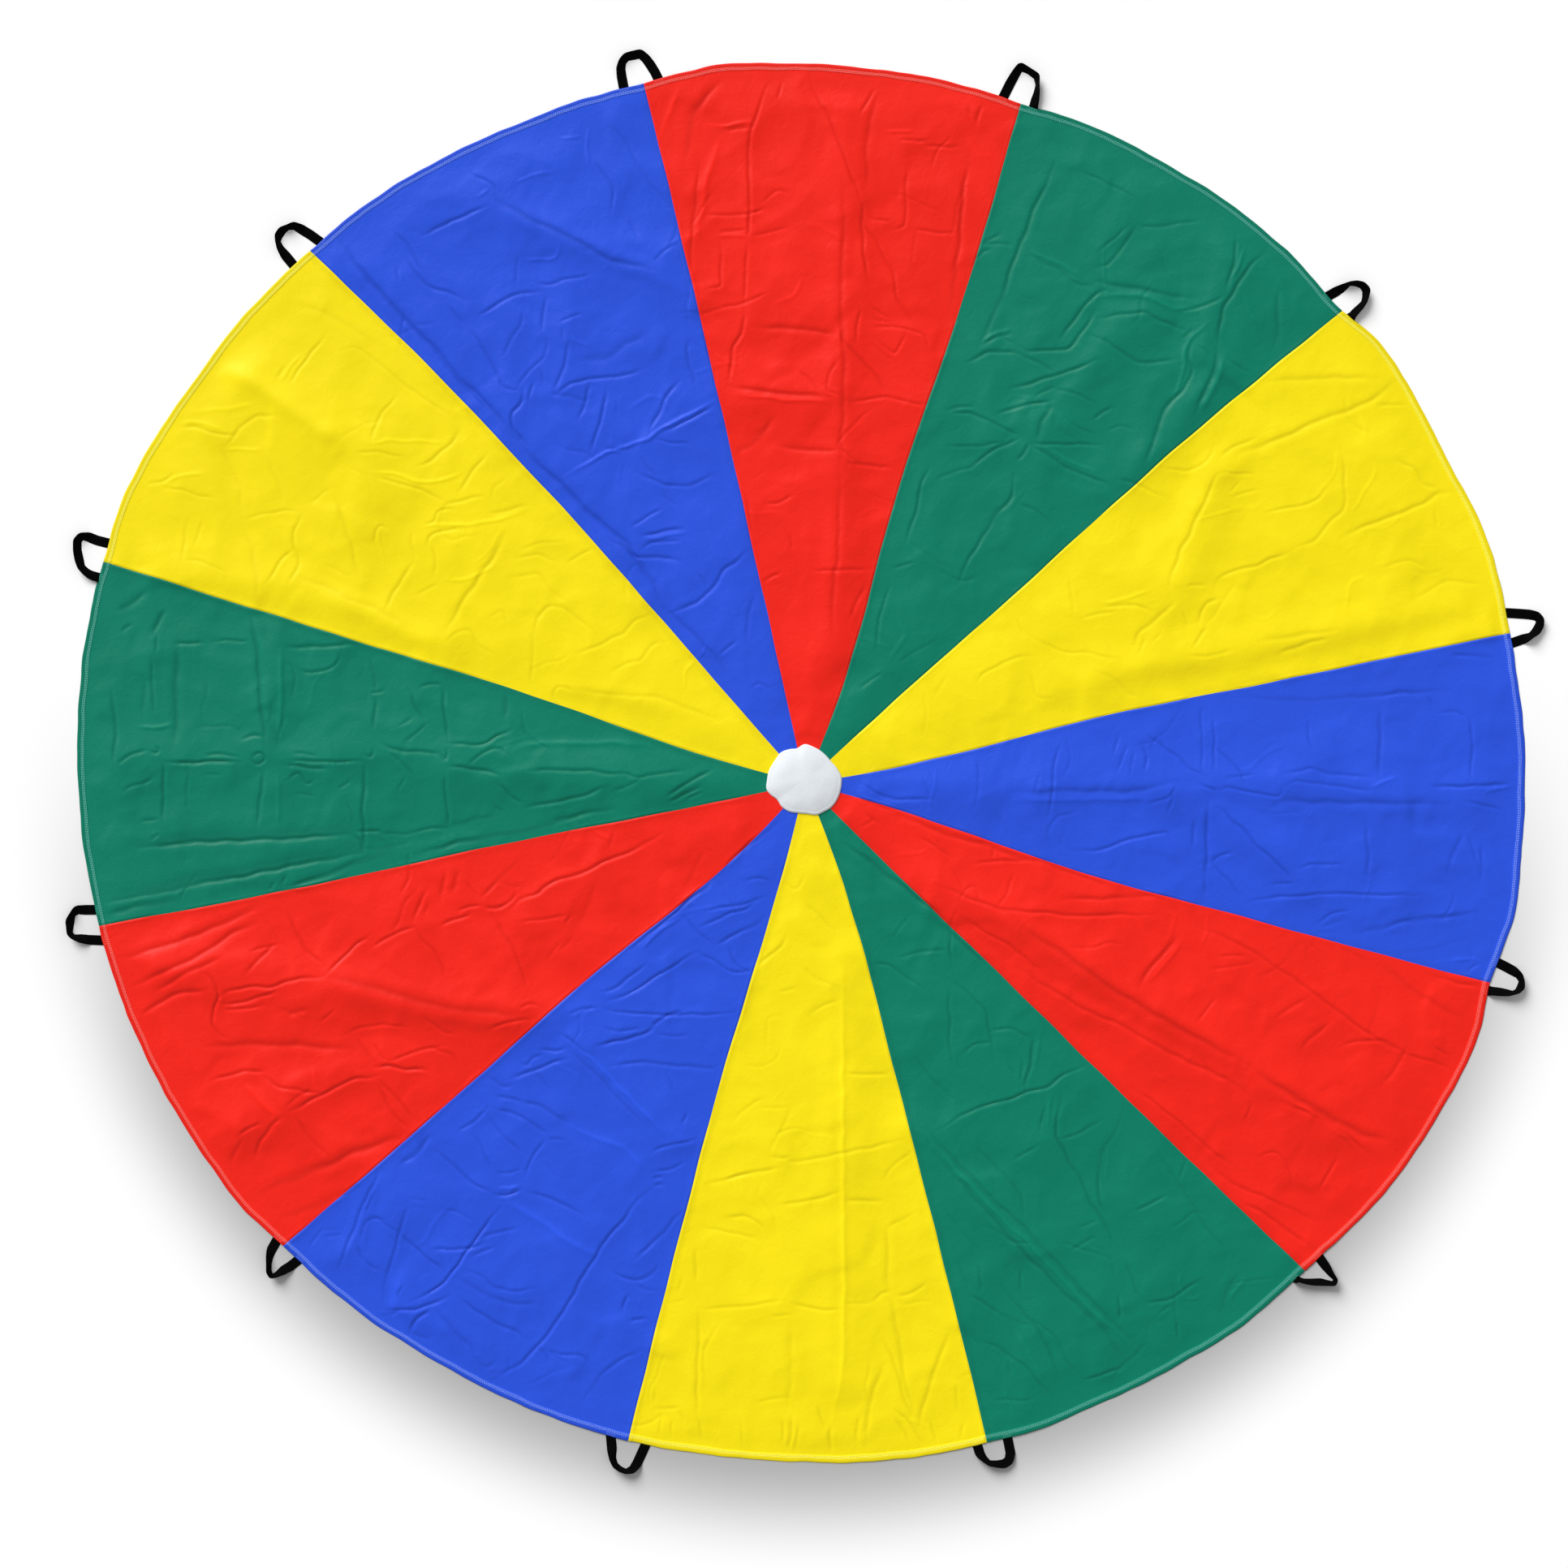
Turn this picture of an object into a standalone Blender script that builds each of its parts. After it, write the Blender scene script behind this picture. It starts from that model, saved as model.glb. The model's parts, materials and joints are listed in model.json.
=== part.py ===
"""A play parachute laid out flat on the floor.

Twelve cloth gores are sewn edge to edge. A cap covers their tips and a patch backs them, and a
webbing loop is sewn under the hem at the outer end of each seam.

Metres, with +Z up. The origin is on the floor, under the point where the seams meet.
"""

import math

import bpy
import numpy as np
from mathutils import Color, Matrix

# Canopy
CANOPY_RADIUS = 1.83
CLOTH_THICKNESS = 0.0006
HEM_WIDTH = 0.017
HEM_THICKNESS = 0.0012
SEAM_GAP = 0.0004
FOLD_HEIGHT = 0.010
FOLD_HALF_WIDTH = 0.075
PUFF_HEIGHT = 0.004
CALM_MARGIN = 0.12

# Crown
CAP_RADIUS = 0.096
CAP_RISE = 0.016
CAP_THICKNESS = 0.0012
PATCH_INSET = 0.011
PATCH_THICKNESS = 0.0015
TIP_LAP = 0.009

# Handles
WEBBING_WIDTH = 0.025
WEBBING_THICKNESS = 0.0015
LEG_SPACING = 0.088
LOOP_REACH = 0.085
SEWN_LENGTH = 0.022
LOOP_ROLL = math.radians(50)
FOLDED_BACK_LEAN = math.radians(30)

# Distance that touching pieces keep
CLEARANCE = 0.0003

# How finely the pieces are faceted
GORE_ROWS = 16
TIP_COLUMNS = 2
HEM_COLUMNS = 16
CAP_SECTORS = 24
LOOP_STATIONS = 18
RIM_SAMPLES = 33
SMOOTH_ANGLE = math.radians(30)

# Pixels of the photograph, which looks straight down on the canopy
CANOPY_RADIUS_PX = 890.5
HUB_PX = (992, 965)
CAP_SHIFT_PX = (-1, 5)

# Each seam from the cap to the hem, clockwise from the one left of the top gore
SEAMS_PX = (
    ((981, 915), (924, 660), (860, 380), (793, 105)),
    ((1010, 922), (1091, 657), (1178, 395), (1257, 131)),
    ((1023, 936), (1216, 762), (1429, 570), (1652, 385)),
    ((1038, 958), (1276, 903), (1570, 840), (1860, 780)),
    ((1036, 977), (1270, 1054), (1555, 1136), (1833, 1210)),
    ((1024, 997), (1214, 1183), (1410, 1375), (1605, 1563)),
    ((1008, 1004), (1092, 1279), (1156, 1530), (1215, 1773)),
    ((983, 1003), (903, 1279), (838, 1520), (775, 1772)),
    ((964, 997), (781, 1160), (563, 1350), (353, 1532)),
    ((946, 975), (700, 1024), (412, 1085), (125, 1140)),
    ((945, 953), (704, 874), (418, 783), (132, 693)),
    ((960, 929), (790, 734), (590, 515), (383, 310)),
)

# The hem between each seam's end and the next one's
HEM_PX = (
    ((880, 84), (960, 78), (1080, 86), (1170, 105)),
    ((1345, 165), (1450, 220), (1530, 265), (1585, 310)),
    ((1700, 425), (1740, 490), (1790, 580), (1830, 660)),
    ((1876, 870), (1879, 950), (1876, 1040), (1866, 1130)),
    ((1822, 1270), (1790, 1345), (1740, 1425), (1681, 1500)),
    ((1530, 1630), (1450, 1680), (1350, 1733), (1280, 1758)),
    ((1120, 1792), (990, 1800), (880, 1790)),
    ((700, 1752), (620, 1715), (540, 1668), (450, 1612)),
    ((300, 1478), (250, 1410), (205, 1330), (165, 1250)),
    ((108, 1050), (98, 950), (103, 820), (120, 740)),
    ((150, 620), (185, 545), (230, 475), (300, 390)),
    ((460, 250), (560, 190), (650, 150), (720, 125)),
)

# The main folds of the laid cloth: the line of each, then its height and width as shares
MAIN_FOLDS_PX = (
    (((1134, 1087), (1306, 1179), (1497, 1286), (1640, 1390)), 1.0, 0.9),
    (((1252, 1194), (1344, 1244), (1500, 1330)), 0.6, 0.8),
    (((1134, 1393), (1230, 1504), (1340, 1600)), 0.9, 0.9),
    (((1160, 1100), (1230, 1200), (1330, 1330)), 0.5, 0.8),
    (((1040, 1180), (1037, 1480), (1037, 1700)), 0.7, 0.7),
    (((704, 1282), (826, 1405)), 0.8, 0.8),
    (((430, 1420), (600, 1590)), 0.7, 0.9),
    (((200, 1190), (400, 1215), (677, 1255)), 1.0, 0.9),
    (((260, 1410), (390, 1330), (480, 1310)), 0.6, 0.8),
    (((160, 935), (480, 930), (820, 965)), 0.7, 0.8),
    (((335, 780), (335, 1030)), 0.6, 0.8),
    (((200, 700), (390, 735), (543, 795)), 0.8, 0.8),
    (((290, 455), (440, 560), (450, 610)), 1.0, 1.1),
    (((450, 330), (560, 445), (700, 610), (790, 735)), 0.8, 0.8),
    (((605, 255), (730, 310), (850, 360)), 0.8, 0.9),
    (((1042, 150), (1038, 500), (1030, 800)), 0.7, 0.7),
    (((890, 490), (1150, 500)), 0.6, 0.8),
    (((1520, 330), (1490, 455), (1421, 562)), 1.0, 1.0),
    (((1290, 560), (1340, 460), (1420, 380)), 0.6, 0.8),
    (((1300, 850), (1560, 795), (1800, 750)), 0.6, 0.8),
    (((1500, 590), (1450, 730)), 0.7, 0.8),
    (((1150, 970), (1490, 965), (1800, 985)), 0.7, 0.8),
    (((1500, 990), (1610, 1090)), 0.6, 0.7),
)
FOLD_END_SHARE = 0.85

# The cap's edge every 30 degrees, clockwise from the top, as shares of its radius
CAP_EDGE_SHARES = (0.94, 0.87, 0.86, 0.98, 1.03, 1.0, 0.94, 0.94, 0.98, 0.99, 0.93, 0.92)
CAP_RING_SHARES = (0.3, 0.55, 0.75, 0.88, 0.96, 1.0)
CAP_ROOF_SHARES = (0.75, 0.87)
CAP_ROUNDNESS = 0.7

# Each loop: where its middle lies along the hem and how far apart its legs are, as shares of the
# leg spacing, then its bends, as shares of half that spacing and of the loop's reach
LOOP_SHARES = (
    (-0.06, 1.03, ((-0.82, 0.69), (-0.49, 0.94), (0.47, 0.91), (0.87, 0.55))),
    (-0.09, 0.98, ((-0.84, 0.67), (-0.51, 1.10), (0.58, 0.98), (0.80, 0.58))),
    (-0.15, 0.86, ((-0.76, 0.50), (-0.29, 0.95), (0.50, 1.00), (0.80, 0.60))),
    (-0.16, 0.86, ((-0.78, 0.47), (-0.50, 0.87), (0.34, 0.87), (0.87, 0.50))),
    (-0.24, 1.05, ((-0.75, 0.50), (-0.44, 0.82), (0.33, 0.95), (0.78, 0.59))),
    (-0.11, 0.88, ((-1.03, 0.48), (-0.62, 0.90), (0.10, 0.84), (0.65, 0.50))),
    (-0.15, 0.92, ((-0.95, 0.45), (-0.80, 0.72), (-0.25, 0.88), (0.60, 0.56))),
    (-0.01, 1.05, ((-0.94, 0.45), (-0.74, 0.70), (-0.22, 0.90), (0.66, 0.54))),
    (-0.18, 0.90, ((-0.97, 0.42), (-0.88, 0.68), (-0.35, 0.94), (0.57, 0.56))),
    (0.02, 0.91, ((-0.74, 0.58), (-0.30, 0.92), (0.50, 0.95), (1.10, 0.58))),
    (0.01, 1.02, ((-0.96, 0.45), (-0.62, 0.80), (0.49, 0.99), (0.98, 0.72))),
    (-0.11, 1.04, ((-1.02, 0.42), (-0.88, 0.72), (-0.33, 1.00), (0.60, 0.80))),
)
LOOP_STRAIGHT_SHARE = 0.15
ROLL_START_SHARE = 0.3

# The rounded ends of a loop: places past its hinge line and thicknesses, as shares of the webbing's
WEBBING_END_SHARES = ((-0.5, 0.2), (-0.35, 0.7))

GORE_COLOURS = {
    "red": (242, 45, 33),
    "green": (22, 127, 102),
    "yellow": (246, 226, 32),
    "blue": (48, 86, 220),
}
CAP_COLOUR = (228, 232, 236)
WEBBING_COLOUR = (12, 12, 13)
FULL_LEVEL = 255
CLOTH_ROUGHNESS = 0.45
WEBBING_ROUGHNESS = 0.8

# Worked out from the sizes above
TURN = 2 * math.pi
GORE_COUNT = len(SEAMS_PX)
METRES_PER_PX = CANOPY_RADIUS / CANOPY_RADIUS_PX
CAP_SHIFT = (CAP_SHIFT_PX[0] * METRES_PER_PX, CAP_SHIFT_PX[1] * METRES_PER_PX)
CAP_OFFSET = math.hypot(*CAP_SHIFT)
PATCH_RADIUS = CAP_RADIUS - PATCH_INSET
TIP_RADIUS = PATCH_RADIUS - CAP_OFFSET - TIP_LAP
CAP_REACH = CAP_RADIUS * max(CAP_EDGE_SHARES) + CAP_OFFSET
TIP_SEAT = PATCH_THICKNESS + CLEARANCE
HEM_SEAT = WEBBING_THICKNESS + CLEARANCE
HEM_TOP = HEM_SEAT + HEM_THICKNESS
CAP_SEAT = TIP_SEAT + CLOTH_THICKNESS + CLEARANCE
HINGE_HEIGHT = WEBBING_THICKNESS / 2


def clear_of_folded_loop(height):
    """How far inside the hinge line an edge of some height clears a loop folded back over it."""
    above = (height - HINGE_HEIGHT) * math.cos(FOLDED_BACK_LEAN)
    return (WEBBING_THICKNESS / 2 + CLEARANCE + above) / math.sin(FOLDED_BACK_LEAN)


HINGE_OFFSET = clear_of_folded_loop(HEM_TOP)


def place(pixel):
    """A pixel of the photograph on the floor."""
    x, y = pixel
    return np.array([x - HUB_PX[0], HUB_PX[1] - y]) * METRES_PER_PX


def bearing_and_radius(pixel):
    """The clockwise angle from +Y and the distance from the origin of a pixel."""
    x, y = place(pixel)
    return math.atan2(x, y), math.hypot(x, y)


def at(bearing, radius):
    return np.array([math.sin(bearing), math.cos(bearing)]) * radius


def smooth(low, high, value):
    """0 below low, 1 above high and a smooth rise between them."""
    share = min(max((value - low) / (high - low), 0), 1)
    return share * share * (3 - 2 * share)


def through(places, values, wanted):
    """A smooth curve through values at rising places, read at one place."""
    slopes = np.gradient(values, places)
    i = int(np.clip(np.searchsorted(places, wanted) - 1, 0, len(places) - 2))
    step = places[i + 1] - places[i]
    u = min(max((wanted - places[i]) / step, 0), 1)
    start, end = values[i], values[i + 1]
    leave, arrive = slopes[i] * step, slopes[i + 1] * step
    return (
        (2 * u**3 - 3 * u**2 + 1) * start
        + (u**3 - 2 * u**2 + u) * leave
        + (3 * u**2 - 2 * u**3) * end
        + (u**3 - u**2) * arrive
    )


def hem_table():
    """Rising bearings round the hem and its radius at each, with enough overlap to close it."""
    outline = [
        bearing_and_radius(pixel)
        for seam, between in zip(SEAMS_PX, HEM_PX)
        for pixel in (seam[-1], *between)
    ]
    bearings = np.unwrap([bearing for bearing, _ in outline])
    radii = np.array([radius for _, radius in outline])
    return (
        np.concatenate([bearings - TURN, bearings, bearings + TURN]),
        np.concatenate([radii, radii, radii]),
    )


HEM_BEARINGS, HEM_RADII = hem_table()


def hem_radius(bearing):
    return through(HEM_BEARINGS, HEM_RADII, bearing)


def seam_tables():
    """For each seam, rising radii and the bearing at each."""
    tables = []
    for seam in SEAMS_PX:
        points = [bearing_and_radius(pixel) for pixel in seam]
        bearings = np.unwrap([bearing for bearing, _ in points])
        tables.append((np.array([radius for _, radius in points]), bearings))
    return tables


SEAM_TABLES = seam_tables()


def seam_bearing(seam, radius):
    """The bearing of a seam at a radius. Seam numbers past the last go round again."""
    turns, seam = divmod(seam, GORE_COUNT)
    radii, bearings = SEAM_TABLES[seam]
    first = SEAM_TABLES[0][1][-1]
    rise = (bearings[-1] - first) % TURN - (bearings[-1] - first)
    return through(radii, bearings, radius) + rise + turns * TURN


def distance_to_line(point, line):
    """How far a point is from a line of several stretches, and how far along it lies, as a share."""
    best, along = math.inf, 0
    for i, (start, end) in enumerate(zip(line, line[1:])):
        run = end - start
        u = min(max(float((point - start) @ run / (run @ run)), 0), 1)
        far = float(np.linalg.norm(point - start - u * run))
        if far < best:
            best, along = far, (i + u) / (len(line) - 1)
    return best, along


MAIN_FOLDS = [
    ([place(pixel) for pixel in line], height * FOLD_HEIGHT, width * FOLD_HALF_WIDTH)
    for line, height, width in MAIN_FOLDS_PX
]


def fold_rise(point):
    """How much the main folds lift the cloth at a point."""
    rise = 0
    for line, height, half_width in MAIN_FOLDS:
        far, along = distance_to_line(point, line)
        end_drop = (1 - FOLD_END_SHARE) * (2 * along - 1) ** 2
        rise = max(rise, height * (1 - end_drop) * math.exp(-((far / half_width) ** 2)))
    return rise


def cloth_bottom(point, across, radius, edge):
    """The height of a gore's underside: on the patch, over the sewn ends, and lifted between them."""
    seat = TIP_SEAT + (HEM_SEAT - TIP_SEAT) * (radius - TIP_RADIUS) / (edge - TIP_RADIUS)
    calm = smooth(CAP_REACH, CAP_REACH + CALM_MARGIN, radius)
    calm *= 1 - smooth(edge - CALM_MARGIN, edge - HEM_WIDTH, radius)
    return seat + calm * (fold_rise(point) + PUFF_HEIGHT * math.sin(math.pi * across))


def row_radius(row, edge):
    """The radius of a row: the tip, the cap's edge, even steps to the hem's fold, and the edge."""
    if row == 0:
        return TIP_RADIUS
    if row > GORE_ROWS:
        return edge
    return CAP_REACH + (edge - HEM_WIDTH - CAP_REACH) * (row - 1) / (GORE_ROWS - 1)


def gore_row(gore, row):
    """The places across one row of a gore, each with the heights of its underside and its top."""
    middle = row_radius(row, CANOPY_RADIUS)
    share = middle / CANOPY_RADIUS
    columns = round(TIP_COLUMNS + (HEM_COLUMNS - TIP_COLUMNS) * share)
    found = []
    for column in range(columns + 1):
        across = column / columns
        bearing = (1 - across) * seam_bearing(gore, middle) + across * seam_bearing(gore + 1, middle)
        edge = hem_radius(bearing)
        radius = row_radius(row, edge)
        shift = SEAM_GAP / 2 * (1 - 2 * across)
        point = at(bearing, radius) + shift * at(bearing + math.pi / 2, 1)
        thickness = HEM_THICKNESS if row >= GORE_ROWS else CLOTH_THICKNESS
        bottom = cloth_bottom(point, across, radius, edge)
        found.append((*point, bottom, bottom + thickness))
    return found


def stitched(lower, upper):
    """Triangles between two rows of points with unlike counts. Rows are lists of point numbers."""
    triangles, i, j = [], 0, 0
    while i < len(lower) - 1 or j < len(upper) - 1:
        forward_low = (i + 1) / (len(lower) - 1)
        forward_high = (j + 1) / (len(upper) - 1)
        if i == len(lower) - 1 or (j < len(upper) - 1 and forward_high <= forward_low):
            triangles.append((lower[i], upper[j], upper[j + 1]))
            j += 1
        else:
            triangles.append((lower[i], upper[j], lower[i + 1]))
            i += 1
    return triangles


def mesh_object(name, points, faces, material):
    mesh = bpy.data.meshes.new(name)
    mesh.from_pydata([tuple(point) for point in points], [], faces)
    mesh.validate()
    mesh.shade_smooth()
    mesh.set_sharp_from_angle(angle=SMOOTH_ANGLE)
    mesh.materials.append(material)
    made = bpy.data.objects.new(name, mesh)
    bpy.context.scene.collection.objects.link(made)
    return made


def make_gore(gore, materials):
    """One wedge of cloth, with its hem turned in at the outer edge."""
    rows = [gore_row(gore, row) for row in range(GORE_ROWS + 2)]
    points, bottoms, tops = [], [], []
    for row in rows:
        bottoms.append(list(range(len(points), len(points) + len(row))))
        points += [(x, y, low) for x, y, low, _ in row]
    for row in rows:
        tops.append(list(range(len(points), len(points) + len(row))))
        points += [(x, y, high) for x, y, _, high in row]
    faces = []
    for lower, upper in zip(bottoms, bottoms[1:]):
        faces += stitched(lower, upper)
    for lower, upper in zip(tops, tops[1:]):
        faces += [face[::-1] for face in stitched(lower, upper)]
    border = bottoms[0][::-1] + [row[0] for row in bottoms[1:-1]] + bottoms[-1]
    border += [row[-1] for row in bottoms[-2:0:-1]]
    above = dict(zip(sum(bottoms, []), sum(tops, [])))
    for here, there in zip(border, border[1:] + border[:1]):
        faces += [(here, above[here], above[there]), (here, above[there], there)]
    colour = list(GORE_COLOURS)[gore % len(GORE_COLOURS)]
    return mesh_object(f"gore_{gore + 1:02d}_{colour}", points, faces, materials[colour])


def cap_edge(bearing):
    """The cap's radius at a bearing. Its table runs one step past a whole turn at both ends."""
    count = len(CAP_EDGE_SHARES)
    steps = np.arange(-1, count + 2)
    shares = np.array([CAP_EDGE_SHARES[step % count] for step in steps])
    return CAP_RADIUS * through(steps * TURN / count, shares, bearing % TURN)


def cap_heights(share):
    """The cap's underside and top at a share of its radius: a domed roof on a solid rim."""
    dome = (1 - share**2) ** CAP_ROUNDNESS
    top = CAP_SEAT + CAP_THICKNESS + (CAP_RISE - CAP_THICKNESS) * dome
    hollow = 1 - smooth(*CAP_ROOF_SHARES, share)
    return CAP_SEAT + (top - CAP_THICKNESS - CAP_SEAT) * hollow, top


def make_cap(material):
    """The puffed cover over the gores' tips."""
    points = [(*CAP_SHIFT, height) for height in cap_heights(0)]
    rings = []
    for share in CAP_RING_SHARES:
        low, top = cap_heights(share)
        ring = []
        for sector in range(CAP_SECTORS):
            bearing = TURN * sector / CAP_SECTORS
            x, y = at(bearing, share * cap_edge(bearing)) + CAP_SHIFT
            ring.append((len(points), len(points) + 1))
            points += [(x, y, low), (x, y, top)]
        rings.append(ring)
    faces = []
    for sector in range(CAP_SECTORS):
        after = (sector + 1) % CAP_SECTORS
        faces += [
            (0, rings[0][sector][0], rings[0][after][0]),
            (1, rings[0][after][1], rings[0][sector][1]),
            (rings[-1][sector][0], rings[-1][sector][1], rings[-1][after][1], rings[-1][after][0]),
        ]
        for inner, outer in zip(rings, rings[1:]):
            faces += [
                (inner[sector][0], outer[sector][0], outer[after][0], inner[after][0]),
                (inner[sector][1], inner[after][1], outer[after][1], outer[sector][1]),
            ]
    return mesh_object("crown_cap", points, faces, material)


def make_patch(material):
    """The flat disc under the gores' tips, which lies on the floor."""
    points, faces = [], []
    for sector in range(CAP_SECTORS):
        x, y = at(TURN * sector / CAP_SECTORS, PATCH_RADIUS) + CAP_SHIFT
        points += [(x, y, 0), (x, y, PATCH_THICKNESS)]
        low, after = 2 * sector, 2 * ((sector + 1) % CAP_SECTORS)
        faces.append((low, low + 1, after + 1, after))
    faces.append(tuple(range(0, 2 * CAP_SECTORS, 2)))
    faces.append(tuple(range(2 * CAP_SECTORS - 1, 0, -2)))
    return mesh_object("crown_patch", points, faces, material)


def handle_frame(handle):
    """The middle of a handle's hinge line on the floor, and the directions across and outward."""
    shift_share, spacing_share, _ = LOOP_SHARES[handle]
    end = seam_bearing(handle, hem_radius(SEAM_TABLES[handle][1][-1]))
    radius = hem_radius(end)
    bearing = end + shift_share * LEG_SPACING / radius
    half = (spacing_share * LEG_SPACING + WEBBING_WIDTH) / 2
    around = np.linspace(-half, half, RIM_SAMPLES) / radius
    rim = [at(bearing + turn, hem_radius(bearing + turn)) for turn in around]
    across = (rim[-1] - rim[0]) / np.linalg.norm(rim[-1] - rim[0])
    outward = np.array([-across[1], across[0]])
    reach = max(float(point @ outward) for point in rim)
    middle = at(bearing, radius)
    return middle + outward * (reach + HINGE_OFFSET - middle @ outward), across, outward


def loop_line(handle):
    """The middle line of a handle's loop, as places across and out from the hinge, evenly spaced."""
    _, spacing_share, bends = LOOP_SHARES[handle]
    half = spacing_share * LEG_SPACING / 2
    corners = [(-1, 0), (-1, LOOP_STRAIGHT_SHARE), *bends, (1, LOOP_STRAIGHT_SHARE), (1, 0)]
    corners = np.array(corners) * (half, LOOP_REACH)
    runs = np.concatenate([[0], np.cumsum(np.linalg.norm(np.diff(corners, axis=0), axis=1))])
    wanted = np.linspace(0, runs[-1], LOOP_STATIONS)
    return [
        np.array([through(runs, corners[:, k], place_along) for k in (0, 1)])
        for place_along in wanted
    ]


def loop_sections(handle):
    """Each station of a loop: its place, the direction of its width, its roll and its thickness."""
    line = loop_line(handle)
    sections = []
    for i, here in enumerate(line):
        run = line[min(i + 1, len(line) - 1)] - line[max(i - 1, 0)]
        if i in (0, len(line) - 1):
            run = np.array([0, 1 if i == 0 else -1])
        side = np.array([run[1], -run[0]]) / np.linalg.norm(run)
        roll = LOOP_ROLL * smooth(ROLL_START_SHARE, 1, here[1] / LOOP_REACH)
        sections.append((here, side, roll, 1))
    for share, thin in WEBBING_END_SHARES[::-1]:
        for end in (0, -1):
            here, side, roll, _ = sections[end]
            start = line[end] + np.array([0, share * WEBBING_THICKNESS])
            sections.insert(0 if end == 0 else len(sections), (start, side, roll, thin))
    return sections


def make_loop(handle, material):
    """A strip of webbing from one leg's hinge line round to the other's, rolled up on its bends."""
    middle, across, outward = handle_frame(handle)
    points = []
    for here, side, roll, thin in loop_sections(handle):
        wide = WEBBING_WIDTH / 2
        thick = thin * WEBBING_THICKNESS / 2
        centre = wide * math.sin(roll) + WEBBING_THICKNESS / 2 * math.cos(roll)
        for a, b in ((-1, -1), (1, -1), (1, 1), (-1, 1)):
            sideways = a * wide * math.cos(roll) - b * thick * math.sin(roll)
            height = centre + a * wide * math.sin(roll) + b * thick * math.cos(roll)
            flat = here + side * sideways
            x, y = middle + across * flat[0] + outward * flat[1]
            points.append((x, y, height))
    faces = [(0, 1, 2, 3), tuple(range(len(points) - 1, len(points) - 5, -1))]
    for start in range(0, len(points) - 4, 4):
        for k in range(4):
            after = (k + 1) % 4
            faces.append((start + k, start + 4 + k, start + 4 + after, start + after))
    loop = mesh_object(f"handle_{handle + 1:02d}_loop", points, faces, material)
    hinge = (*middle, HINGE_HEIGHT)
    loop.data.transform(Matrix.Translation(hinge).inverted())
    loop.location = hinge
    return loop


def make_sewn_end(handle, leg, material):
    """The end of one leg, flat under the hem, bevelled where the folded loop leans over it."""
    middle, across, outward = handle_frame(handle)
    half = LOOP_SHARES[handle][1] * LEG_SPACING / 2
    centre = middle + across * half * leg
    inner = HINGE_OFFSET + SEWN_LENGTH
    points = []
    for height, outer in (
        (0, WEBBING_THICKNESS / 2 + CLEARANCE),
        (WEBBING_THICKNESS, clear_of_folded_loop(WEBBING_THICKNESS)),
    ):
        for a, b in ((-1, inner), (1, inner), (1, outer), (-1, outer)):
            points.append((*(centre + across * a * WEBBING_WIDTH / 2 - outward * b), height))
    faces = [(3, 2, 1, 0), (4, 5, 6, 7)]
    for k in range(4):
        after = (k + 1) % 4
        faces.append((k, after, 4 + after, 4 + k))
    side = "left" if leg < 0 else "right"
    return mesh_object(f"handle_{handle + 1:02d}_end_{side}", points, faces, material)


def make_material(name, colour, roughness):
    material = bpy.data.materials.new(name)
    material.use_nodes = True
    shader = material.node_tree.nodes["Principled BSDF"]
    linear = Color([level / FULL_LEVEL for level in colour]).from_srgb_to_scene_linear()
    shader.inputs["Base Color"].default_value = (*linear, 1)
    shader.inputs["Roughness"].default_value = roughness
    shader.inputs["Metallic"].default_value = 0
    material.diffuse_color = shader.inputs["Base Color"].default_value
    return material


def main():
    for old in list(bpy.data.objects):
        bpy.data.objects.remove(old)
    cloth = {
        name: make_material(f"{name}_cloth", colour, CLOTH_ROUGHNESS)
        for name, colour in GORE_COLOURS.items()
    }
    white = make_material("white_cloth", CAP_COLOUR, CLOTH_ROUGHNESS)
    webbing = make_material("black_webbing", WEBBING_COLOUR, WEBBING_ROUGHNESS)
    for gore in range(GORE_COUNT):
        make_gore(gore, cloth)
    make_cap(white)
    make_patch(white)
    for handle in range(GORE_COUNT):
        make_loop(handle, webbing)
        for leg in (-1, 1):
            make_sewn_end(handle, leg, webbing)


main()
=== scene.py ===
"""The looks of a play parachute laid out flat: crumpled cloth gores with a topstitched hem, a puffed
white cap over their tips and woven webbing handles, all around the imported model.

Metres, with +Z up. The origin is on the floor, under the point where the seams meet, and bearings are
clockwise from +Y. Values in pixels are the photograph's, which looks straight down on the canopy.
"""

import json
import math

import bpy
import numpy as np
from mathutils import Color, Matrix, Vector
from mathutils.geometry import delaunay_2d_cdt


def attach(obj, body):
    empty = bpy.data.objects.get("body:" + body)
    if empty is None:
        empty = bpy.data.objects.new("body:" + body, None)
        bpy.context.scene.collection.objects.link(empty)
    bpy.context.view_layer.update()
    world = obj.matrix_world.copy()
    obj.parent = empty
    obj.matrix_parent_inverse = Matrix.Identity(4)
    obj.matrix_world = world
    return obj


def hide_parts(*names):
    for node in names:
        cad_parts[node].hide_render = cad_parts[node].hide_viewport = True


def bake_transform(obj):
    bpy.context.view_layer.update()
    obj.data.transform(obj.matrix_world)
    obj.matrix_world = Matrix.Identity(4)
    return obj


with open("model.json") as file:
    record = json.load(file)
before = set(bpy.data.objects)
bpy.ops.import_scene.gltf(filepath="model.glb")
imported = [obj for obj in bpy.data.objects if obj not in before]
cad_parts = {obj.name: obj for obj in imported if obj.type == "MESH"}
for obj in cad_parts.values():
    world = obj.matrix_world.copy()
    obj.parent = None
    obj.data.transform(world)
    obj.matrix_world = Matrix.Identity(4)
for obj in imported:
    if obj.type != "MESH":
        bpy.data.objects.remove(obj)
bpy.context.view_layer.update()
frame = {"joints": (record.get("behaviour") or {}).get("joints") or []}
JOINTS = {joint["name"]: joint for joint in frame["joints"]}

TURN = 2 * math.pi

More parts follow.
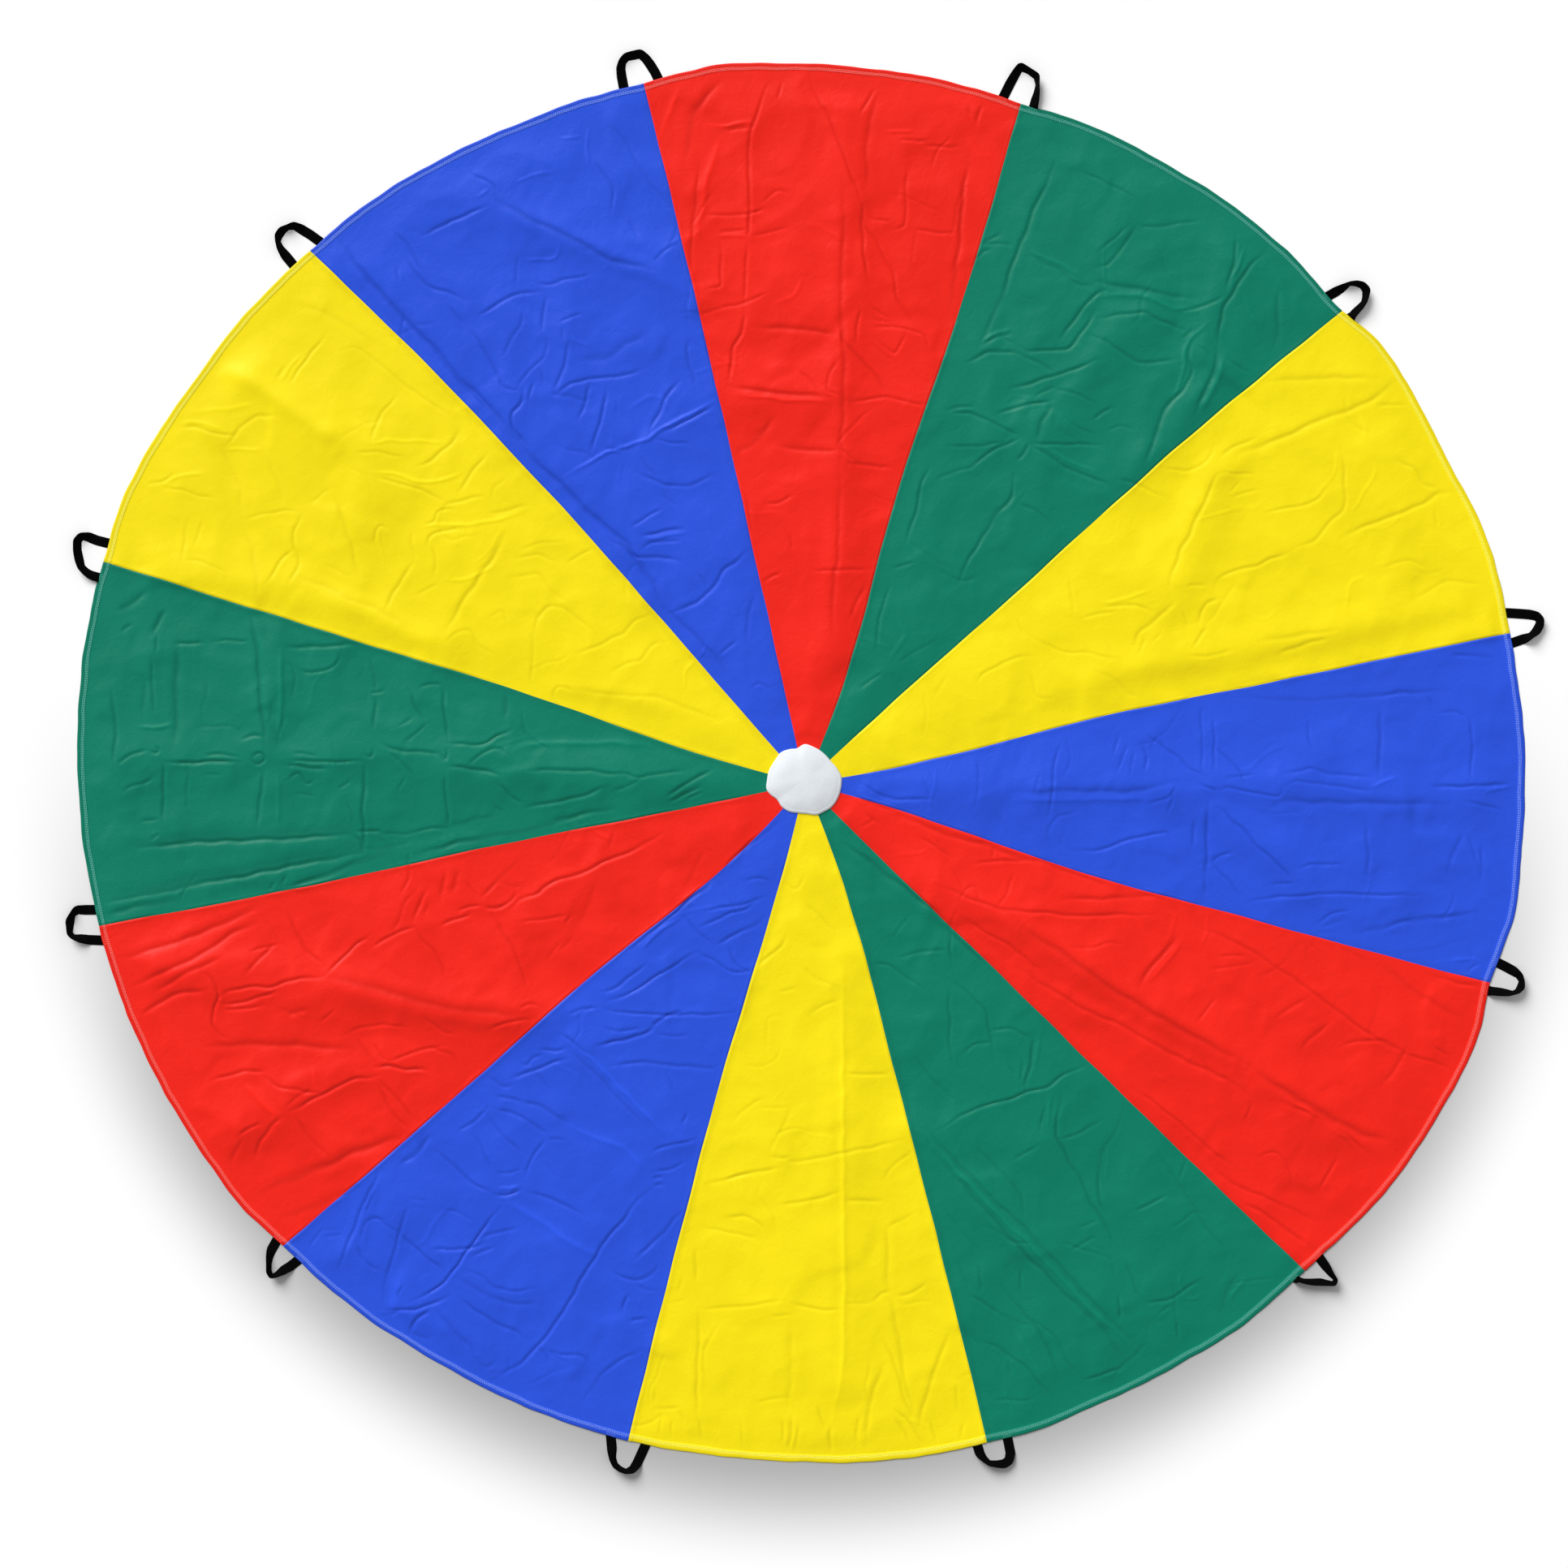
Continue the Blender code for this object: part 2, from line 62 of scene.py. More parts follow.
# The photograph, its pixel under the meeting seams, and its scale
PHOTO_PX = 1932
HUB_PX = (992, 965)
CANOPY_RADIUS = 1.83
CANOPY_RADIUS_PX = 890.5
METRES_PER_PX = CANOPY_RADIUS / CANOPY_RADIUS_PX

# The cloth, as the CAD model has it
CLOTH_THICKNESS = 0.0006
HEM_WIDTH = 0.017
HEM_THICKNESS = 0.0012
HEM_SEAT = 0.0018
FOLD_HEIGHT = 0.010
FOLD_HALF_WIDTH = 0.075
FOLD_END_SHARE = 0.85
PUFF_HEIGHT = 0.004
CALM_MARGIN = 0.12
TIP_RADIUS = 0.0655

# The crown, as the CAD model has it
CAP_RADIUS = 0.096
CAP_REACH = 0.1094
CAP_SEAT = 0.0027
CAP_RISE = 0.016
CAP_THICKNESS = 0.0012
PATCH_RADIUS = 0.085
PATCH_THICKNESS = 0.0015

# The straps, as the CAD model has them, with their sewn length counted inward from the hinge
WEBBING_WIDTH = 0.025
WEBBING_THICKNESS = 0.0015
SEWN_LENGTH = 0.028

# The cloth's mesh: its grid, the steps along its edges, the rows of points beside its hem, seams
# and creases, and the room that is kept between points
CELL = 0.0085
EDGE_STEP = 0.0055
HEM_STEP = 0.0012
HEM_ROWS = (0.0004, 0.0012, 0.003, 0.0055, 0.0085, 0.0115, 0.0142, 0.017, 0.0182, 0.022)
SEAM_ROWS = (0.0015, 0.0032, 0.005, 0.0075, 0.0105)
CREASE_ROWS = (0.0, 0.0033, 0.0066, 0.011)
TIP_POINTS = 10
SEAM_POINT_SPACE = 0.0008
CREASE_POINT_SPACE = 0.0026
ROW_SPACE = 0.002
GRID_SPACE = 0.0045
SEAM_CLEARANCE = 0.0007
HEM_CLEARANCE = 0.0003
TIP_CLEARANCE = 0.001
ROW_KEY = 1_000_003
JOIN_DISTANCE = 1e-7

# The hem and the seams: how unevenly they run, and the ridge, groove and lap along them
HEM_RIPPLE = 0.0028
HEM_RIPPLE_SIZES = ((0.11, 1.0), (0.05, 0.5))
HEM_RIPPLE_REACH = 0.15
SEAM_RIPPLE = 0.0020
SEAM_RIPPLE_SIZE = 0.13
SEAM_RIPPLE_REACH = 0.1
HEM_PUFF = 0.0006
HEM_PUFF_WIDTH = 0.0115
HEM_EDGE_SHARE = 0.35
SEAM_RIDGE = 0.0008
SEAM_RIDGE_PLACE = 0.005
SEAM_RIDGE_WIDTH = 0.003
SEAM_GROOVE = 0.0009
SEAM_GROOVE_WIDTH = 0.0018
SEAM_BAND = 0.012
SEAM_BAND_END = 1.3 * SEAM_BAND

# The creases. They are weaker beside the crown and the hem, and away from a yellow gore's seams
CREASE_DEPTH = 0.0038
CREASE_WIDTH = 0.0056
CREASE_SHOULDER_SHARE = 0.45
CREASE_SHOULDER_WIDTH_SHARE = 2.3
CREASE_REACH_SHARE = 2.5
CREASE_END_SHARE = 0.2
CREASE_FADE = 0.22
CREASE_STEP = 0.010
CREASE_WAVER = 0.005
CREASE_WAVER_SIZE = 0.045
CREASE_CALM_MARGIN = 0.03
HEM_CALM_SHARE = 0.6
YELLOW_CREASE_SHARE = 0.65
SEAM_CALM_MARGIN = 0.05

# The small stray creases
STRAY_CREASES = 14
STRAY_RADII = (0.3, 1.7)
STRAY_STEPS = 4
STRAY_BEND = 0.55
STRAY_RUNS = (0.012, 0.05)
STRAY_DEPTHS = (0.15, 0.5)
STRAY_SIGNS = (-0.7, 1, 1)
STRAY_WIDTHS = (0.7, 1.1)

# The soft folds, the facets between the creases, and the nearly flat patches
SOFT_FOLD_HEIGHT = 0.005
SOFT_FOLD_WIDTH = 0.030
SOFT_FOLD_FADE = 0.2
SOFT_FOLD_STEP = 0.012
CRUMPLE_HEIGHT = 0.0028
CRUMPLE_LEVEL = 0.6
CRUMPLE_SIZES = ((0.30, 1.0), (0.15, 0.5), (0.075, 0.22))
WARP_SIZE = 0.18
WARP_REACH = 0.03
KINK_SIZE = 0.06
KINK_REACH = 0.008
PATCH_SIZES = ((0.17, 0.014), (0.085, 0.010))
PATCH_SHARPNESS = 10
PATCH_JITTER = (0.1, 0.9)
PATCH_CELLS = 64
NOISE_CELLS = 256
NOISE_GAIN = 1.4

# Where the cloth meets the floor, and where the handles hold it up
FLOOR_GAP = 0.0004
FLOOR_SOFTNESS = 0.0006
LOWEST_RISE = FLOOR_GAP - HEM_SEAT
HANDLE_NEAR = 0.09
HANDLE_FAR = 0.22

# How much darker or paler the cloth is: darker at its doubled laps and along its hem's edge,
# with painted shade in crease valleys, a painted highlight on crease ridges and a painted pale strip under
# the hem's thread
PAINTED_CREASE_SHADING_WIDTH = 0.0042
PAINTED_CREASE_SHADING_SHARE = 0.75
LAP_SHARE = 0.3
HEM_DARK_SHARE = 0.6
HEM_DARK_WIDTH = 0.0085
HEM_PAINTED_LIGHT_SHARE = 0.7
HEM_PAINTED_LIGHT_PLACE = 0.0136
HEM_PAINTED_LIGHT_WIDTH = 0.0045
TONE_AND_PAINTED_LIGHT_SCALE = 0.20

# The cap's and the patch's finer shape
CAP_SECTORS = 144
CAP_RINGS = 40
CAP_RIM_RINGS = 12
CAP_RIM_SHARE = 0.9
CAP_DOME_POWER = 0.62
CAP_HOLLOW = (0.8, 0.9)
CAP_DIMPLE_HEIGHT = 0.0016
CAP_DIMPLE_WIDTH = 0.022
CAP_DIMPLE_FADE = 0.15
CAP_RIM_WIDTH = 0.0075
CAP_RIM_RISE = 0.0006
CAP_RIM_SOFTNESS = 2.6
CAP_EDGE_DROP = 0.3 * CAP_THICKNESS
CAP_UNEVENNESS = 0.0004
CAP_UNEVENNESS_SIZE = 0.04
PATCH_SECTORS = 120
# Shares of the patch's radius and thickness, from the middle of its underside to that of its top
PATCH_PROFILE = (
    (0.0, 0.0), (0.5, 0.0), (0.99, 0.0), (1.0, 0.25), (1.0, 0.75), (0.99, 1.0), (0.94, 1.0),
    (0.92, 0.72), (0.5, 0.72), (0.0, 0.72),
)

# The straps' finer shape
WEBBING_WIDTH_PX = 12
STRAP_STEP = 0.002
STRAP_SMOOTHINGS = 3
STRAP_GAP = 0.00002
STRAP_FOOT = 0.004
STRAP_LEAST_SHARE = 0.3
STRAP_UNDERSIDE_MAP = 0.5
# Shares of half the strap's width and thickness, round one edge of its section
STRAP_EDGE = ((0.985, 0.7), (1.0, 0.0), (0.985, -0.7))
STRAP_FLAT = np.linspace(-0.94, 0.94, 9)

# Thread
STITCH_PITCH = 0.0058
STITCH_LENGTH = 0.0048
STITCH_WANDER = 0.0002
STITCH_SIDES = 6
# A stitch's rings: how far along it each lies, its thickness and its lift, as shares
STITCH_RINGS = ((-0.5, 0.35, 0.0), (-0.36, 0.9, 0.5), (0.0, 1.0, 0.75), (0.36, 0.9, 0.5), (0.5, 0.35, 0.0))
THREAD_RADIUS = 0.00075
THREAD_FLATNESS = 0.35
THREAD_LIFT = 0.2
BARTACK_THREAD_RADIUS = 0.0004
CAP_THREAD_RADIUS = 0.00035
TOPSTITCH_INSETS = (0.0108, 0.0136, 0.0164)
BARTACK_INSETS = (0.0035, 0.0075)
BARTACK_POINTS = 6
CAP_STITCH_TURN = 0.01

# Colours, as the photograph shows them in plain light
CLOTH_COLOURS = {
    "red": (242, 34, 20),
    "green": (0, 123, 98),
    "yellow": (248, 226, 8),
    "blue": (40, 82, 219),
}
WHITE_COLOUR = (226, 231, 236)
WEBBING_COLOUR = (4, 4, 4)
THREAD_COLOUR = (246, 249, 250)
# The hem's thread has its gore's colour, made brighter and then paler
THREAD_BRIGHTNESS = 1.25
THREAD_PALENESS = 0.44
FULL_LEVEL = 255

# Materials: roughness, the depth of wrinkles and weave, and the threads' pitches
CLOTH_ROUGHNESS = 0.44
WHITE_ROUGHNESS = 0.55
ROUGHNESS_SPREAD = (-0.06, 0.08)
WRINKLE_DEPTH = 0.0011
WHITE_CRUMPLE = 0.5
WEAVE_PITCHES = (0.0008, 0.0008)
WEAVE_DEPTH = 0.00006
RIB_PITCHES = (0.0026, 0.0022)
RIB_DEPTH = 0.0003

# Seeds of the random draws
WARP_SEEDS = (1, 2)
CRUMPLE_SEED = 3
KINK_SEEDS = (6, 7)
STRAY_SEED = 11
HEM_RIPPLE_SEED = 21
SEAM_RIPPLE_SEEDS = (23, 24)
CAP_SEED = 31
CREASE_WAVER_SEEDS = (41, 42)
PATCH_SEED = 50
TOPSTITCH_SEED = 100
BARTACK_SEED = 200

# The stage: the camera, the floor, the painted soft shadow below the canopy, the sun and the sky
LENS_MM = 85
SENSOR_MM = 36
VIEW_LIMIT = 100
FLOOR_HALF_SIZE = 60.0
FLOOR_LEVEL = 0.8
SHADE_CENTRE_PX = (996, 940)
SHADE_RADIUS = 1.886
SHADE_BLUR = 0.21
SHADE_TOP = 0.38
SHADE_BOTTOM = -1.06
SHADE_DEPTH = 0.34
SCREEN_GAMMA = 2.2
SUN_STRENGTH = 3.4
SUN_TURN = math.radians(32)
SUN_TILT = math.radians(-56)
SUN_ANGLE = math.radians(36)
SKY_STRENGTH = 0.40

# The seams, from the cap to the hem, clockwise from the one left of the top gore
SEAMS_PX = (
    ((981, 915), (924, 660), (860, 380), (793, 103)),
    ((1010, 922), (1091, 657), (1178, 395), (1258, 127)),
    ((1023, 936), (1216, 762), (1429, 570), (1654, 383)),
    ((1038, 958), (1276, 903), (1570, 840), (1861, 780)),
    ((1036, 977), (1270, 1054), (1555, 1136), (1836, 1211)),
    ((1024, 997), (1214, 1183), (1410, 1375), (1607, 1565)),
    ((1008, 1004), (1092, 1279), (1156, 1530), (1216, 1777)),
    ((983, 1003), (903, 1279), (838, 1520), (774, 1775)),
    ((964, 997), (781, 1160), (563, 1350), (349, 1535)),
    ((946, 975), (700, 1024), (412, 1085), (122, 1141)),
    ((945, 953), (704, 874), (418, 783), (128, 692)),
    ((960, 929), (790, 734), (590, 515), (382, 309)),
)
GORE_COUNT = len(SEAMS_PX)

# The hem's points between each seam and the next
HEM_PX = (
    ((880, 81), (960, 78), (1080, 85), (1171, 101)),
    ((1349, 157), (1455, 213), (1532, 263), (1586, 309)),
    ((1702, 424), (1743, 488), (1791, 580), (1830, 660)),
    ((1874, 870), (1879, 950), (1875, 1040), (1866, 1130)),
    ((1823, 1271), (1789, 1345), (1740, 1425), (1680, 1498)),
    ((1532, 1632), (1451, 1682), (1350, 1732), (1281, 1761)),
    ((1121, 1796), (990, 1802), (880, 1793)),
    ((699, 1753), (618, 1720), (535, 1676), (444, 1619)),
    ((294, 1483), (244, 1414), (196, 1334), (158, 1252)),
    ((104, 1050), (96, 950), (101, 820), (115, 739)),
    ((149, 620), (187, 546), (233, 477), (300, 390)),
    ((458, 247), (559, 188), (649, 148), (719, 122)),
)

# The main folds: the line of each, then its height and width as shares
MAIN_FOLDS_PX = (
    (((1134, 1087), (1306, 1179), (1497, 1286), (1640, 1390)), 1.0, 0.9),
    (((1252, 1194), (1344, 1244), (1500, 1330)), 0.6, 0.8),
    (((1134, 1393), (1230, 1504), (1340, 1600)), 0.9, 0.9),
    (((1160, 1100), (1230, 1200), (1330, 1330)), 0.5, 0.8),
    (((1040, 1180), (1037, 1480), (1037, 1700)), 0.7, 0.7),
    (((704, 1282), (826, 1405)), 0.8, 0.8),
    (((430, 1420), (600, 1590)), 0.7, 0.9),
    (((200, 1190), (400, 1215), (677, 1255)), 1.0, 0.9),
    (((260, 1410), (390, 1330), (480, 1310)), 0.6, 0.8),
    (((160, 935), (480, 930), (820, 965)), 0.7, 0.8),
    (((335, 780), (335, 1030)), 0.6, 0.8),
    (((200, 700), (390, 735), (543, 795)), 0.8, 0.8),
    (((290, 455), (440, 560), (450, 610)), 1.0, 1.1),
    (((450, 330), (560, 445), (700, 610), (790, 735)), 0.8, 0.8),
    (((605, 255), (730, 310), (850, 360)), 0.8, 0.9),
    (((1042, 150), (1038, 500), (1030, 800)), 0.7, 0.7),
    (((890, 490), (1150, 500)), 0.6, 0.8),
    (((1520, 330), (1490, 455), (1421, 562)), 1.0, 1.0),
    (((1290, 560), (1340, 460), (1420, 380)), 0.6, 0.8),
    (((1300, 850), (1560, 795), (1800, 750)), 0.6, 0.8),
    (((1500, 590), (1450, 730)), 0.7, 0.8),
    (((1150, 970), (1490, 965), (1800, 985)), 0.7, 0.8),
    (((1500, 990), (1610, 1090)), 0.6, 0.7),
)

# Broad soft folds: height and width as shares, then the line
SOFT_FOLDS_PX = (
    (1.0, 0.8, ((262, 452), (307, 468), (350, 498), (388, 525), (430, 551))),
    (0.6, 0.8, ((390, 723), (470, 765), (551, 799))),
    (0.5, 0.8, ((658, 849), (708, 849), (853, 880))),
    (-0.5, 1.2, ((270, 541), (294, 621), (312, 675))),
    (-0.8, 1.0, ((1517, 340), (1497, 436), (1440, 497), (1421, 566))),
    (-0.7, 1.0, ((451, 340), (532, 424), (597, 493), (658, 570), (734, 642), (811, 696))),
    (0.7, 0.8, ((605, 255), (720, 300), (850, 360))),
    (0.6, 0.9, ((1144, 1078), (1230, 1123), (1361, 1211), (1500, 1289), (1600, 1355))),
    (-0.6, 1.1, ((1300, 860), (1600, 810), (1850, 750))),
    (0.6, 1.0, ((390, 1213), (447, 1225), (524, 1244), (673, 1255))),
    (0.5, 1.0, ((1131, 1391), (1198, 1460), (1245, 1516), (1318, 1580))),
    (-0.4, 1.2, ((1037, 1200), (1040, 1450), (1037, 1760))),
    (0.5, 0.9, ((150, 1165), (220, 1200), (290, 1240))),
    (0.4, 1.0, ((1270, 1075), (1320, 1100), (1400, 1104))),
    (-0.4, 1.0, ((1150, 700), (1200, 600), (1290, 560))),
    (0.5, 0.9, ((1386, 1340), (1450, 1378), (1500, 1423), (1600, 1527))),
    (0.4, 0.9, ((470, 1440), (440, 1516), (421, 1565))),
)

# Creases: depth and width as shares, then the line. A depth below zero is a ridge.
CREASES_PX = (
    # Red gore at the top
    (0.9, 1.6, ((890, 97), (870, 120), (853, 143), (847, 173), (845, 200))),
    (-0.6, 1.6, ((837, 110), (827, 140), (813, 167), (810, 183))),
    (-0.8, 0.9, ((863, 155), (893, 155), (927, 150))),
    (0.5, 0.8, ((877, 162), (907, 160), (927, 157))),
    (0.8, 0.9, ((947, 103), (937, 127), (927, 157), (922, 190), (923, 223), (923, 277), (922, 290))),
    (0.5, 0.8, ((963, 100), (957, 123))),
    (0.6, 1.0, ((862, 200), (858, 243), (853, 297), (850, 337))),
    (-0.6, 1.5, ((873, 200), (865, 257), (858, 290))),
    (-0.5, 1.6, ((887, 170), (880, 190), (873, 223))),
    (0.5, 0.8, ((870, 265), (920, 265), (933, 260))),
    (0.5, 0.8, ((887, 285), (920, 283))),
    (-0.4, 0.8, ((883, 291), (923, 291))),
    (0.4, 0.8, ((927, 291), (947, 287), (970, 280))),
    (0.4, 0.8, ((937, 250), (947, 243), (963, 233), (973, 240))),
    (0.6, 0.8, ((927, 263), (940, 258))),
    (0.6, 0.8, ((925, 260), (923, 290))),
    (0.6, 0.8, ((888, 303), (890, 353), (870, 357))),
    (0.7, 0.8, ((920, 303), (918, 343), (917, 373))),
    (0.5, 0.8, ((883, 380), (913, 375), (927, 370), (947, 360))),
    (0.9, 0.9, ((917, 383), (915, 410), (903, 430), (900, 457), (897, 473))),
    (0.6, 0.8, ((867, 407), (873, 437), (880, 457), (883, 477))),
    (0.8, 1.4, ((933, 403), (970, 405), (1003, 408), (1030, 413))),
    (1.0, 1.3, ((900, 477), (927, 481), (960, 485), (993, 487), (1023, 490))),
    (-0.5, 0.8, ((907, 487), (960, 493), (1020, 496))),
    (0.6, 0.7, ((983, 455), (1000, 470), (1013, 487))),
    (0.5, 0.8, ((1033, 443), (1020, 463), (1017, 483), (1037, 487))),
    (0.8, 0.8, ((1000, 103), (1013, 130), (1023, 153), (1040, 193), (1052, 223), (1063, 253))),
    (0.7, 0.8, ((1063, 253), (1068, 282), (1080, 300), (1100, 333), (1105, 367), (1117, 387), (1130, 403),
      (1140, 413))),
    (0.8, 0.9, ((1063, 253), (1063, 307), (1067, 333), (1072, 348))),
    (0.7, 1.4, ((1040, 223), (1040, 290), (1037, 323), (1037, 390), (1040, 440), (1040, 490), (1037, 540),
      (1035, 590))),
    (0.7, 1.3, ((1035, 590), (1033, 680), (1028, 713), (1027, 780))),
    (0.7, 1.3, ((960, 550), (993, 555), (1033, 555))),
    (0.7, 1.6, ((900, 557), (923, 550), (943, 530), (953, 513))),
    (0.6, 0.8, ((943, 620), (960, 620), (977, 610))),
    (0.4, 0.9, ((917, 607), (923, 627), (927, 663))),
    (0.5, 0.8, ((973, 660), (977, 677))),
    (0.6, 0.8, ((940, 717), (960, 707))),
    (0.6, 1.5, ((1083, 117), (1073, 143), (1068, 180), (1067, 233))),
    (0.7, 0.8, ((1077, 110), (1060, 140))),
    (-0.5, 0.8, ((1090, 162), (1127, 163))),
    (0.6, 0.8, ((1107, 173), (1143, 173))),
    (0.6, 0.8, ((1140, 180), (1167, 183), (1187, 179))),
    (0.6, 0.8, ((1117, 210), (1116, 280), (1097, 284))),
    (0.5, 0.8, ((1073, 270), (1097, 274))),
    (0.6, 0.8, ((1127, 284), (1177, 288))),
    (1.0, 1.2, ((1193, 190), (1185, 260), (1180, 317), (1173, 353), (1168, 393))),
    (0.7, 0.9, ((1210, 130), (1203, 153))),
    (0.6, 0.8, ((1193, 133), (1195, 143))),
    (0.7, 0.8, ((1060, 380), (1055, 410), (1055, 423))),
    (0.9, 0.9, ((1033, 395), (1038, 420), (1057, 440), (1077, 460), (1097, 488))),
    (0.5, 0.8, ((1070, 405), (1103, 403), (1123, 407), (1140, 413), (1147, 433))),
    (0.5, 0.7, ((1073, 377), (1097, 393))),
    (0.4, 0.7, ((1073, 393), (1097, 398))),
    (0.5, 0.8, ((1080, 417), (1103, 437), (1117, 410))),
    (0.4, 0.7, ((1077, 423), (1100, 447))),
    (0.6, 0.8, ((1043, 495), (1090, 489), (1120, 497), (1147, 500))),
    (0.6, 0.9, ((1043, 570), (1065, 574), (1100, 577))),
    (0.5, 0.8, ((1035, 553), (1060, 573))),
    (0.6, 0.9, ((1000, 703), (1030, 703), (1073, 702))),
    (0.6, 0.9, ((1067, 720), (1053, 747), (1047, 763))),
    # Green gore at the upper right
    (1.0, 1.1, ((1300, 200), (1287, 233), (1273, 260), (1263, 290), (1250, 317), (1240, 350), (1223, 387),
      (1210, 420), (1205, 428))),
    (0.6, 0.8, ((1210, 300), (1233, 288))),
    (0.5, 0.8, ((1210, 300), (1247, 302))),
    (0.6, 0.8, ((1203, 320), (1210, 310), (1220, 308))),
    (-0.6, 0.8, ((1213, 420), (1220, 413), (1247, 405))),
    (0.6, 0.8, ((1210, 426), (1220, 418), (1247, 411))),
    (0.5, 0.7, ((1237, 417), (1247, 423))),
    (0.8, 0.9, ((1190, 448), (1203, 440), (1220, 433), (1247, 433), (1257, 437))),
    (0.9, 0.9, ((1257, 427), (1263, 433), (1300, 432), (1317, 430), (1327, 417), (1340, 400), (1350, 383))),
    (0.9, 0.9, ((1307, 417), (1320, 400), (1333, 380), (1350, 363), (1363, 357))),
    (-0.7, 1.3, ((1350, 367), (1380, 363), (1413, 367), (1447, 380), (1477, 385))),
    (0.7, 1.3, ((1347, 347), (1380, 353), (1413, 358), (1447, 367), (1473, 367))),
    (0.7, 0.9, ((1353, 393), (1380, 387), (1413, 385), (1430, 397), (1447, 403), (1463, 408))),
    (0.5, 0.9, ((1267, 315), (1300, 330), (1327, 350), (1347, 353))),
    (-0.5, 0.9, ((1270, 311), (1300, 322), (1330, 340))),
    (0.6, 0.9, ((1350, 330), (1367, 327), (1377, 313), (1393, 293), (1400, 280))),
    (0.5, 0.8, ((1353, 310), (1370, 297), (1390, 277))),
    (0.6, 0.8, ((1330, 210), (1357, 223), (1380, 233), (1400, 247))),
    (0.5, 0.9, ((1400, 278), (1433, 280), (1450, 275), (1480, 272))),
    (0.7, 0.9, ((1340, 413), (1363, 420), (1380, 433), (1400, 447), (1427, 445), (1453, 443))),
    (0.9, 0.9, ((1243, 480), (1270, 472), (1300, 463), (1327, 455), (1353, 443))),
    (0.6, 0.8, ((1257, 437), (1280, 447), (1300, 460))),
    (0.6, 0.8, ((1167, 505), (1180, 500), (1200, 502))),
    (0.8, 0.8, ((1170, 507), (1197, 510), (1220, 520), (1247, 533), (1257, 537))),
    (0.9, 0.8, ((1227, 510), (1247, 503), (1280, 497), (1297, 493))),
    (0.5, 0.8, ((1273, 490), (1300, 477))),
    (0.5, 0.8, ((1300, 480), (1330, 487), (1350, 497))),
    (0.8, 1.4, ((1297, 497), (1283, 517), (1277, 543))),
    (0.5, 0.8, ((1167, 550), (1213, 550), (1243, 543))),
    (0.8, 0.8, ((1193, 577), (1213, 563), (1233, 550), (1257, 540))),
    (0.7, 0.8, ((1267, 547), (1280, 547), (1313, 548), (1357, 548))),
    (0.9, 0.9, ((1270, 550), (1287, 557), (1313, 577), (1347, 590), (1367, 597))),
    (-0.5, 0.8, ((1293, 553), (1320, 570), (1350, 583))),
    (0.7, 0.8, ((1267, 547), (1263, 560), (1253, 567))),
    (0.7, 0.8, ((1347, 517), (1360, 507), (1370, 503))),
    (0.4, 0.7, ((1313, 517), (1333, 530), (1350, 537))),
    (0.4, 0.7, ((1363, 530), (1380, 523), (1397, 530))),
    (0.8, 0.8, ((1145, 575), (1135, 593), (1130, 627), (1117, 667))),
    (0.5, 0.8, ((1153, 590), (1177, 580), (1200, 575))),
    (0.8, 0.9, ((1250, 583), (1247, 613), (1230, 630), (1213, 657), (1200, 680), (1187, 703), (1180, 720))),
    (0.5, 0.8, ((1253, 620), (1277, 630), (1297, 647))),
    (0.7, 0.8, ((1097, 720), (1090, 743), (1083, 767), (1080, 800))),
    (0.5, 0.8, ((1100, 700), (1127, 693))),
    (0.6, 0.8, ((1060, 847), (1073, 840), (1087, 828))),
    (0.3, 0.9, ((1103, 817), (1130, 803), (1153, 790))),
    (1.0, 1.0, ((1557, 313), (1540, 327), (1530, 343), (1520, 360), (1507, 380), (1502, 400), (1500, 425))),
    (0.8, 0.9, ((1523, 293), (1522, 323), (1513, 343), (1510, 357))),
    (-0.7, 0.9, ((1533, 307), (1527, 327), (1517, 343))),
    (0.7, 0.9, ((1507, 365), (1487, 377), (1467, 383), (1450, 383))),
    (-0.6, 0.9, ((1490, 397), (1470, 413), (1457, 433), (1460, 447), (1455, 470), (1445, 490))),
    (0.7, 0.8, ((1467, 420), (1463, 443), (1470, 457), (1460, 480), (1440, 500))),
    (0.5, 0.7, ((1477, 427), (1490, 440))),
    (0.5, 0.7, ((1457, 417), (1470, 405))),
    (0.9, 1.2, ((1500, 430), (1497, 457), (1483, 480), (1473, 510))),
    (-0.7, 1.2, ((1508, 440), (1503, 460), (1490, 487), (1482, 505))),
    (0.9, 1.3, ((1457, 480), (1433, 507), (1420, 547), (1410, 573))),
    (0.5, 0.8, ((1513, 443), (1540, 460))),
    (0.6, 1.3, ((1577, 357), (1573, 380), (1577, 407), (1567, 433))),
    # Yellow gore at the right
    (1.0, 1.3, ((1530, 558), (1560, 547), (1590, 535), (1613, 523), (1650, 510), (1683, 497), (1703, 483),
      (1720, 470))),
    (0.5, 0.8, ((1697, 500), (1733, 498))),
    (0.6, 1.3, ((1563, 470), (1600, 467), (1650, 465), (1697, 467))),
    (0.7, 0.9, ((1503, 563), (1520, 550), (1547, 540))),
    (0.5, 0.8, ((1433, 578), (1467, 580), (1487, 570), (1497, 550))),
    (1.0, 1.1, ((1507, 582), (1497, 587), (1487, 610), (1473, 640), (1463, 663), (1453, 680), (1447, 700),
      (1440, 723))),
    (0.5, 0.8, ((1507, 582), (1547, 585))),
    (0.5, 0.7, ((1517, 613), (1533, 607), (1550, 603))),
    (0.4, 0.7, ((1513, 608), (1527, 593))),
    (0.7, 0.8, ((1560, 632), (1580, 625), (1607, 623), (1627, 613), (1633, 603))),
    (0.7, 0.9, ((1653, 553), (1657, 580), (1657, 613), (1653, 630), (1633, 650), (1620, 667), (1593, 677))),
    (0.9, 1.1, ((1653, 663), (1677, 650), (1703, 640), (1733, 630), (1760, 617), (1773, 607), (1797, 605))),
    (0.5, 0.7, ((1767, 630), (1770, 647))),
    (0.6, 0.9, ((1720, 567), (1747, 580), (1753, 597), (1773, 603))),
    (0.5, 0.8, ((1460, 723), (1487, 720))),
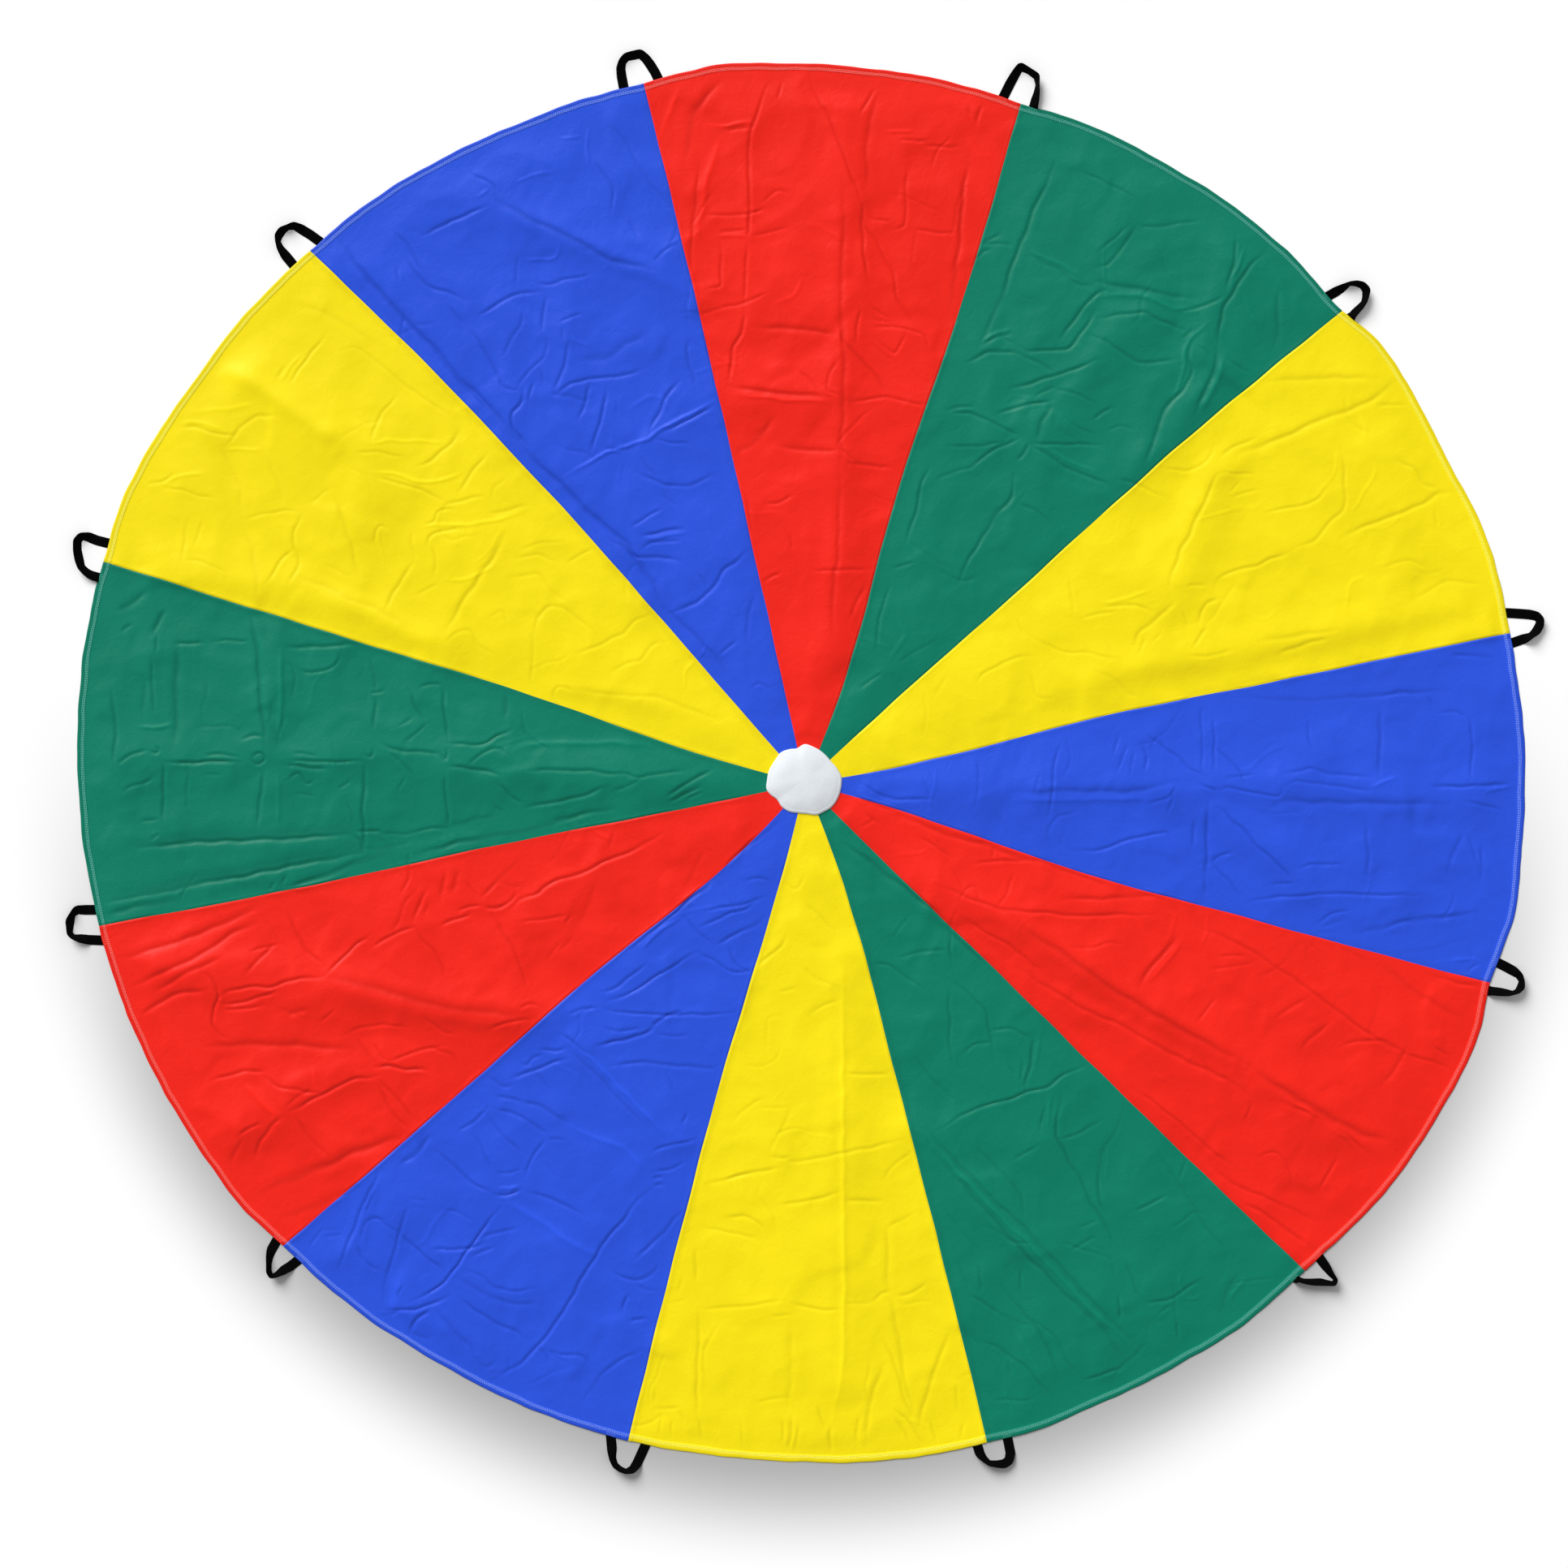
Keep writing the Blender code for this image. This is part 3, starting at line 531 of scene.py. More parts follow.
    (0.8, 0.8, ((1497, 720), (1503, 713), (1520, 703), (1550, 697), (1590, 680))),
    (0.8, 0.9, ((1477, 770), (1480, 757), (1487, 743), (1503, 737))),
    (0.7, 0.8, ((1470, 797), (1477, 787), (1487, 773))),
    (0.5, 0.8, ((1457, 753), (1463, 773))),
    (0.7, 0.8, ((1360, 748), (1373, 747), (1397, 745), (1420, 753))),
    (-0.5, 0.9, ((1357, 743), (1380, 740), (1403, 733), (1417, 727))),
    (0.5, 0.8, ((1330, 762), (1353, 758), (1377, 753))),
    (0.7, 1.1, ((1447, 743), (1423, 763), (1403, 780), (1397, 797))),
    (0.4, 0.7, ((1420, 790), (1430, 780))),
    (0.5, 0.7, ((1403, 807), (1410, 787))),
    (0.5, 0.8, ((1267, 782), (1287, 793), (1303, 803), (1330, 803), (1380, 813))),
    (0.6, 0.8, ((1203, 843), (1210, 830), (1233, 820), (1253, 810), (1270, 808))),
    (0.4, 0.8, ((1270, 827), (1277, 860), (1300, 860))),
    (0.4, 0.7, ((1253, 763), (1260, 780))),
    (0.4, 0.8, ((1317, 713), (1322, 747), (1325, 763))),
    (0.3, 1.0, ((1150, 857), (1167, 833))),
    (0.5, 0.9, ((1463, 808), (1487, 808), (1520, 800))),
    (0.4, 1.0, ((1740, 740), (1780, 715), (1830, 720))),
    (0.4, 0.9, ((1700, 700), (1735, 690), (1760, 700))),
    (0.8, 1.1, ((1574, 806), (1602, 795), (1640, 785))),
    (0.6, 1.4, ((1550, 790), (1600, 783), (1650, 776))),
    # Blue gore at the right
    (0.9, 1.1, ((1526, 856), (1570, 863), (1650, 860), (1730, 854), (1782, 852))),
    (0.6, 0.8, ((1480, 866), (1481, 950))),
    (0.7, 0.8, ((1495, 882), (1496, 950))),
    (0.6, 0.8, ((1610, 882), (1612, 906), (1622, 926))),
    (0.8, 1.2, ((1700, 870), (1699, 958))),
    (0.7, 0.8, ((1812, 882), (1813, 930), (1810, 962))),
    (0.8, 0.8, ((1498, 924), (1530, 950), (1534, 966))),
    (0.7, 0.8, ((1410, 906), (1450, 930), (1466, 948), (1486, 956))),
    (0.5, 0.8, ((1378, 906), (1372, 930))),
    (0.5, 0.8, ((1390, 918), (1376, 950))),
    (0.4, 0.8, ((1398, 926), (1392, 958))),
    (0.7, 0.8, ((1406, 918), (1414, 930), (1410, 950))),
    (0.7, 1.5, ((1247, 976), (1290, 976), (1350, 976), (1410, 974), (1450, 962))),
    (-0.5, 1.3, ((1247, 986), (1290, 986), (1430, 984))),
    (0.5, 0.8, ((1414, 990), (1442, 982), (1450, 966))),
    (0.5, 0.8, ((1438, 1002), (1446, 978))),
    (0.8, 0.8, ((1478, 966), (1498, 974))),
    (0.7, 0.8, ((1502, 974), (1514, 970), (1550, 978), (1578, 982), (1578, 970))),
    (0.8, 1.7, ((1566, 994), (1578, 986), (1610, 988), (1690, 990), (1786, 990))),
    (0.6, 0.9, ((1582, 970), (1594, 962), (1630, 966), (1690, 974))),
    (0.6, 0.9, ((1578, 954), (1618, 946), (1638, 954), (1690, 958))),
    (0.5, 0.8, ((1510, 958), (1546, 954))),
    (-0.5, 0.9, ((1690, 970), (1706, 962), (1722, 958))),
    (0.9, 0.9, ((1762, 968), (1806, 970), (1858, 966))),
    (-0.5, 0.9, ((1826, 978), (1862, 968))),
    (0.6, 0.8, ((1806, 988), (1850, 998))),
    (1.0, 1.1, ((1489, 990), (1487, 1046), (1485, 1082))),
    (0.5, 0.8, ((1485, 1082), (1485, 1102))),
    (0.7, 1.0, ((1472, 1010), (1468, 1046))),
    (1.0, 0.9, ((1498, 994), (1530, 1022), (1570, 1062), (1598, 1088))),
    (0.8, 0.8, ((1496, 1066), (1514, 1086), (1530, 1106))),
    (0.6, 0.8, ((1492, 1062), (1502, 1054), (1518, 1050))),
    (0.5, 0.8, ((1566, 1090), (1594, 1088))),
    (0.6, 0.8, ((1598, 1070), (1622, 1064), (1658, 1064))),
    (0.7, 1.0, ((1682, 1014), (1686, 1050), (1684, 1082))),
    (0.8, 0.8, ((1306, 1038), (1322, 1048), (1350, 1048), (1394, 1034), (1440, 1024), (1444, 1042))),
    (0.8, 0.8, ((1534, 1114), (1550, 1108), (1598, 1104), (1642, 1100), (1690, 1102), (1750, 1103))),
    (0.6, 0.8, ((1622, 1138), (1638, 1126), (1662, 1122))),
    (0.4, 0.7, ((1630, 1142), (1654, 1134))),
    (1.0, 1.1, ((1650, 1152), (1690, 1146), (1730, 1136), (1790, 1128), (1822, 1124))),
    (0.6, 1.1, ((1710, 1174), (1750, 1170), (1790, 1160), (1814, 1158))),
    (-0.6, 0.9, ((1758, 1186), (1794, 1182), (1826, 1182))),
    (0.8, 0.8, ((1806, 1198), (1822, 1188))),
    (0.5, 1.3, ((1782, 1074), (1802, 1026))),
    (0.5, 0.9, ((1806, 1026), (1814, 1050), (1826, 1074), (1822, 1090))),
    (0.6, 0.8, ((1824, 1042), (1828, 1074))),
    (0.5, 0.7, ((1758, 858), (1766, 870))),
    (0.5, 0.8, ((1774, 878), (1798, 878), (1806, 886))),
    (0.6, 0.9, ((1786, 806), (1846, 810))),
    (0.8, 0.9, ((1060, 965), (1080, 978), (1100, 985), (1150, 985))),
    (0.7, 0.9, ((1046, 974), (1060, 982), (1080, 993), (1107, 1000))),
    (-0.5, 0.9, ((1050, 977), (1080, 988), (1103, 995))),
    (0.4, 0.8, ((1137, 957), (1147, 987))),
    (0.4, 0.9, ((1203, 933), (1207, 957), (1200, 997))),
    (0.7, 0.8, ((1307, 917), (1298, 943), (1297, 977), (1292, 1007))),
    (0.4, 0.8, ((1280, 953), (1275, 980))),
    (0.3, 0.9, ((1227, 1003), (1247, 1033))),
    # Red gore at the right
    (0.9, 1.1, ((1107, 1005), (1167, 1029), (1227, 1043), (1247, 1055), (1287, 1063), (1323, 1076),
     (1360, 1090))),
    (0.6, 0.8, ((1200, 1063), (1240, 1062), (1267, 1060))),
    (0.6, 0.8, ((1223, 1045), (1223, 1057))),
    (0.6, 0.8, ((1133, 1030), (1153, 1043), (1173, 1057))),
    (0.4, 0.7, ((1150, 1033), (1170, 1052))),
    (0.6, 0.8, ((1067, 1003), (1083, 1015))),
    (0.4, 0.7, ((1062, 1019), (1077, 1010))),
    (0.3, 0.8, ((1173, 1070), (1187, 1097))),
    (0.4, 0.8, ((1250, 1077), (1240, 1103), (1227, 1117))),
    (0.8, 0.9, ((1153, 1090), (1187, 1103), (1227, 1120), (1273, 1123), (1327, 1128), (1423, 1127))),
    (1.1, 1.8, ((1247, 1130), (1273, 1153), (1307, 1173), (1340, 1197), (1373, 1220), (1407, 1240),
     (1440, 1260), (1473, 1277), (1507, 1297), (1540, 1313))),
    (1.1, 1.8, ((1540, 1313), (1570, 1336), (1610, 1360), (1650, 1384), (1690, 1400), (1720, 1408))),
    (0.7, 1.0, ((1578, 1356), (1622, 1376), (1662, 1400), (1690, 1424))),
    (-0.5, 1.0, ((1590, 1354), (1640, 1388), (1685, 1412))),
    (0.7, 0.9, ((1190, 1133), (1213, 1147), (1247, 1167), (1273, 1190), (1287, 1193))),
    (0.8, 1.1, ((1253, 1193), (1280, 1210), (1317, 1233), (1350, 1250), (1380, 1263), (1407, 1277),
     (1440, 1297), (1473, 1313), (1507, 1327), (1540, 1350))),
    (0.8, 1.2, ((1310, 1107), (1360, 1108), (1407, 1102), (1440, 1107))),
    (0.4, 0.8, ((1313, 1167), (1350, 1167), (1367, 1160), (1383, 1163))),
    (0.9, 1.2, ((1450, 1154), (1434, 1174), (1410, 1202), (1404, 1214))),
    (-0.5, 1.0, ((1456, 1160), (1440, 1182), (1416, 1208))),
    (0.8, 0.9, ((1474, 1142), (1498, 1150), (1526, 1162), (1546, 1174), (1578, 1194), (1610, 1218),
     (1638, 1238), (1666, 1258), (1698, 1282), (1730, 1298))),
    (0.6, 0.9, ((1730, 1298), (1786, 1316))),
    (0.5, 0.8, ((1502, 1178), (1534, 1178))),
    (0.4, 0.8, ((1490, 1194), (1546, 1186))),
    (0.5, 0.8, ((1474, 1258), (1486, 1242), (1498, 1230))),
    (0.5, 1.2, ((1570, 1254), (1594, 1238), (1610, 1230))),
    (0.6, 1.3, ((1602, 1294), (1622, 1274), (1638, 1258))),
    (0.6, 0.9, ((1650, 1290), (1674, 1282), (1706, 1282), (1730, 1298))),
    (0.5, 1.2, ((1702, 1338), (1722, 1314), (1734, 1290))),
    (0.6, 1.7, ((1698, 1182), (1730, 1210), (1770, 1238), (1802, 1258))),
    (0.5, 0.8, ((1602, 1156), (1634, 1176))),
    (0.8, 0.9, ((1650, 1166), (1686, 1182))),
    (0.9, 0.9, ((1754, 1196), (1798, 1212), (1826, 1216))),
    (0.6, 0.8, ((1766, 1290), (1786, 1302))),
    (0.6, 0.8, ((1646, 1428), (1626, 1464))),
    (0.7, 0.8, ((1394, 1340), (1450, 1380), (1490, 1416), (1526, 1444))),
    (0.7, 0.9, ((1490, 1436), (1530, 1464), (1570, 1480), (1622, 1504))),
    (0.9, 0.9, ((1530, 1480), (1570, 1504), (1614, 1536))),
    (0.5, 0.7, ((1542, 1360), (1534, 1380))),
    (0.5, 0.8, ((1650, 1400), (1670, 1420))),
    # Green gore at the lower right
    (1.2, 1.2, ((1040, 1040), (1060, 1053), (1083, 1070), (1113, 1093), (1140, 1113), (1170, 1137))),
    (0.9, 1.2, ((1173, 1150), (1190, 1167), (1213, 1187))),
    (0.5, 0.8, ((1107, 1180), (1133, 1173), (1167, 1170))),
    (0.6, 0.8, ((1073, 1187), (1100, 1190), (1110, 1200), (1140, 1220))),
    (0.6, 0.8, ((1170, 1160), (1173, 1183))),
    (0.7, 0.8, ((1173, 1210), (1197, 1227), (1217, 1247), (1223, 1283), (1225, 1300))),
    (0.6, 0.8, ((1170, 1220), (1170, 1267), (1173, 1313))),
    (0.5, 0.8, ((1187, 1297), (1200, 1287), (1223, 1283))),
    (0.6, 0.8, ((1220, 1270), (1247, 1267), (1270, 1280))),
    (0.8, 0.9, ((1273, 1277), (1270, 1310), (1263, 1343))),
    (-0.5, 0.8, ((1280, 1278), (1277, 1310))),
    (0.6, 0.8, ((1260, 1307), (1258, 1333))),
    (0.5, 0.7, ((1243, 1313), (1250, 1323))),
    (0.6, 0.8, ((1127, 1300), (1143, 1323), (1160, 1340), (1180, 1360))),
    (0.9, 0.8, ((1160, 1390), (1187, 1373), (1213, 1363), (1253, 1350), (1293, 1337), (1313, 1323),
     (1340, 1310))),
    (0.6, 0.8, ((1286, 1364), (1282, 1392))),
    (-0.5, 0.8, ((1294, 1352), (1290, 1390))),
    (1.0, 0.9, ((1308, 1348), (1302, 1380), (1302, 1404), (1312, 1420), (1330, 1452), (1350, 1492),
     (1366, 1516), (1378, 1540))),
    (0.8, 0.9, ((1384, 1356), (1382, 1376), (1370, 1400), (1358, 1420), (1354, 1456), (1358, 1488),
     (1370, 1508))),
    (-0.5, 0.8, ((1366, 1416), (1362, 1456))),
    (0.6, 0.8, ((1306, 1404), (1330, 1396), (1362, 1376))),
    (0.5, 0.8, ((1250, 1428), (1278, 1412))),
    (0.6, 0.8, ((1202, 1412), (1230, 1440), (1262, 1476), (1262, 1496))),
    (0.9, 1.0, ((1130, 1388), (1150, 1400), (1190, 1444), (1234, 1488), (1270, 1520), (1314, 1568),
     (1350, 1608), (1386, 1644), (1406, 1660))),
    (-0.8, 1.0, ((1150, 1410), (1190, 1454), (1234, 1498), (1290, 1556), (1350, 1618), (1390, 1654))),
    (0.9, 1.2, ((1150, 1420), (1190, 1464), (1230, 1508), (1270, 1552), (1314, 1596), (1362, 1640),
     (1394, 1688))),
    (0.6, 0.8, ((1426, 1416), (1450, 1456), (1466, 1480), (1490, 1516), (1514, 1548))),
    (0.7, 0.8, ((1398, 1492), (1422, 1480), (1438, 1472))),
    (0.7, 0.8, ((1462, 1428), (1454, 1452))),
    (0.5, 0.8, ((1318, 1540), (1350, 1524))),
    (0.4, 0.8, ((1330, 1512), (1350, 1504))),
    (0.6, 0.8, ((1386, 1552), (1398, 1584), (1410, 1604))),
    (0.7, 0.8, ((1410, 1606), (1438, 1602), (1458, 1590), (1482, 1576))),
    (0.5, 0.7, ((1426, 1620), (1442, 1608))),
    (0.8, 0.8, ((1378, 1596), (1380, 1624))),
    (0.8, 1.3, ((1526, 1568), (1510, 1592), (1502, 1620))),
    (-0.6, 1.0, ((1534, 1576), (1514, 1600))),
    (0.7, 0.8, ((1450, 1628), (1452, 1648))),
    (0.8, 0.8, ((1190, 1592), (1210, 1604), (1242, 1624), (1266, 1632))),
    (0.8, 0.9, ((1234, 1584), (1254, 1608), (1278, 1636), (1294, 1664), (1306, 1696))),
    (0.6, 0.8, ((1258, 1564), (1258, 1592))),
    (0.6, 0.8, ((1266, 1620), (1298, 1644), (1314, 1676), (1330, 1696))),
    (0.7, 0.8, ((1202, 1652), (1230, 1660), (1262, 1684), (1286, 1712), (1298, 1724))),
    (-0.5, 0.9, ((1250, 1636), (1270, 1672), (1286, 1696))),
    (0.8, 0.8, ((1334, 1700), (1358, 1692), (1382, 1686))),
    (0.5, 0.8, ((1242, 1676), (1246, 1696))),
    (0.4, 0.8, ((1222, 1724), (1254, 1726), (1274, 1722))),
    (0.6, 0.8, ((1206, 1560), (1210, 1588))),
    (0.4, 0.8, ((1182, 1556), (1194, 1584))),
    # Yellow gore at the bottom
    (0.4, 0.8, ((972, 1090), (978, 1098), (986, 1090), (990, 1080))),
    (0.5, 0.9, ((993, 1112), (1012, 1132), (1030, 1148))),
    (0.7, 0.9, ((934, 1189), (948, 1178), (962, 1166), (968, 1153))),
    (0.4, 0.8, ((958, 1222), (982, 1218))),
    (0.5, 0.9, ((998, 1250), (1017, 1238), (1035, 1232))),
    (0.3, 0.9, ((944, 1300), (945, 1253), (962, 1251))),
    (0.4, 1.2, ((985, 1190), (1005, 1205), (1033, 1218))),
    (-0.9, 1.4, ((1038, 1195), (1038, 1300), (1038, 1400), (1039, 1500), (1040, 1600), (1039, 1660),
     (1036, 1700), (1030, 1725), (1023, 1758))),
    (0.7, 0.9, ((1042, 1322), (1058, 1325), (1094, 1323))),
    (0.5, 0.9, ((868, 1459), (900, 1451), (930, 1444))),
    (0.8, 0.9, ((892, 1454), (930, 1444), (962, 1438))),
    (0.7, 0.9, ((962, 1424), (976, 1431), (996, 1430), (1035, 1421), (1073, 1414), (1111, 1404))),
    (0.5, 0.8, ((950, 1425), (965, 1428), (974, 1424))),
    (0.7, 0.9, ((958, 1484), (983, 1482), (1010, 1477), (1035, 1468))),
    (0.7, 1.0, ((1040, 1478), (1090, 1480))),
    (0.8, 0.9, ((893, 1498), (908, 1499), (920, 1497), (932, 1506), (945, 1517))),
    (0.7, 0.9, ((864, 1510), (887, 1516), (912, 1521), (934, 1527))),
    (0.3, 0.8, ((936, 1365), (972, 1363))),
    (0.6, 0.9, ((864, 1613), (898, 1610), (935, 1607), (952, 1603), (966, 1602))),
    (0.7, 0.9, ((975, 1606), (995, 1611), (1015, 1613), (1036, 1613))),
    (0.4, 0.8, ((950, 1621), (975, 1619))),
    (0.9, 1.0, ((861, 1616), (861, 1660), (858, 1700), (860, 1745))),
    (0.8, 1.0, ((857, 1540), (857, 1578))),
    (0.4, 0.8, ((820, 1604), (845, 1602))),
    (0.5, 1.8, ((974, 1630), (974, 1745))),
    (0.4, 0.9, ((930, 1728), (955, 1724), (974, 1722))),
    (0.8, 1.4, ((1093, 1510), (1092, 1550), (1094, 1592))),
    (0.8, 1.4, ((1096, 1592), (1103, 1625), (1110, 1660), (1114, 1700), (1128, 1745))),
    (0.9, 0.9, ((1089, 1650), (1100, 1674), (1110, 1706), (1118, 1731), (1128, 1750))),
    (0.6, 0.9, ((1094, 1512), (1114, 1501), (1126, 1494))),
    (0.6, 0.9, ((1076, 1604), (1084, 1594), (1096, 1592))),
    (0.6, 0.9, ((1103, 1596), (1128, 1593), (1143, 1580))),
    (0.3, 0.8, ((1040, 1606), (1075, 1604))),
    (0.3, 0.8, ((1108, 1606), (1150, 1603))),
    (0.7, 1.3, ((1090, 1680), (1080, 1702), (1070, 1735), (1067, 1780))),
    (0.8, 1.2, ((1171, 1638), (1157, 1674), (1146, 1706), (1136, 1738), (1132, 1764))),
    (1.0, 0.8, ((1103, 1736), (1118, 1750), (1130, 1765), (1140, 1782))),
    (0.8, 0.8, ((1102, 1748), (1114, 1764), (1122, 1780))),
    (0.6, 0.8, ((1178, 1705), (1181, 1738))),
    (0.7, 0.8, ((1147, 1750), (1150, 1765), (1154, 1778))),
    (0.7, 0.8, ((1187, 1753), (1184, 1774))),
    (0.6, 1.0, ((1058, 1745), (1055, 1778))),
    (0.7, 0.9, ((1008, 1733), (1012, 1750), (1018, 1760))),
    (1.0, 1.0, ((1023, 1758), (1024, 1790))),
    (0.8, 1.0, ((976, 1745), (972, 1790))),
    (0.6, 0.9, ((984, 1755), (979, 1792))),
    (0.6, 0.8, ((964, 1750), (965, 1778))),
    (0.5, 1.0, ((912, 1752), (916, 1782))),
    (0.6, 0.9, ((808, 1735), (822, 1736), (837, 1734))),
    (0.5, 0.8, ((838, 1738), (843, 1750))),
    (0.5, 0.8, ((815, 1745), (812, 1768))),
    (0.5, 0.8, ((829, 1750), (828, 1772))),
    (0.6, 1.0, ((861, 1750), (866, 1774))),
    (0.5, 0.8, ((807, 1712), (807, 1728))),
    (0.4, 0.9, ((842, 1572), (836, 1592))),
    # Blue gore at the lower left
    (0.8, 0.8, ((912, 1055), (925, 1042), (940, 1030))),
    (0.9, 0.8, ((964, 1012), (936, 1029), (915, 1047), (881, 1081), (847, 1112), (795, 1154), (764, 1178))),
    (0.6, 0.8, ((918, 1085), (934, 1082), (948, 1085))),
    (0.8, 0.8, ((868, 1121), (896, 1118), (920, 1112), (944, 1105))),
    (0.8, 0.8, ((861, 1142), (886, 1132), (917, 1120), (934, 1111))),
    (1.0, 0.9, ((884, 1164), (903, 1152), (927, 1142), (945, 1128))),
    (0.7, 0.9, ((842, 1128), (861, 1150), (878, 1164))),
    (0.8, 0.8, ((899, 1168), (906, 1188), (918, 1196), (928, 1197))),
    (0.8, 0.8, ((860, 1173), (880, 1182), (890, 1193), (905, 1198), (928, 1198))),
    (0.9, 0.8, ((747, 1234), (775, 1225), (799, 1210), (830, 1190), (858, 1173))),
    (0.8, 0.8, ((740, 1222), (764, 1215), (775, 1203), (797, 1187))),
    (-0.7, 0.8, ((788, 1170), (799, 1161), (815, 1145), (840, 1130))),
    (0.8, 0.8, ((837, 1118), (848, 1111), (865, 1098), (879, 1087))),
    (0.8, 0.9, ((800, 1265), (812, 1256), (824, 1250), (843, 1245))),
    (0.8, 0.8, ((740, 1241), (761, 1247), (792, 1249), (827, 1251), (861, 1250), (896, 1249), (908, 1247))),
    (1.1, 0.9, ((733, 1289), (768, 1281), (795, 1274), (809, 1262))),
    (0.6, 0.8, ((742, 1265), (761, 1271), (792, 1268))),
    (0.5, 0.8, ((811, 1274), (830, 1277), (848, 1275))),
    (0.9, 0.9, ((750, 1314), (775, 1309), (802, 1309), (844, 1314), (886, 1316))),
    (0.5, 0.8, ((821, 1322), (825, 1336), (832, 1347))),
    (0.8, 0.8, ((847, 1371), (841, 1384))),
    (1.0, 0.9, ((693, 1274), (711, 1287), (730, 1301))),
    (-0.9, 1.2, ((704, 1282), (716, 1290), (748, 1322), (781, 1357), (802, 1379), (822, 1399))),
    (0.7, 1.0, ((700, 1292), (732, 1320), (760, 1350), (800, 1392))),
    (1.0, 0.9, ((803, 1465), (785, 1480), (763, 1509), (741, 1537), (719, 1572), (697, 1612), (678, 1641),
     (660, 1661), (645, 1678), (623, 1691), (605, 1692))),
    (0.7, 0.8, ((803, 1452), (818, 1450))),
    (0.6, 0.8, ((805, 1461), (818, 1459))),
    (0.8, 0.8, ((803, 1420), (814, 1412), (836, 1409), (858, 1403))),
    (0.6, 0.8, ((807, 1443), (832, 1440), (844, 1432))),
    (0.8, 1.2, ((640, 1357), (667, 1362), (700, 1384))),
    (-0.6, 1.4, ((700, 1386), (733, 1402), (770, 1415), (796, 1440))),
    (0.8, 0.9, ((612, 1350), (626, 1352), (642, 1357))),
    (0.8, 0.9, ((609, 1366), (628, 1371), (648, 1379), (664, 1389), (675, 1398))),
    (0.7, 0.8, ((601, 1374), (620, 1399), (642, 1421), (644, 1428))),
    (0.6, 0.8, ((583, 1399), (594, 1415), (601, 1430), (608, 1443))),
    (0.5, 0.8, ((612, 1444), (631, 1447), (642, 1440))),
    (0.8, 0.8, ((565, 1394), (583, 1385), (590, 1376), (600, 1366))),
    (0.9, 0.9, ((535, 1417), (565, 1443), (587, 1460), (609, 1470))),
    (1.0, 0.8, ((609, 1471), (627, 1473), (642, 1466))),
    (-0.6, 0.8, ((612, 1463), (627, 1466), (640, 1460))),
    (0.8, 1.0, ((650, 1469), (682, 1477), (700, 1486), (719, 1497))),
    (-0.7, 1.6, ((620, 1478), (660, 1500), (697, 1526), (726, 1543), (741, 1546))),
    (1.0, 0.8, ((616, 1489), (594, 1516), (583, 1531), (572, 1546), (557, 1568), (546, 1583), (528, 1595),
     (506, 1603))),
    (0.8, 0.8, ((532, 1539), (557, 1540), (579, 1538), (598, 1531))),
    (0.6, 0.9, ((592, 1526), (616, 1517), (638, 1513))),
    (0.6, 0.8, ((583, 1547), (609, 1536))),
    (0.8, 0.9, ((490, 1517), (513, 1538), (535, 1556), (550, 1568))),
    (0.5, 0.9, ((462, 1499), (478, 1510), (490, 1518))),
    (0.7, 0.9, ((503, 1482), (497, 1505), (488, 1538), (478, 1568), (470, 1600), (465, 1616))),
    (0.4, 0.8, ((508, 1477), (528, 1480))),
    (0.9, 0.9, ((468, 1442), (458, 1465), (447, 1485), (437, 1510), (427, 1538), (418, 1562))),
    (0.5, 0.8, ((461, 1470), (450, 1495))),
    (0.7, 0.8, ((440, 1528), (447, 1550), (458, 1559), (470, 1566))),
    (0.5, 0.8, ((400, 1511), (391, 1522), (381, 1536))),
    (0.4, 0.8, ((400, 1515), (422, 1513))),
    (0.4, 0.8, ((400, 1523), (422, 1521))),
    (1.0, 0.9, ((468, 1611), (488, 1613), (513, 1612), (535, 1604), (554, 1596))),
    (0.9, 0.9, ((468, 1622), (492, 1616))),
    (1.1, 1.0, ((530, 1614), (515, 1624), (506, 1636), (503, 1646))),
    (0.9, 0.9, ((506, 1640), (517, 1648), (530, 1650))),
    (0.7, 1.4, ((540, 1616), (556, 1634), (572, 1652), (584, 1664))),
    (0.9, 1.0, ((568, 1600), (585, 1614), (609, 1627), (634, 1639), (650, 1650))),
    (0.5, 1.2, ((561, 1572), (587, 1587), (609, 1600), (640, 1607), (668, 1608))),
    (0.6, 0.9, ((575, 1564), (594, 1572), (609, 1585), (631, 1590), (660, 1586))),
    (0.6, 0.8, ((498, 1584), (490, 1596))),
    (0.6, 0.8, ((662, 1660), (672, 1668), (678, 1680))),
    (0.7, 0.9, ((672, 1664), (690, 1668), (706, 1668), (720, 1672), (730, 1683))),
    (0.5, 0.8, ((678, 1667), (696, 1677))),
    (0.8, 0.9, ((720, 1725), (727, 1713), (740, 1695), (757, 1681), (772, 1672), (790, 1664))),
    (0.9, 0.9, ((756, 1564), (765, 1572), (778, 1577), (790, 1577), (802, 1568), (812, 1558))),
    (0.7, 0.8, ((782, 1580), (793, 1589), (811, 1589))),
    (0.8, 0.8, ((774, 1596), (770, 1604), (768, 1614))),
    (0.8, 0.9, ((777, 1627), (796, 1625))),
    (0.9, 0.9, ((783, 1552), (804, 1532), (822, 1515), (840, 1494))),
    (1.0, 0.9, ((630, 1328), (655, 1321), (678, 1310), (700, 1305))),
    (0.8, 0.8, ((666, 1293), (682, 1296), (697, 1291))),
    (0.6, 0.8, ((650, 1312), (656, 1302), (668, 1300))),
    (0.4, 0.8, ((640, 1308), (649, 1315), (655, 1310))),
    (0.6, 0.8, ((601, 1326), (620, 1340), (632, 1337))),
    (0.6, 0.8, ((700, 1250), (718, 1243), (738, 1241))),
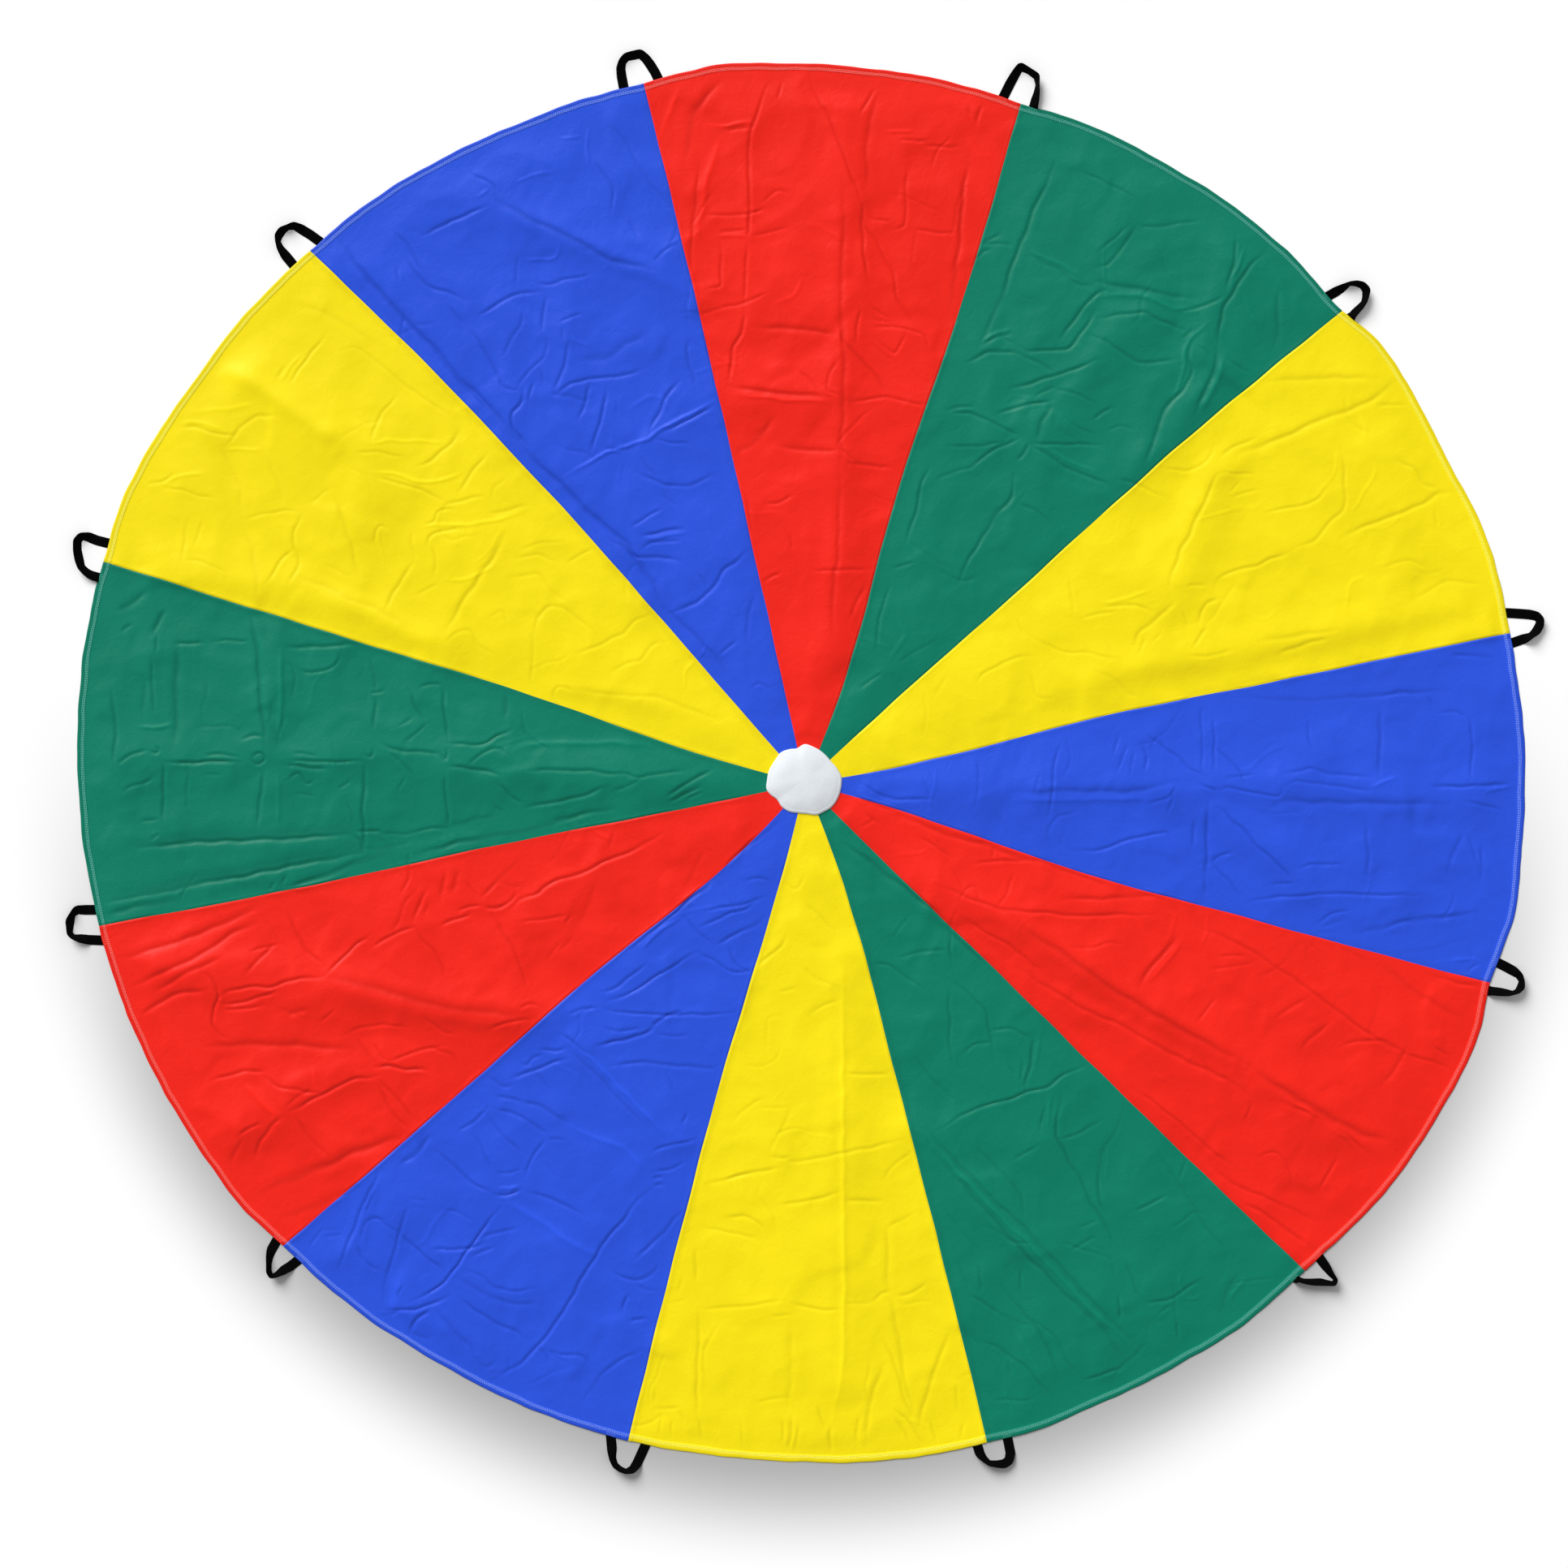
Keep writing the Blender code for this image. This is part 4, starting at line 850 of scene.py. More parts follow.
    (0.5, 0.8, ((660, 1322), (668, 1330), (679, 1343))),
    (0.7, 0.8, ((648, 1448), (654, 1430), (661, 1418), (672, 1404))),
    (0.3, 0.8, ((671, 1432), (689, 1454))),
    (0.5, 0.8, ((676, 1403), (695, 1404))),
    (1.2, 1.2, ((494, 1434), (510, 1424), (522, 1412), (529, 1400))),
    # Red gore at the left
    (1.0, 1.6, ((150, 1180), (193, 1169), (237, 1154), (281, 1135), (310, 1119), (328, 1113))),
    (1.0, 1.4, ((165, 1214), (202, 1199), (231, 1185), (257, 1170), (286, 1152), (315, 1137))),
    (0.7, 1.2, ((190, 1222), (231, 1199), (252, 1191), (275, 1178))),
    (0.9, 1.2, ((172, 1250), (187, 1243), (209, 1228), (231, 1221), (257, 1219))),
    (0.9, 0.8, ((249, 1198), (260, 1204), (268, 1218), (271, 1230), (265, 1240), (262, 1262), (271, 1275),
     (286, 1281))),
    (1.0, 0.9, ((271, 1229), (286, 1219), (301, 1216), (330, 1216), (345, 1212), (352, 1209), (374, 1205),
     (400, 1203))),
    (0.9, 0.8, ((403, 1200), (412, 1190), (422, 1181), (440, 1163), (455, 1153))),
    (0.8, 0.8, ((458, 1167), (477, 1156), (495, 1145), (512, 1142))),
    (0.9, 0.9, ((354, 1122), (366, 1152), (381, 1174), (400, 1191))),
    (0.9, 0.9, ((271, 1237), (284, 1238), (301, 1233), (330, 1226), (345, 1218))),
    (0.6, 0.8, ((275, 1243), (300, 1243), (325, 1238))),
    (0.8, 1.7, ((249, 1288), (308, 1286), (367, 1288), (403, 1291), (440, 1292))),
    (0.5, 0.8, ((425, 1275), (440, 1267), (469, 1262), (506, 1266))),
    (0.6, 0.9, ((440, 1280), (452, 1296), (462, 1312))),
    (0.6, 0.8, ((463, 1288), (470, 1299), (477, 1308))),
    (1.1, 0.9, ((462, 1315), (480, 1313), (499, 1317), (528, 1318))),
    (0.7, 0.8, ((480, 1308), (499, 1300), (524, 1293), (546, 1288))),
    (0.5, 0.9, ((532, 1290), (558, 1300), (566, 1315))),
    (0.8, 0.9, ((262, 1330), (282, 1324), (301, 1320), (328, 1320))),
    (0.7, 0.9, ((325, 1325), (338, 1335), (352, 1341), (374, 1344), (398, 1346))),
    (1.0, 0.9, ((359, 1368), (381, 1357), (403, 1346), (425, 1334), (444, 1326), (455, 1329), (466, 1325))),
    (0.8, 0.9, ((469, 1332), (482, 1345), (497, 1363), (510, 1382))),
    (0.8, 0.9, ((468, 1338), (478, 1360), (490, 1380), (504, 1391))),
    (-0.9, 1.6, ((303, 1336), (318, 1350), (330, 1362), (346, 1376))),
    (0.8, 1.0, ((350, 1375), (334, 1387), (322, 1405), (315, 1425))),
    (0.8, 0.8, ((323, 1383), (305, 1391), (295, 1399))),
    (0.6, 0.9, ((366, 1375), (376, 1395), (396, 1415), (403, 1423))),
    (0.5, 1.2, ((300, 1402), (290, 1420), (280, 1440))),
    (1.1, 2.0, ((506, 1398), (477, 1405), (440, 1417), (403, 1437), (367, 1449), (330, 1463), (312, 1475))),
    (0.8, 1.6, ((440, 1462), (410, 1476), (389, 1484), (348, 1500))),
    (1.0, 2.4, ((400, 1202), (440, 1211), (477, 1221), (513, 1233), (550, 1241), (605, 1247), (660, 1253))),
    (0.8, 0.9, ((602, 1268), (620, 1261), (638, 1257), (655, 1256))),
    (0.5, 0.9, ((524, 1255), (548, 1272), (562, 1274))),
    (0.7, 0.9, ((511, 1143), (524, 1160), (546, 1187), (553, 1205))),
    (0.7, 0.9, ((605, 1125), (618, 1143), (632, 1170), (645, 1196), (655, 1222))),
    (0.6, 0.8, ((640, 1243), (652, 1236), (665, 1240))),
    (0.5, 0.8, ((308, 1174), (326, 1167), (345, 1163))),
    (0.7, 0.9, ((304, 1200), (315, 1186), (328, 1173), (337, 1163))),
    (0.6, 1.4, ((355, 1250), (378, 1243))),
    (0.5, 0.8, ((396, 1258), (413, 1244))),
    (1.0, 0.9, ((641, 1055), (624, 1073), (606, 1092), (594, 1105))),
    (0.6, 0.8, ((573, 1087), (589, 1104))),
    (0.8, 0.8, ((565, 1122), (580, 1116), (594, 1115))),
    (0.9, 0.8, ((543, 1140), (556, 1133), (572, 1130), (580, 1126))),
    (1.0, 0.9, ((598, 1118), (611, 1121), (622, 1116))),
    (1.1, 0.9, ((630, 1119), (640, 1108), (650, 1105), (663, 1102), (670, 1093), (687, 1086), (716, 1077),
     (745, 1063), (771, 1052), (797, 1037), (815, 1027))),
    (0.7, 0.8, ((615, 1118), (628, 1110), (637, 1100))),
    (0.7, 0.8, ((618, 1087), (628, 1092), (647, 1091))),
    (0.6, 0.8, ((640, 1137), (658, 1134), (680, 1131), (702, 1129))),
    (0.5, 0.8, ((703, 1130), (697, 1139))),
    (0.8, 0.9, ((527, 1096), (518, 1111), (510, 1133))),
    (0.5, 0.8, ((530, 1113), (524, 1125))),
    (0.8, 1.2, ((548, 1076), (543, 1106))),
    (0.6, 1.4, ((565, 1073), (557, 1100))),
    (0.5, 1.2, ((866, 1050), (856, 1068), (847, 1092))),
    (0.3, 0.8, ((868, 1044), (880, 1052))),
    (0.3, 1.0, ((690, 1170), (705, 1155))),
    (0.3, 1.4, ((735, 1085), (725, 1115), (714, 1140))),
    (0.3, 0.9, ((690, 1160), (674, 1183))),
    (0.4, 0.9, ((757, 1025), (750, 1045))),
    # Green gore at the left
    (1.0, 1.2, ((203, 752), (197, 767), (189, 781))),
    (0.8, 0.8, ((193, 783), (193, 805))),
    (0.7, 0.8, ((187, 812), (189, 844), (191, 880))),
    (0.4, 1.2, ((179, 840), (176, 880))),
    (1.0, 1.8, ((220, 790), (217, 836), (219, 895), (213, 922))),
    (1.0, 0.9, ((202, 940), (202, 1012))),
    (0.8, 1.0, ((138, 850), (143, 893), (140, 945))),
    (1.1, 1.2, ((310, 760), (314, 782), (319, 818), (324, 873), (327, 918))),
    (0.9, 1.0, ((326, 950), (320, 983), (318, 1020))),
    (-0.7, 1.2, ((347, 800), (346, 850), (346, 908))),
    (-0.4, 1.0, ((344, 955), (343, 1020))),
    (0.8, 0.9, ((456, 810), (461, 838), (462, 852))),
    (0.8, 1.0, ((463, 860), (462, 898))),
    (0.8, 0.8, ((456, 854), (474, 852))),
    (1.0, 0.9, ((450, 940), (448, 998), (449, 1055))),
    (0.9, 0.9, ((545, 845), (548, 873), (552, 912))),
    (0.7, 0.8, ((517, 847), (530, 842), (545, 844))),
    (0.8, 0.9, ((547, 952), (550, 990), (555, 1022))),
    (0.8, 0.8, ((506, 852), (513, 873), (526, 891))),
    (0.5, 0.8, ((526, 891), (514, 905), (498, 915))),
    (0.5, 0.8, ((490, 895), (508, 884))),
    (1.0, 1.4, ((623, 853), (623, 884))),
    (0.9, 0.9, ((216, 793), (251, 792))),
    (0.7, 0.8, ((264, 790), (306, 790))),
    (0.9, 1.0, ((352, 797), (405, 796), (440, 794))),
    (0.7, 0.8, ((369, 826), (384, 830), (402, 826), (416, 819), (420, 806))),
    (0.5, 0.8, ((449, 820), (441, 838))),
    (-0.7, 1.0, ((172, 896), (200, 896), (213, 893))),
    (0.8, 0.9, ((298, 911), (313, 906), (325, 909))),
    (0.7, 0.8, ((252, 932), (275, 930), (296, 933))),
    (1.1, 0.9, ((204, 939), (237, 939), (296, 939))),
    (0.8, 0.9, ((146, 942), (163, 929), (182, 924))),
    (0.8, 0.8, ((186, 925), (194, 930), (200, 922), (192, 920))),
    (0.8, 0.8, ((310, 934), (318, 944), (330, 936), (322, 926), (310, 934))),
    (0.8, 0.8, ((452, 930), (458, 936), (460, 925))),
    (0.8, 0.8, ((544, 930), (550, 938), (551, 925))),
    (0.9, 0.8, ((352, 938), (394, 939), (449, 938))),
    (0.9, 0.9, ((350, 942), (380, 946), (404, 947))),
    (0.6, 0.8, ((362, 928), (392, 932))),
    (0.9, 0.9, ((470, 915), (482, 922), (500, 926), (520, 926), (545, 930))),
    (0.6, 0.8, ((478, 926), (497, 940), (513, 962))),
    (0.9, 0.8, ((551, 916), (570, 915), (584, 920), (603, 916), (613, 907), (632, 898))),
    (1.0, 0.9, ((552, 945), (574, 946), (600, 951), (620, 955))),
    (0.7, 0.8, ((577, 943), (590, 930), (603, 923), (616, 922), (628, 932))),
    (-0.6, 1.4, ((625, 926), (655, 917), (700, 915), (750, 915), (800, 918))),
    (0.9, 0.9, ((645, 950), (680, 948), (712, 949), (750, 952), (776, 955))),
    (0.7, 0.8, ((765, 953), (786, 960), (800, 955), (824, 952), (846, 950))),
    (0.9, 0.9, ((645, 995), (680, 990), (712, 981), (750, 970))),
    (0.5, 0.9, ((755, 975), (776, 968), (792, 960))),
    (1.0, 0.9, ((820, 982), (840, 968), (859, 958), (877, 948))),
    (0.9, 0.9, ((823, 988), (843, 978), (864, 970))),
    (0.7, 0.8, ((846, 984), (866, 976))),
    (0.8, 0.8, ((612, 966), (620, 970), (629, 981), (645, 991))),
    (0.7, 0.8, ((608, 993), (620, 1001))),
    (0.8, 0.8, ((557, 1017), (584, 1011), (613, 1004))),
    (0.8, 0.8, ((470, 1028), (504, 1026), (530, 1022), (555, 1020))),
    (0.9, 0.8, ((440, 1024), (470, 1025))),
    (1.1, 1.0, ((170, 1045), (237, 1038), (310, 1036), (383, 1032), (431, 1028))),
    (0.9, 0.8, ((436, 1030), (446, 1037), (447, 1052))),
    (1.1, 1.0, ((130, 1112), (182, 1102), (237, 1091), (310, 1078), (383, 1063), (442, 1052))),
    (0.6, 0.9, ((450, 1045), (480, 1043), (505, 1038))),
    (1.3, 1.2, ((347, 1095), (383, 1084), (420, 1072), (457, 1057), (479, 1050))),
    (1.3, 1.2, ((511, 1053), (548, 1043), (603, 1030), (648, 1021), (686, 1012), (725, 1002), (757, 997))),
    (0.6, 0.8, ((332, 1097), (338, 1087))),
    (0.6, 0.8, ((347, 1090), (352, 1079))),
    (1.0, 1.6, ((130, 1127), (170, 1117), (218, 1109))),
    (0.6, 0.8, ((175, 1012), (196, 1009))),
    (0.6, 0.8, ((153, 975), (164, 967), (182, 964), (190, 957))),
    (0.6, 0.8, ((187, 1035), (197, 1027))),
    (0.4, 0.8, ((232, 945), (231, 995))),
    (0.7, 0.8, ((355, 961), (370, 952), (378, 968), (388, 961))),
    (0.4, 0.8, ((365, 978), (388, 981))),
    (0.5, 0.8, ((418, 972), (432, 962))),
    (0.5, 0.8, ((427, 990), (437, 1002), (434, 1014))),
    (0.4, 0.8, ((500, 958), (490, 975))),
    (0.9, 1.4, ((145, 752), (165, 742), (180, 730))),
    (0.7, 0.9, ((150, 778), (163, 769))),
    (0.3, 0.8, ((250, 955), (275, 955))),
    (0.9, 3.2, ((170, 1040), (237, 1034), (310, 1032), (383, 1028), (431, 1024))),
    (0.8, 3.0, ((130, 1106), (182, 1097), (237, 1086), (310, 1073), (383, 1058), (442, 1047))),
    # Yellow gore at the upper left
    (0.8, 0.8, ((400, 415), (380, 440), (357, 473))),
    (0.6, 0.8, ((350, 453), (342, 467))),
    (-0.5, 0.8, ((347, 470), (360, 450), (372, 436))),
    (0.7, 0.8, ((423, 432), (440, 427), (452, 435), (473, 453), (500, 475), (533, 497), (563, 518))),
    (0.6, 0.8, ((490, 487), (472, 507), (462, 527), (457, 547))),
    (-0.5, 0.8, ((455, 547), (483, 543), (507, 543), (547, 545))),
    (0.5, 0.8, ((437, 558), (470, 557), (483, 563), (500, 563))),
    (-0.7, 0.8, ((460, 582), (483, 582), (507, 592), (527, 595), (550, 590), (570, 583))),
    (0.8, 0.8, ((463, 588), (483, 593), (500, 599), (520, 603), (533, 610), (547, 617))),
    (0.8, 0.9, ((567, 530), (557, 547), (543, 557), (530, 570), (513, 575))),
    (0.8, 0.9, ((600, 560), (587, 573), (577, 590), (565, 607))),
    (0.7, 0.8, ((597, 612), (567, 617), (548, 624))),
    (0.6, 0.7, ((560, 628), (547, 629), (538, 630), (537, 643), (520, 647))),
    (-0.6, 0.9, ((520, 647), (550, 645), (583, 647), (617, 640), (647, 630))),
    (0.6, 0.9, ((603, 632), (630, 628), (650, 623))),
    (0.8, 0.8, ((527, 673), (530, 660), (540, 653), (570, 652))),
    (0.5, 0.8, ((533, 673), (537, 690), (535, 710))),
    (0.9, 1.3, ((623, 657), (610, 683), (593, 707), (580, 727), (563, 753), (550, 777))),
    (-0.5, 1.0, ((550, 714), (570, 714), (590, 708), (610, 695))),
    (0.4, 0.8, ((513, 733), (523, 727), (540, 720))),
    (0.8, 1.0, ((510, 693), (497, 713), (483, 733), (475, 750))),
    (0.5, 1.0, ((507, 657), (508, 673), (513, 685))),
    (0.6, 0.8, ((462, 670), (463, 653), (467, 647), (480, 653))),
    (0.7, 1.2, ((413, 613), (423, 640), (433, 673), (443, 710))),
    (0.4, 0.8, ((407, 603), (383, 620))),
    (0.7, 0.9, ((372, 633), (363, 650), (361, 670), (367, 680), (368, 697), (353, 723))),
    (0.8, 0.8, ((362, 677), (347, 690), (330, 717))),
    (0.5, 0.8, ((300, 640), (330, 632), (350, 630), (370, 630))),
    (0.5, 1.4, ((362, 707), (397, 720), (430, 740), (460, 747), (510, 777))),
    (0.3, 0.8, ((397, 695), (430, 710))),
    (0.6, 1.0, ((278, 550), (297, 527), (317, 513), (343, 513))),
    (-0.5, 0.8, ((278, 554), (323, 554))),
    (0.7, 0.8, ((220, 527), (247, 527), (267, 536), (293, 536))),
    (-0.5, 0.8, ((223, 521), (250, 520), (277, 531))),
    (-0.4, 1.2, ((240, 507), (283, 503), (317, 497))),
    (0.7, 0.8, ((180, 597), (200, 595), (213, 585))),
    (-0.5, 0.8, ((205, 593), (220, 585), (250, 583))),
    (0.5, 0.8, ((200, 600), (230, 605), (250, 613), (267, 613))),
    (0.4, 0.9, ((233, 640), (227, 663), (225, 693))),
    (0.4, 0.9, ((250, 640), (240, 673))),
    (0.4, 1.4, ((273, 553), (283, 573), (296, 600), (297, 637))),
    (0.4, 1.4, ((297, 653), (313, 680), (317, 713), (317, 747))),
    (0.4, 0.8, ((227, 690), (247, 690), (283, 707))),
    (0.3, 0.8, ((330, 563), (340, 587), (347, 610))),
    (0.4, 1.6, ((357, 375), (397, 383), (443, 410), (483, 433))),
    (0.4, 0.8, ((640, 677), (667, 670), (697, 667))),
    (0.5, 0.8, ((637, 687), (663, 682), (687, 693))),
    (0.5, 0.8, ((700, 693), (730, 677))),
    (0.4, 0.9, ((627, 713), (667, 707), (680, 730), (700, 743))),
    (0.6, 0.9, ((657, 783), (662, 763), (677, 747), (693, 747), (713, 763), (733, 780))),
    (0.5, 0.9, ((657, 783), (655, 847))),
    (0.6, 0.9, ((710, 807), (740, 793), (770, 780), (780, 767), (803, 757))),
    (0.5, 0.9, ((753, 830), (770, 817), (790, 813), (807, 793), (820, 790))),
    (0.5, 1.2, ((700, 848), (747, 855), (780, 857), (817, 860), (847, 873), (890, 887))),
    (0.4, 0.8, ((547, 793), (567, 777), (580, 777), (587, 793), (613, 807))),
    (0.3, 0.8, ((607, 617), (608, 603), (623, 590))),
    # Blue gore at the upper left
    (1.1, 1.7, ((610, 247), (660, 273), (703, 293), (750, 320), (793, 330), (817, 337))),
    (0.9, 0.9, ((520, 290), (560, 273), (580, 263), (600, 254))),
    (0.5, 0.8, ((750, 153), (773, 177), (790, 210), (813, 240), (840, 264))),
    (-0.5, 0.8, ((727, 155), (722, 187), (727, 203))),
    (0.6, 0.8, ((730, 193), (747, 217), (757, 237), (753, 263))),
    (-0.4, 0.7, ((690, 170), (717, 167))),
    (-0.4, 0.8, ((633, 227), (653, 217), (683, 213))),
    (0.7, 0.8, ((580, 213), (607, 227), (615, 240))),
    (-0.5, 0.8, ((590, 243), (603, 233))),
    (0.4, 0.8, ((773, 270), (787, 293))),
    (0.5, 0.8, ((805, 323), (817, 310), (837, 300))),
    (0.9, 0.9, ((590, 390), (620, 370), (650, 360), (667, 359))),
    (0.6, 0.8, ((657, 347), (673, 352), (707, 343), (730, 337))),
    (-0.5, 0.9, ((690, 302), (687, 318), (673, 322), (643, 320))),
    (0.5, 0.8, ((638, 317), (637, 350))),
    (0.8, 0.9, ((673, 367), (670, 390), (668, 407))),
    (0.5, 0.8, ((668, 410), (675, 423), (670, 443), (653, 457), (637, 480))),
    (0.6, 0.7, ((690, 397), (717, 387))),
    (0.5, 0.7, ((693, 403), (695, 420))),
    (0.8, 0.9, ((703, 420), (698, 443), (690, 467), (683, 483))),
    (-0.4, 0.8, ((705, 418), (727, 428))),
    (0.8, 0.8, ((577, 403), (597, 432), (613, 460), (620, 477), (643, 482))),
    (0.6, 0.8, ((553, 377), (573, 400))),
    (1.0, 0.9, ((645, 480), (642, 497), (630, 510), (633, 527), (653, 553))),
    (0.7, 0.8, ((657, 473), (652, 493))),
    (0.5, 0.8, ((667, 457), (670, 473))),
    (0.9, 0.9, ((683, 487), (703, 473), (727, 467), (757, 465), (780, 460), (797, 453))),
    (0.6, 2.0, ((713, 443), (747, 443), (773, 423), (800, 410))),
    (0.8, 0.9, ((727, 473), (720, 497), (712, 517))),
    (1.0, 0.9, ((748, 480), (743, 510), (735, 533), (728, 557))),
    (0.3, 0.7, ((760, 490), (760, 510))),
    (1.0, 0.9, ((837, 470), (823, 487), (813, 507), (800, 533))),
    (0.7, 0.9, ((850, 420), (845, 427), (850, 450), (858, 477))),
    (-0.9, 0.9, ((883, 493), (847, 513), (817, 527), (800, 540), (773, 550), (747, 557), (727, 570),
      (697, 587))),
    (0.9, 0.8, ((820, 531), (847, 519), (877, 502))),
    (0.6, 0.8, ((807, 541), (827, 545), (850, 547))),
    (0.6, 0.8, ((747, 553), (773, 553))),
    (0.8, 0.9, ((783, 580), (800, 590), (817, 597), (850, 600), (873, 587), (897, 577))),
    (0.5, 0.8, ((790, 563), (797, 577), (810, 590))),
    (0.5, 0.8, ((817, 610), (833, 623))),
    (0.7, 0.8, ((777, 650), (797, 637), (817, 627))),
    (0.9, 0.8, ((790, 660), (813, 655), (843, 652))),
    (-0.6, 0.7, ((793, 665), (815, 662), (845, 657))),
    (0.7, 0.8, ((790, 677), (803, 669), (840, 666))),
    (0.9, 1.0, ((750, 663), (767, 673), (780, 685), (797, 687), (827, 687), (840, 692))),
    (0.9, 1.0, ((923, 677), (910, 690), (893, 703), (880, 723), (857, 743), (823, 757))),
    (0.6, 0.8, ((860, 707), (873, 723))),
    (0.4, 0.7, ((940, 717), (960, 707))),
    (0.7, 0.8, ((907, 790), (887, 807))),
    (0.5, 1.0, ((930, 730), (923, 757), (920, 790))),
    (0.5, 0.8, ((927, 847), (933, 840), (950, 850))),
    (1.3, 1.4, ((417, 293), (433, 317), (450, 340), (470, 363), (497, 393), (520, 413), (543, 437),
      (563, 463), (583, 483), (607, 507), (640, 543))),
    (1.3, 1.4, ((640, 543), (667, 577), (693, 597), (720, 627), (743, 647), (773, 670), (790, 697),
      (807, 723), (820, 750))),
    (0.9, 1.2, ((820, 750), (857, 783), (880, 807), (897, 830))),
    (0.6, 2.5, ((572, 475), (603, 503))),
    (0.7, 0.8, ((483, 283), (503, 303), (517, 327), (532, 343))),
    (0.9, 0.9, ((500, 318), (513, 337), (527, 353), (550, 360), (573, 370))),
    (0.5, 0.8, ((490, 330), (492, 347))),
)

# Each handle's strap from one leg to the other, with the width that it shows from above
HANDLES_PX = (
    ((768, 107, 12), (766, 95, 12), (765, 85, 11), (767, 77, 9), (772, 71, 9), (780, 69, 10),
     (789, 67, 10), (796, 73, 11), (802, 81, 12), (807, 89, 12), (811, 96, 12)),
    ((1236, 119, 12), (1244, 104, 12), (1251, 92, 11), (1257, 83, 9), (1267, 88, 6), (1277, 95, 7),
     (1278, 105, 4), (1277, 115, 7), (1275, 124, 10), (1274, 131, 11)),
    ((1635, 366, 11), (1645, 360, 12), (1655, 355, 9), (1663, 350, 4), (1671, 350, 6),
     (1678, 352, 7), (1683, 358, 9), (1682, 366, 7), (1680, 373, 6), (1675, 379, 8),
     (1670, 384, 9), (1665, 390, 9)),
    ((1857, 755, 12), (1870, 756, 12), (1883, 757, 12), (1892, 759, 11), (1897, 764, 8),
     (1896, 771, 10), (1892, 778, 10), (1886, 783, 7), (1878, 787, 12), (1864, 792, 12)),
    ((1845, 1186, 12), (1855, 1191, 12), (1864, 1196, 12), (1871, 1202, 8), (1874, 1209, 5),
     (1873, 1216, 8), (1869, 1221, 5), (1864, 1223, 4), (1857, 1223, 8), (1848, 1222, 10),
     (1834, 1221, 11)),
    ((1626, 1550, 12), (1633, 1560, 11), (1639, 1569, 7), (1645, 1576, 4), (1643, 1581, 4),
     (1634, 1580, 6), (1627, 1579, 8), (1616, 1579, 7), (1606, 1578, 5), (1597, 1577, 5)),
    ((1241, 1770, 12), (1243, 1780, 12), (1245, 1790, 12), (1243, 1799, 11), (1237, 1803, 10),
     (1228, 1803, 7), (1219, 1802, 5), (1213, 1797, 7), (1207, 1790, 12), (1204, 1782, 12)),
    ((796, 1780, 12), (790, 1792, 12), (785, 1803, 12), (779, 1810, 9), (771, 1812, 4),
     (764, 1809, 5), (758, 1804, 6), (755, 1796, 8), (754, 1785, 12), (752, 1770, 12)),
    ((366, 1555, 12), (358, 1560, 12), (349, 1565, 11), (341, 1570, 6), (335, 1572, 4),
     (332, 1566, 5), (332, 1557, 5), (333, 1548, 8), (335, 1539, 12), (338, 1530, 12)),
    ((124, 1160, 12), (110, 1158, 12), (99, 1156, 10), (91, 1154, 5), (87, 1150, 5),
     (87, 1143, 7), (87, 1135, 10), (90, 1127, 6), (96, 1121, 11), (105, 1121, 12),
     (115, 1122, 12)),
    ((122, 712, 12), (113, 709, 11), (107, 705, 9), (101, 699, 8), (98, 689, 10), (96, 678, 9),
     (96, 667, 9), (101, 661, 8), (110, 662, 12), (120, 666, 12), (132, 669, 12)),
    ((360, 325, 12), (352, 315, 12), (346, 306, 8), (343, 298, 5), (344, 291, 9), (348, 285, 9),
     (355, 281, 5), (363, 279, 9), (372, 283, 12), (382, 289, 12), (392, 295, 12)),
)

# The cap's folded edge, clockwise from the top
CAP_CENTRE_PX = (991, 960)
CAP_EDGE_PX = (
    (991, 917), (1002, 920), (1011, 925), (1019, 932), (1024, 938), (1033, 949), (1037, 958),
    (1037, 968), (1035, 977), (1030, 988), (1023, 996), (1016, 1000), (1007, 1004), (995, 1003),
    (984, 1002), (972, 1000), (963, 994), (957, 985), (949, 979), (945, 974), (945, 961),
    (947, 951), (954, 938), (958, 932), (960, 929), (973, 923), (982, 922),
)
CAP_DIMPLES_PX = (
    (968, 945, 0.9), (1012, 948, -0.7), (1003, 982, 0.8), (975, 978, -0.7), (992, 962, 0.5),
)


def place(pixel):
    """A pixel of the photograph on the floor."""
    return np.array([pixel[0] - HUB_PX[0], HUB_PX[1] - pixel[1]]) * METRES_PER_PX


def places(pixels):
    return np.array([place(pixel) for pixel in pixels])


def at(bearing, radius):
    """Places at bearings and distances from the origin."""
    return np.stack([np.sin(bearing) * radius, np.cos(bearing) * radius], axis=-1)


def bearing_of(spots):
    return np.arctan2(spots[..., 0], spots[..., 1])


def radius_of(spots):
    return np.hypot(spots[..., 0], spots[..., 1])


def turned_to(middle, bearing):
    """A bearing, turned to within half a turn of a middle one."""
    return middle + (bearing - middle + math.pi) % TURN - math.pi


def smooth(low, high, value):
    """0 below low, 1 above high and a smooth rise between them."""
    share = np.clip((value - low) / (high - low), 0, 1)
    return share * share * (3 - 2 * share)


def hump(distance, width):
    """1 at no distance, with a smooth fall on both sides."""
    return np.exp(-((distance / width) ** 2))


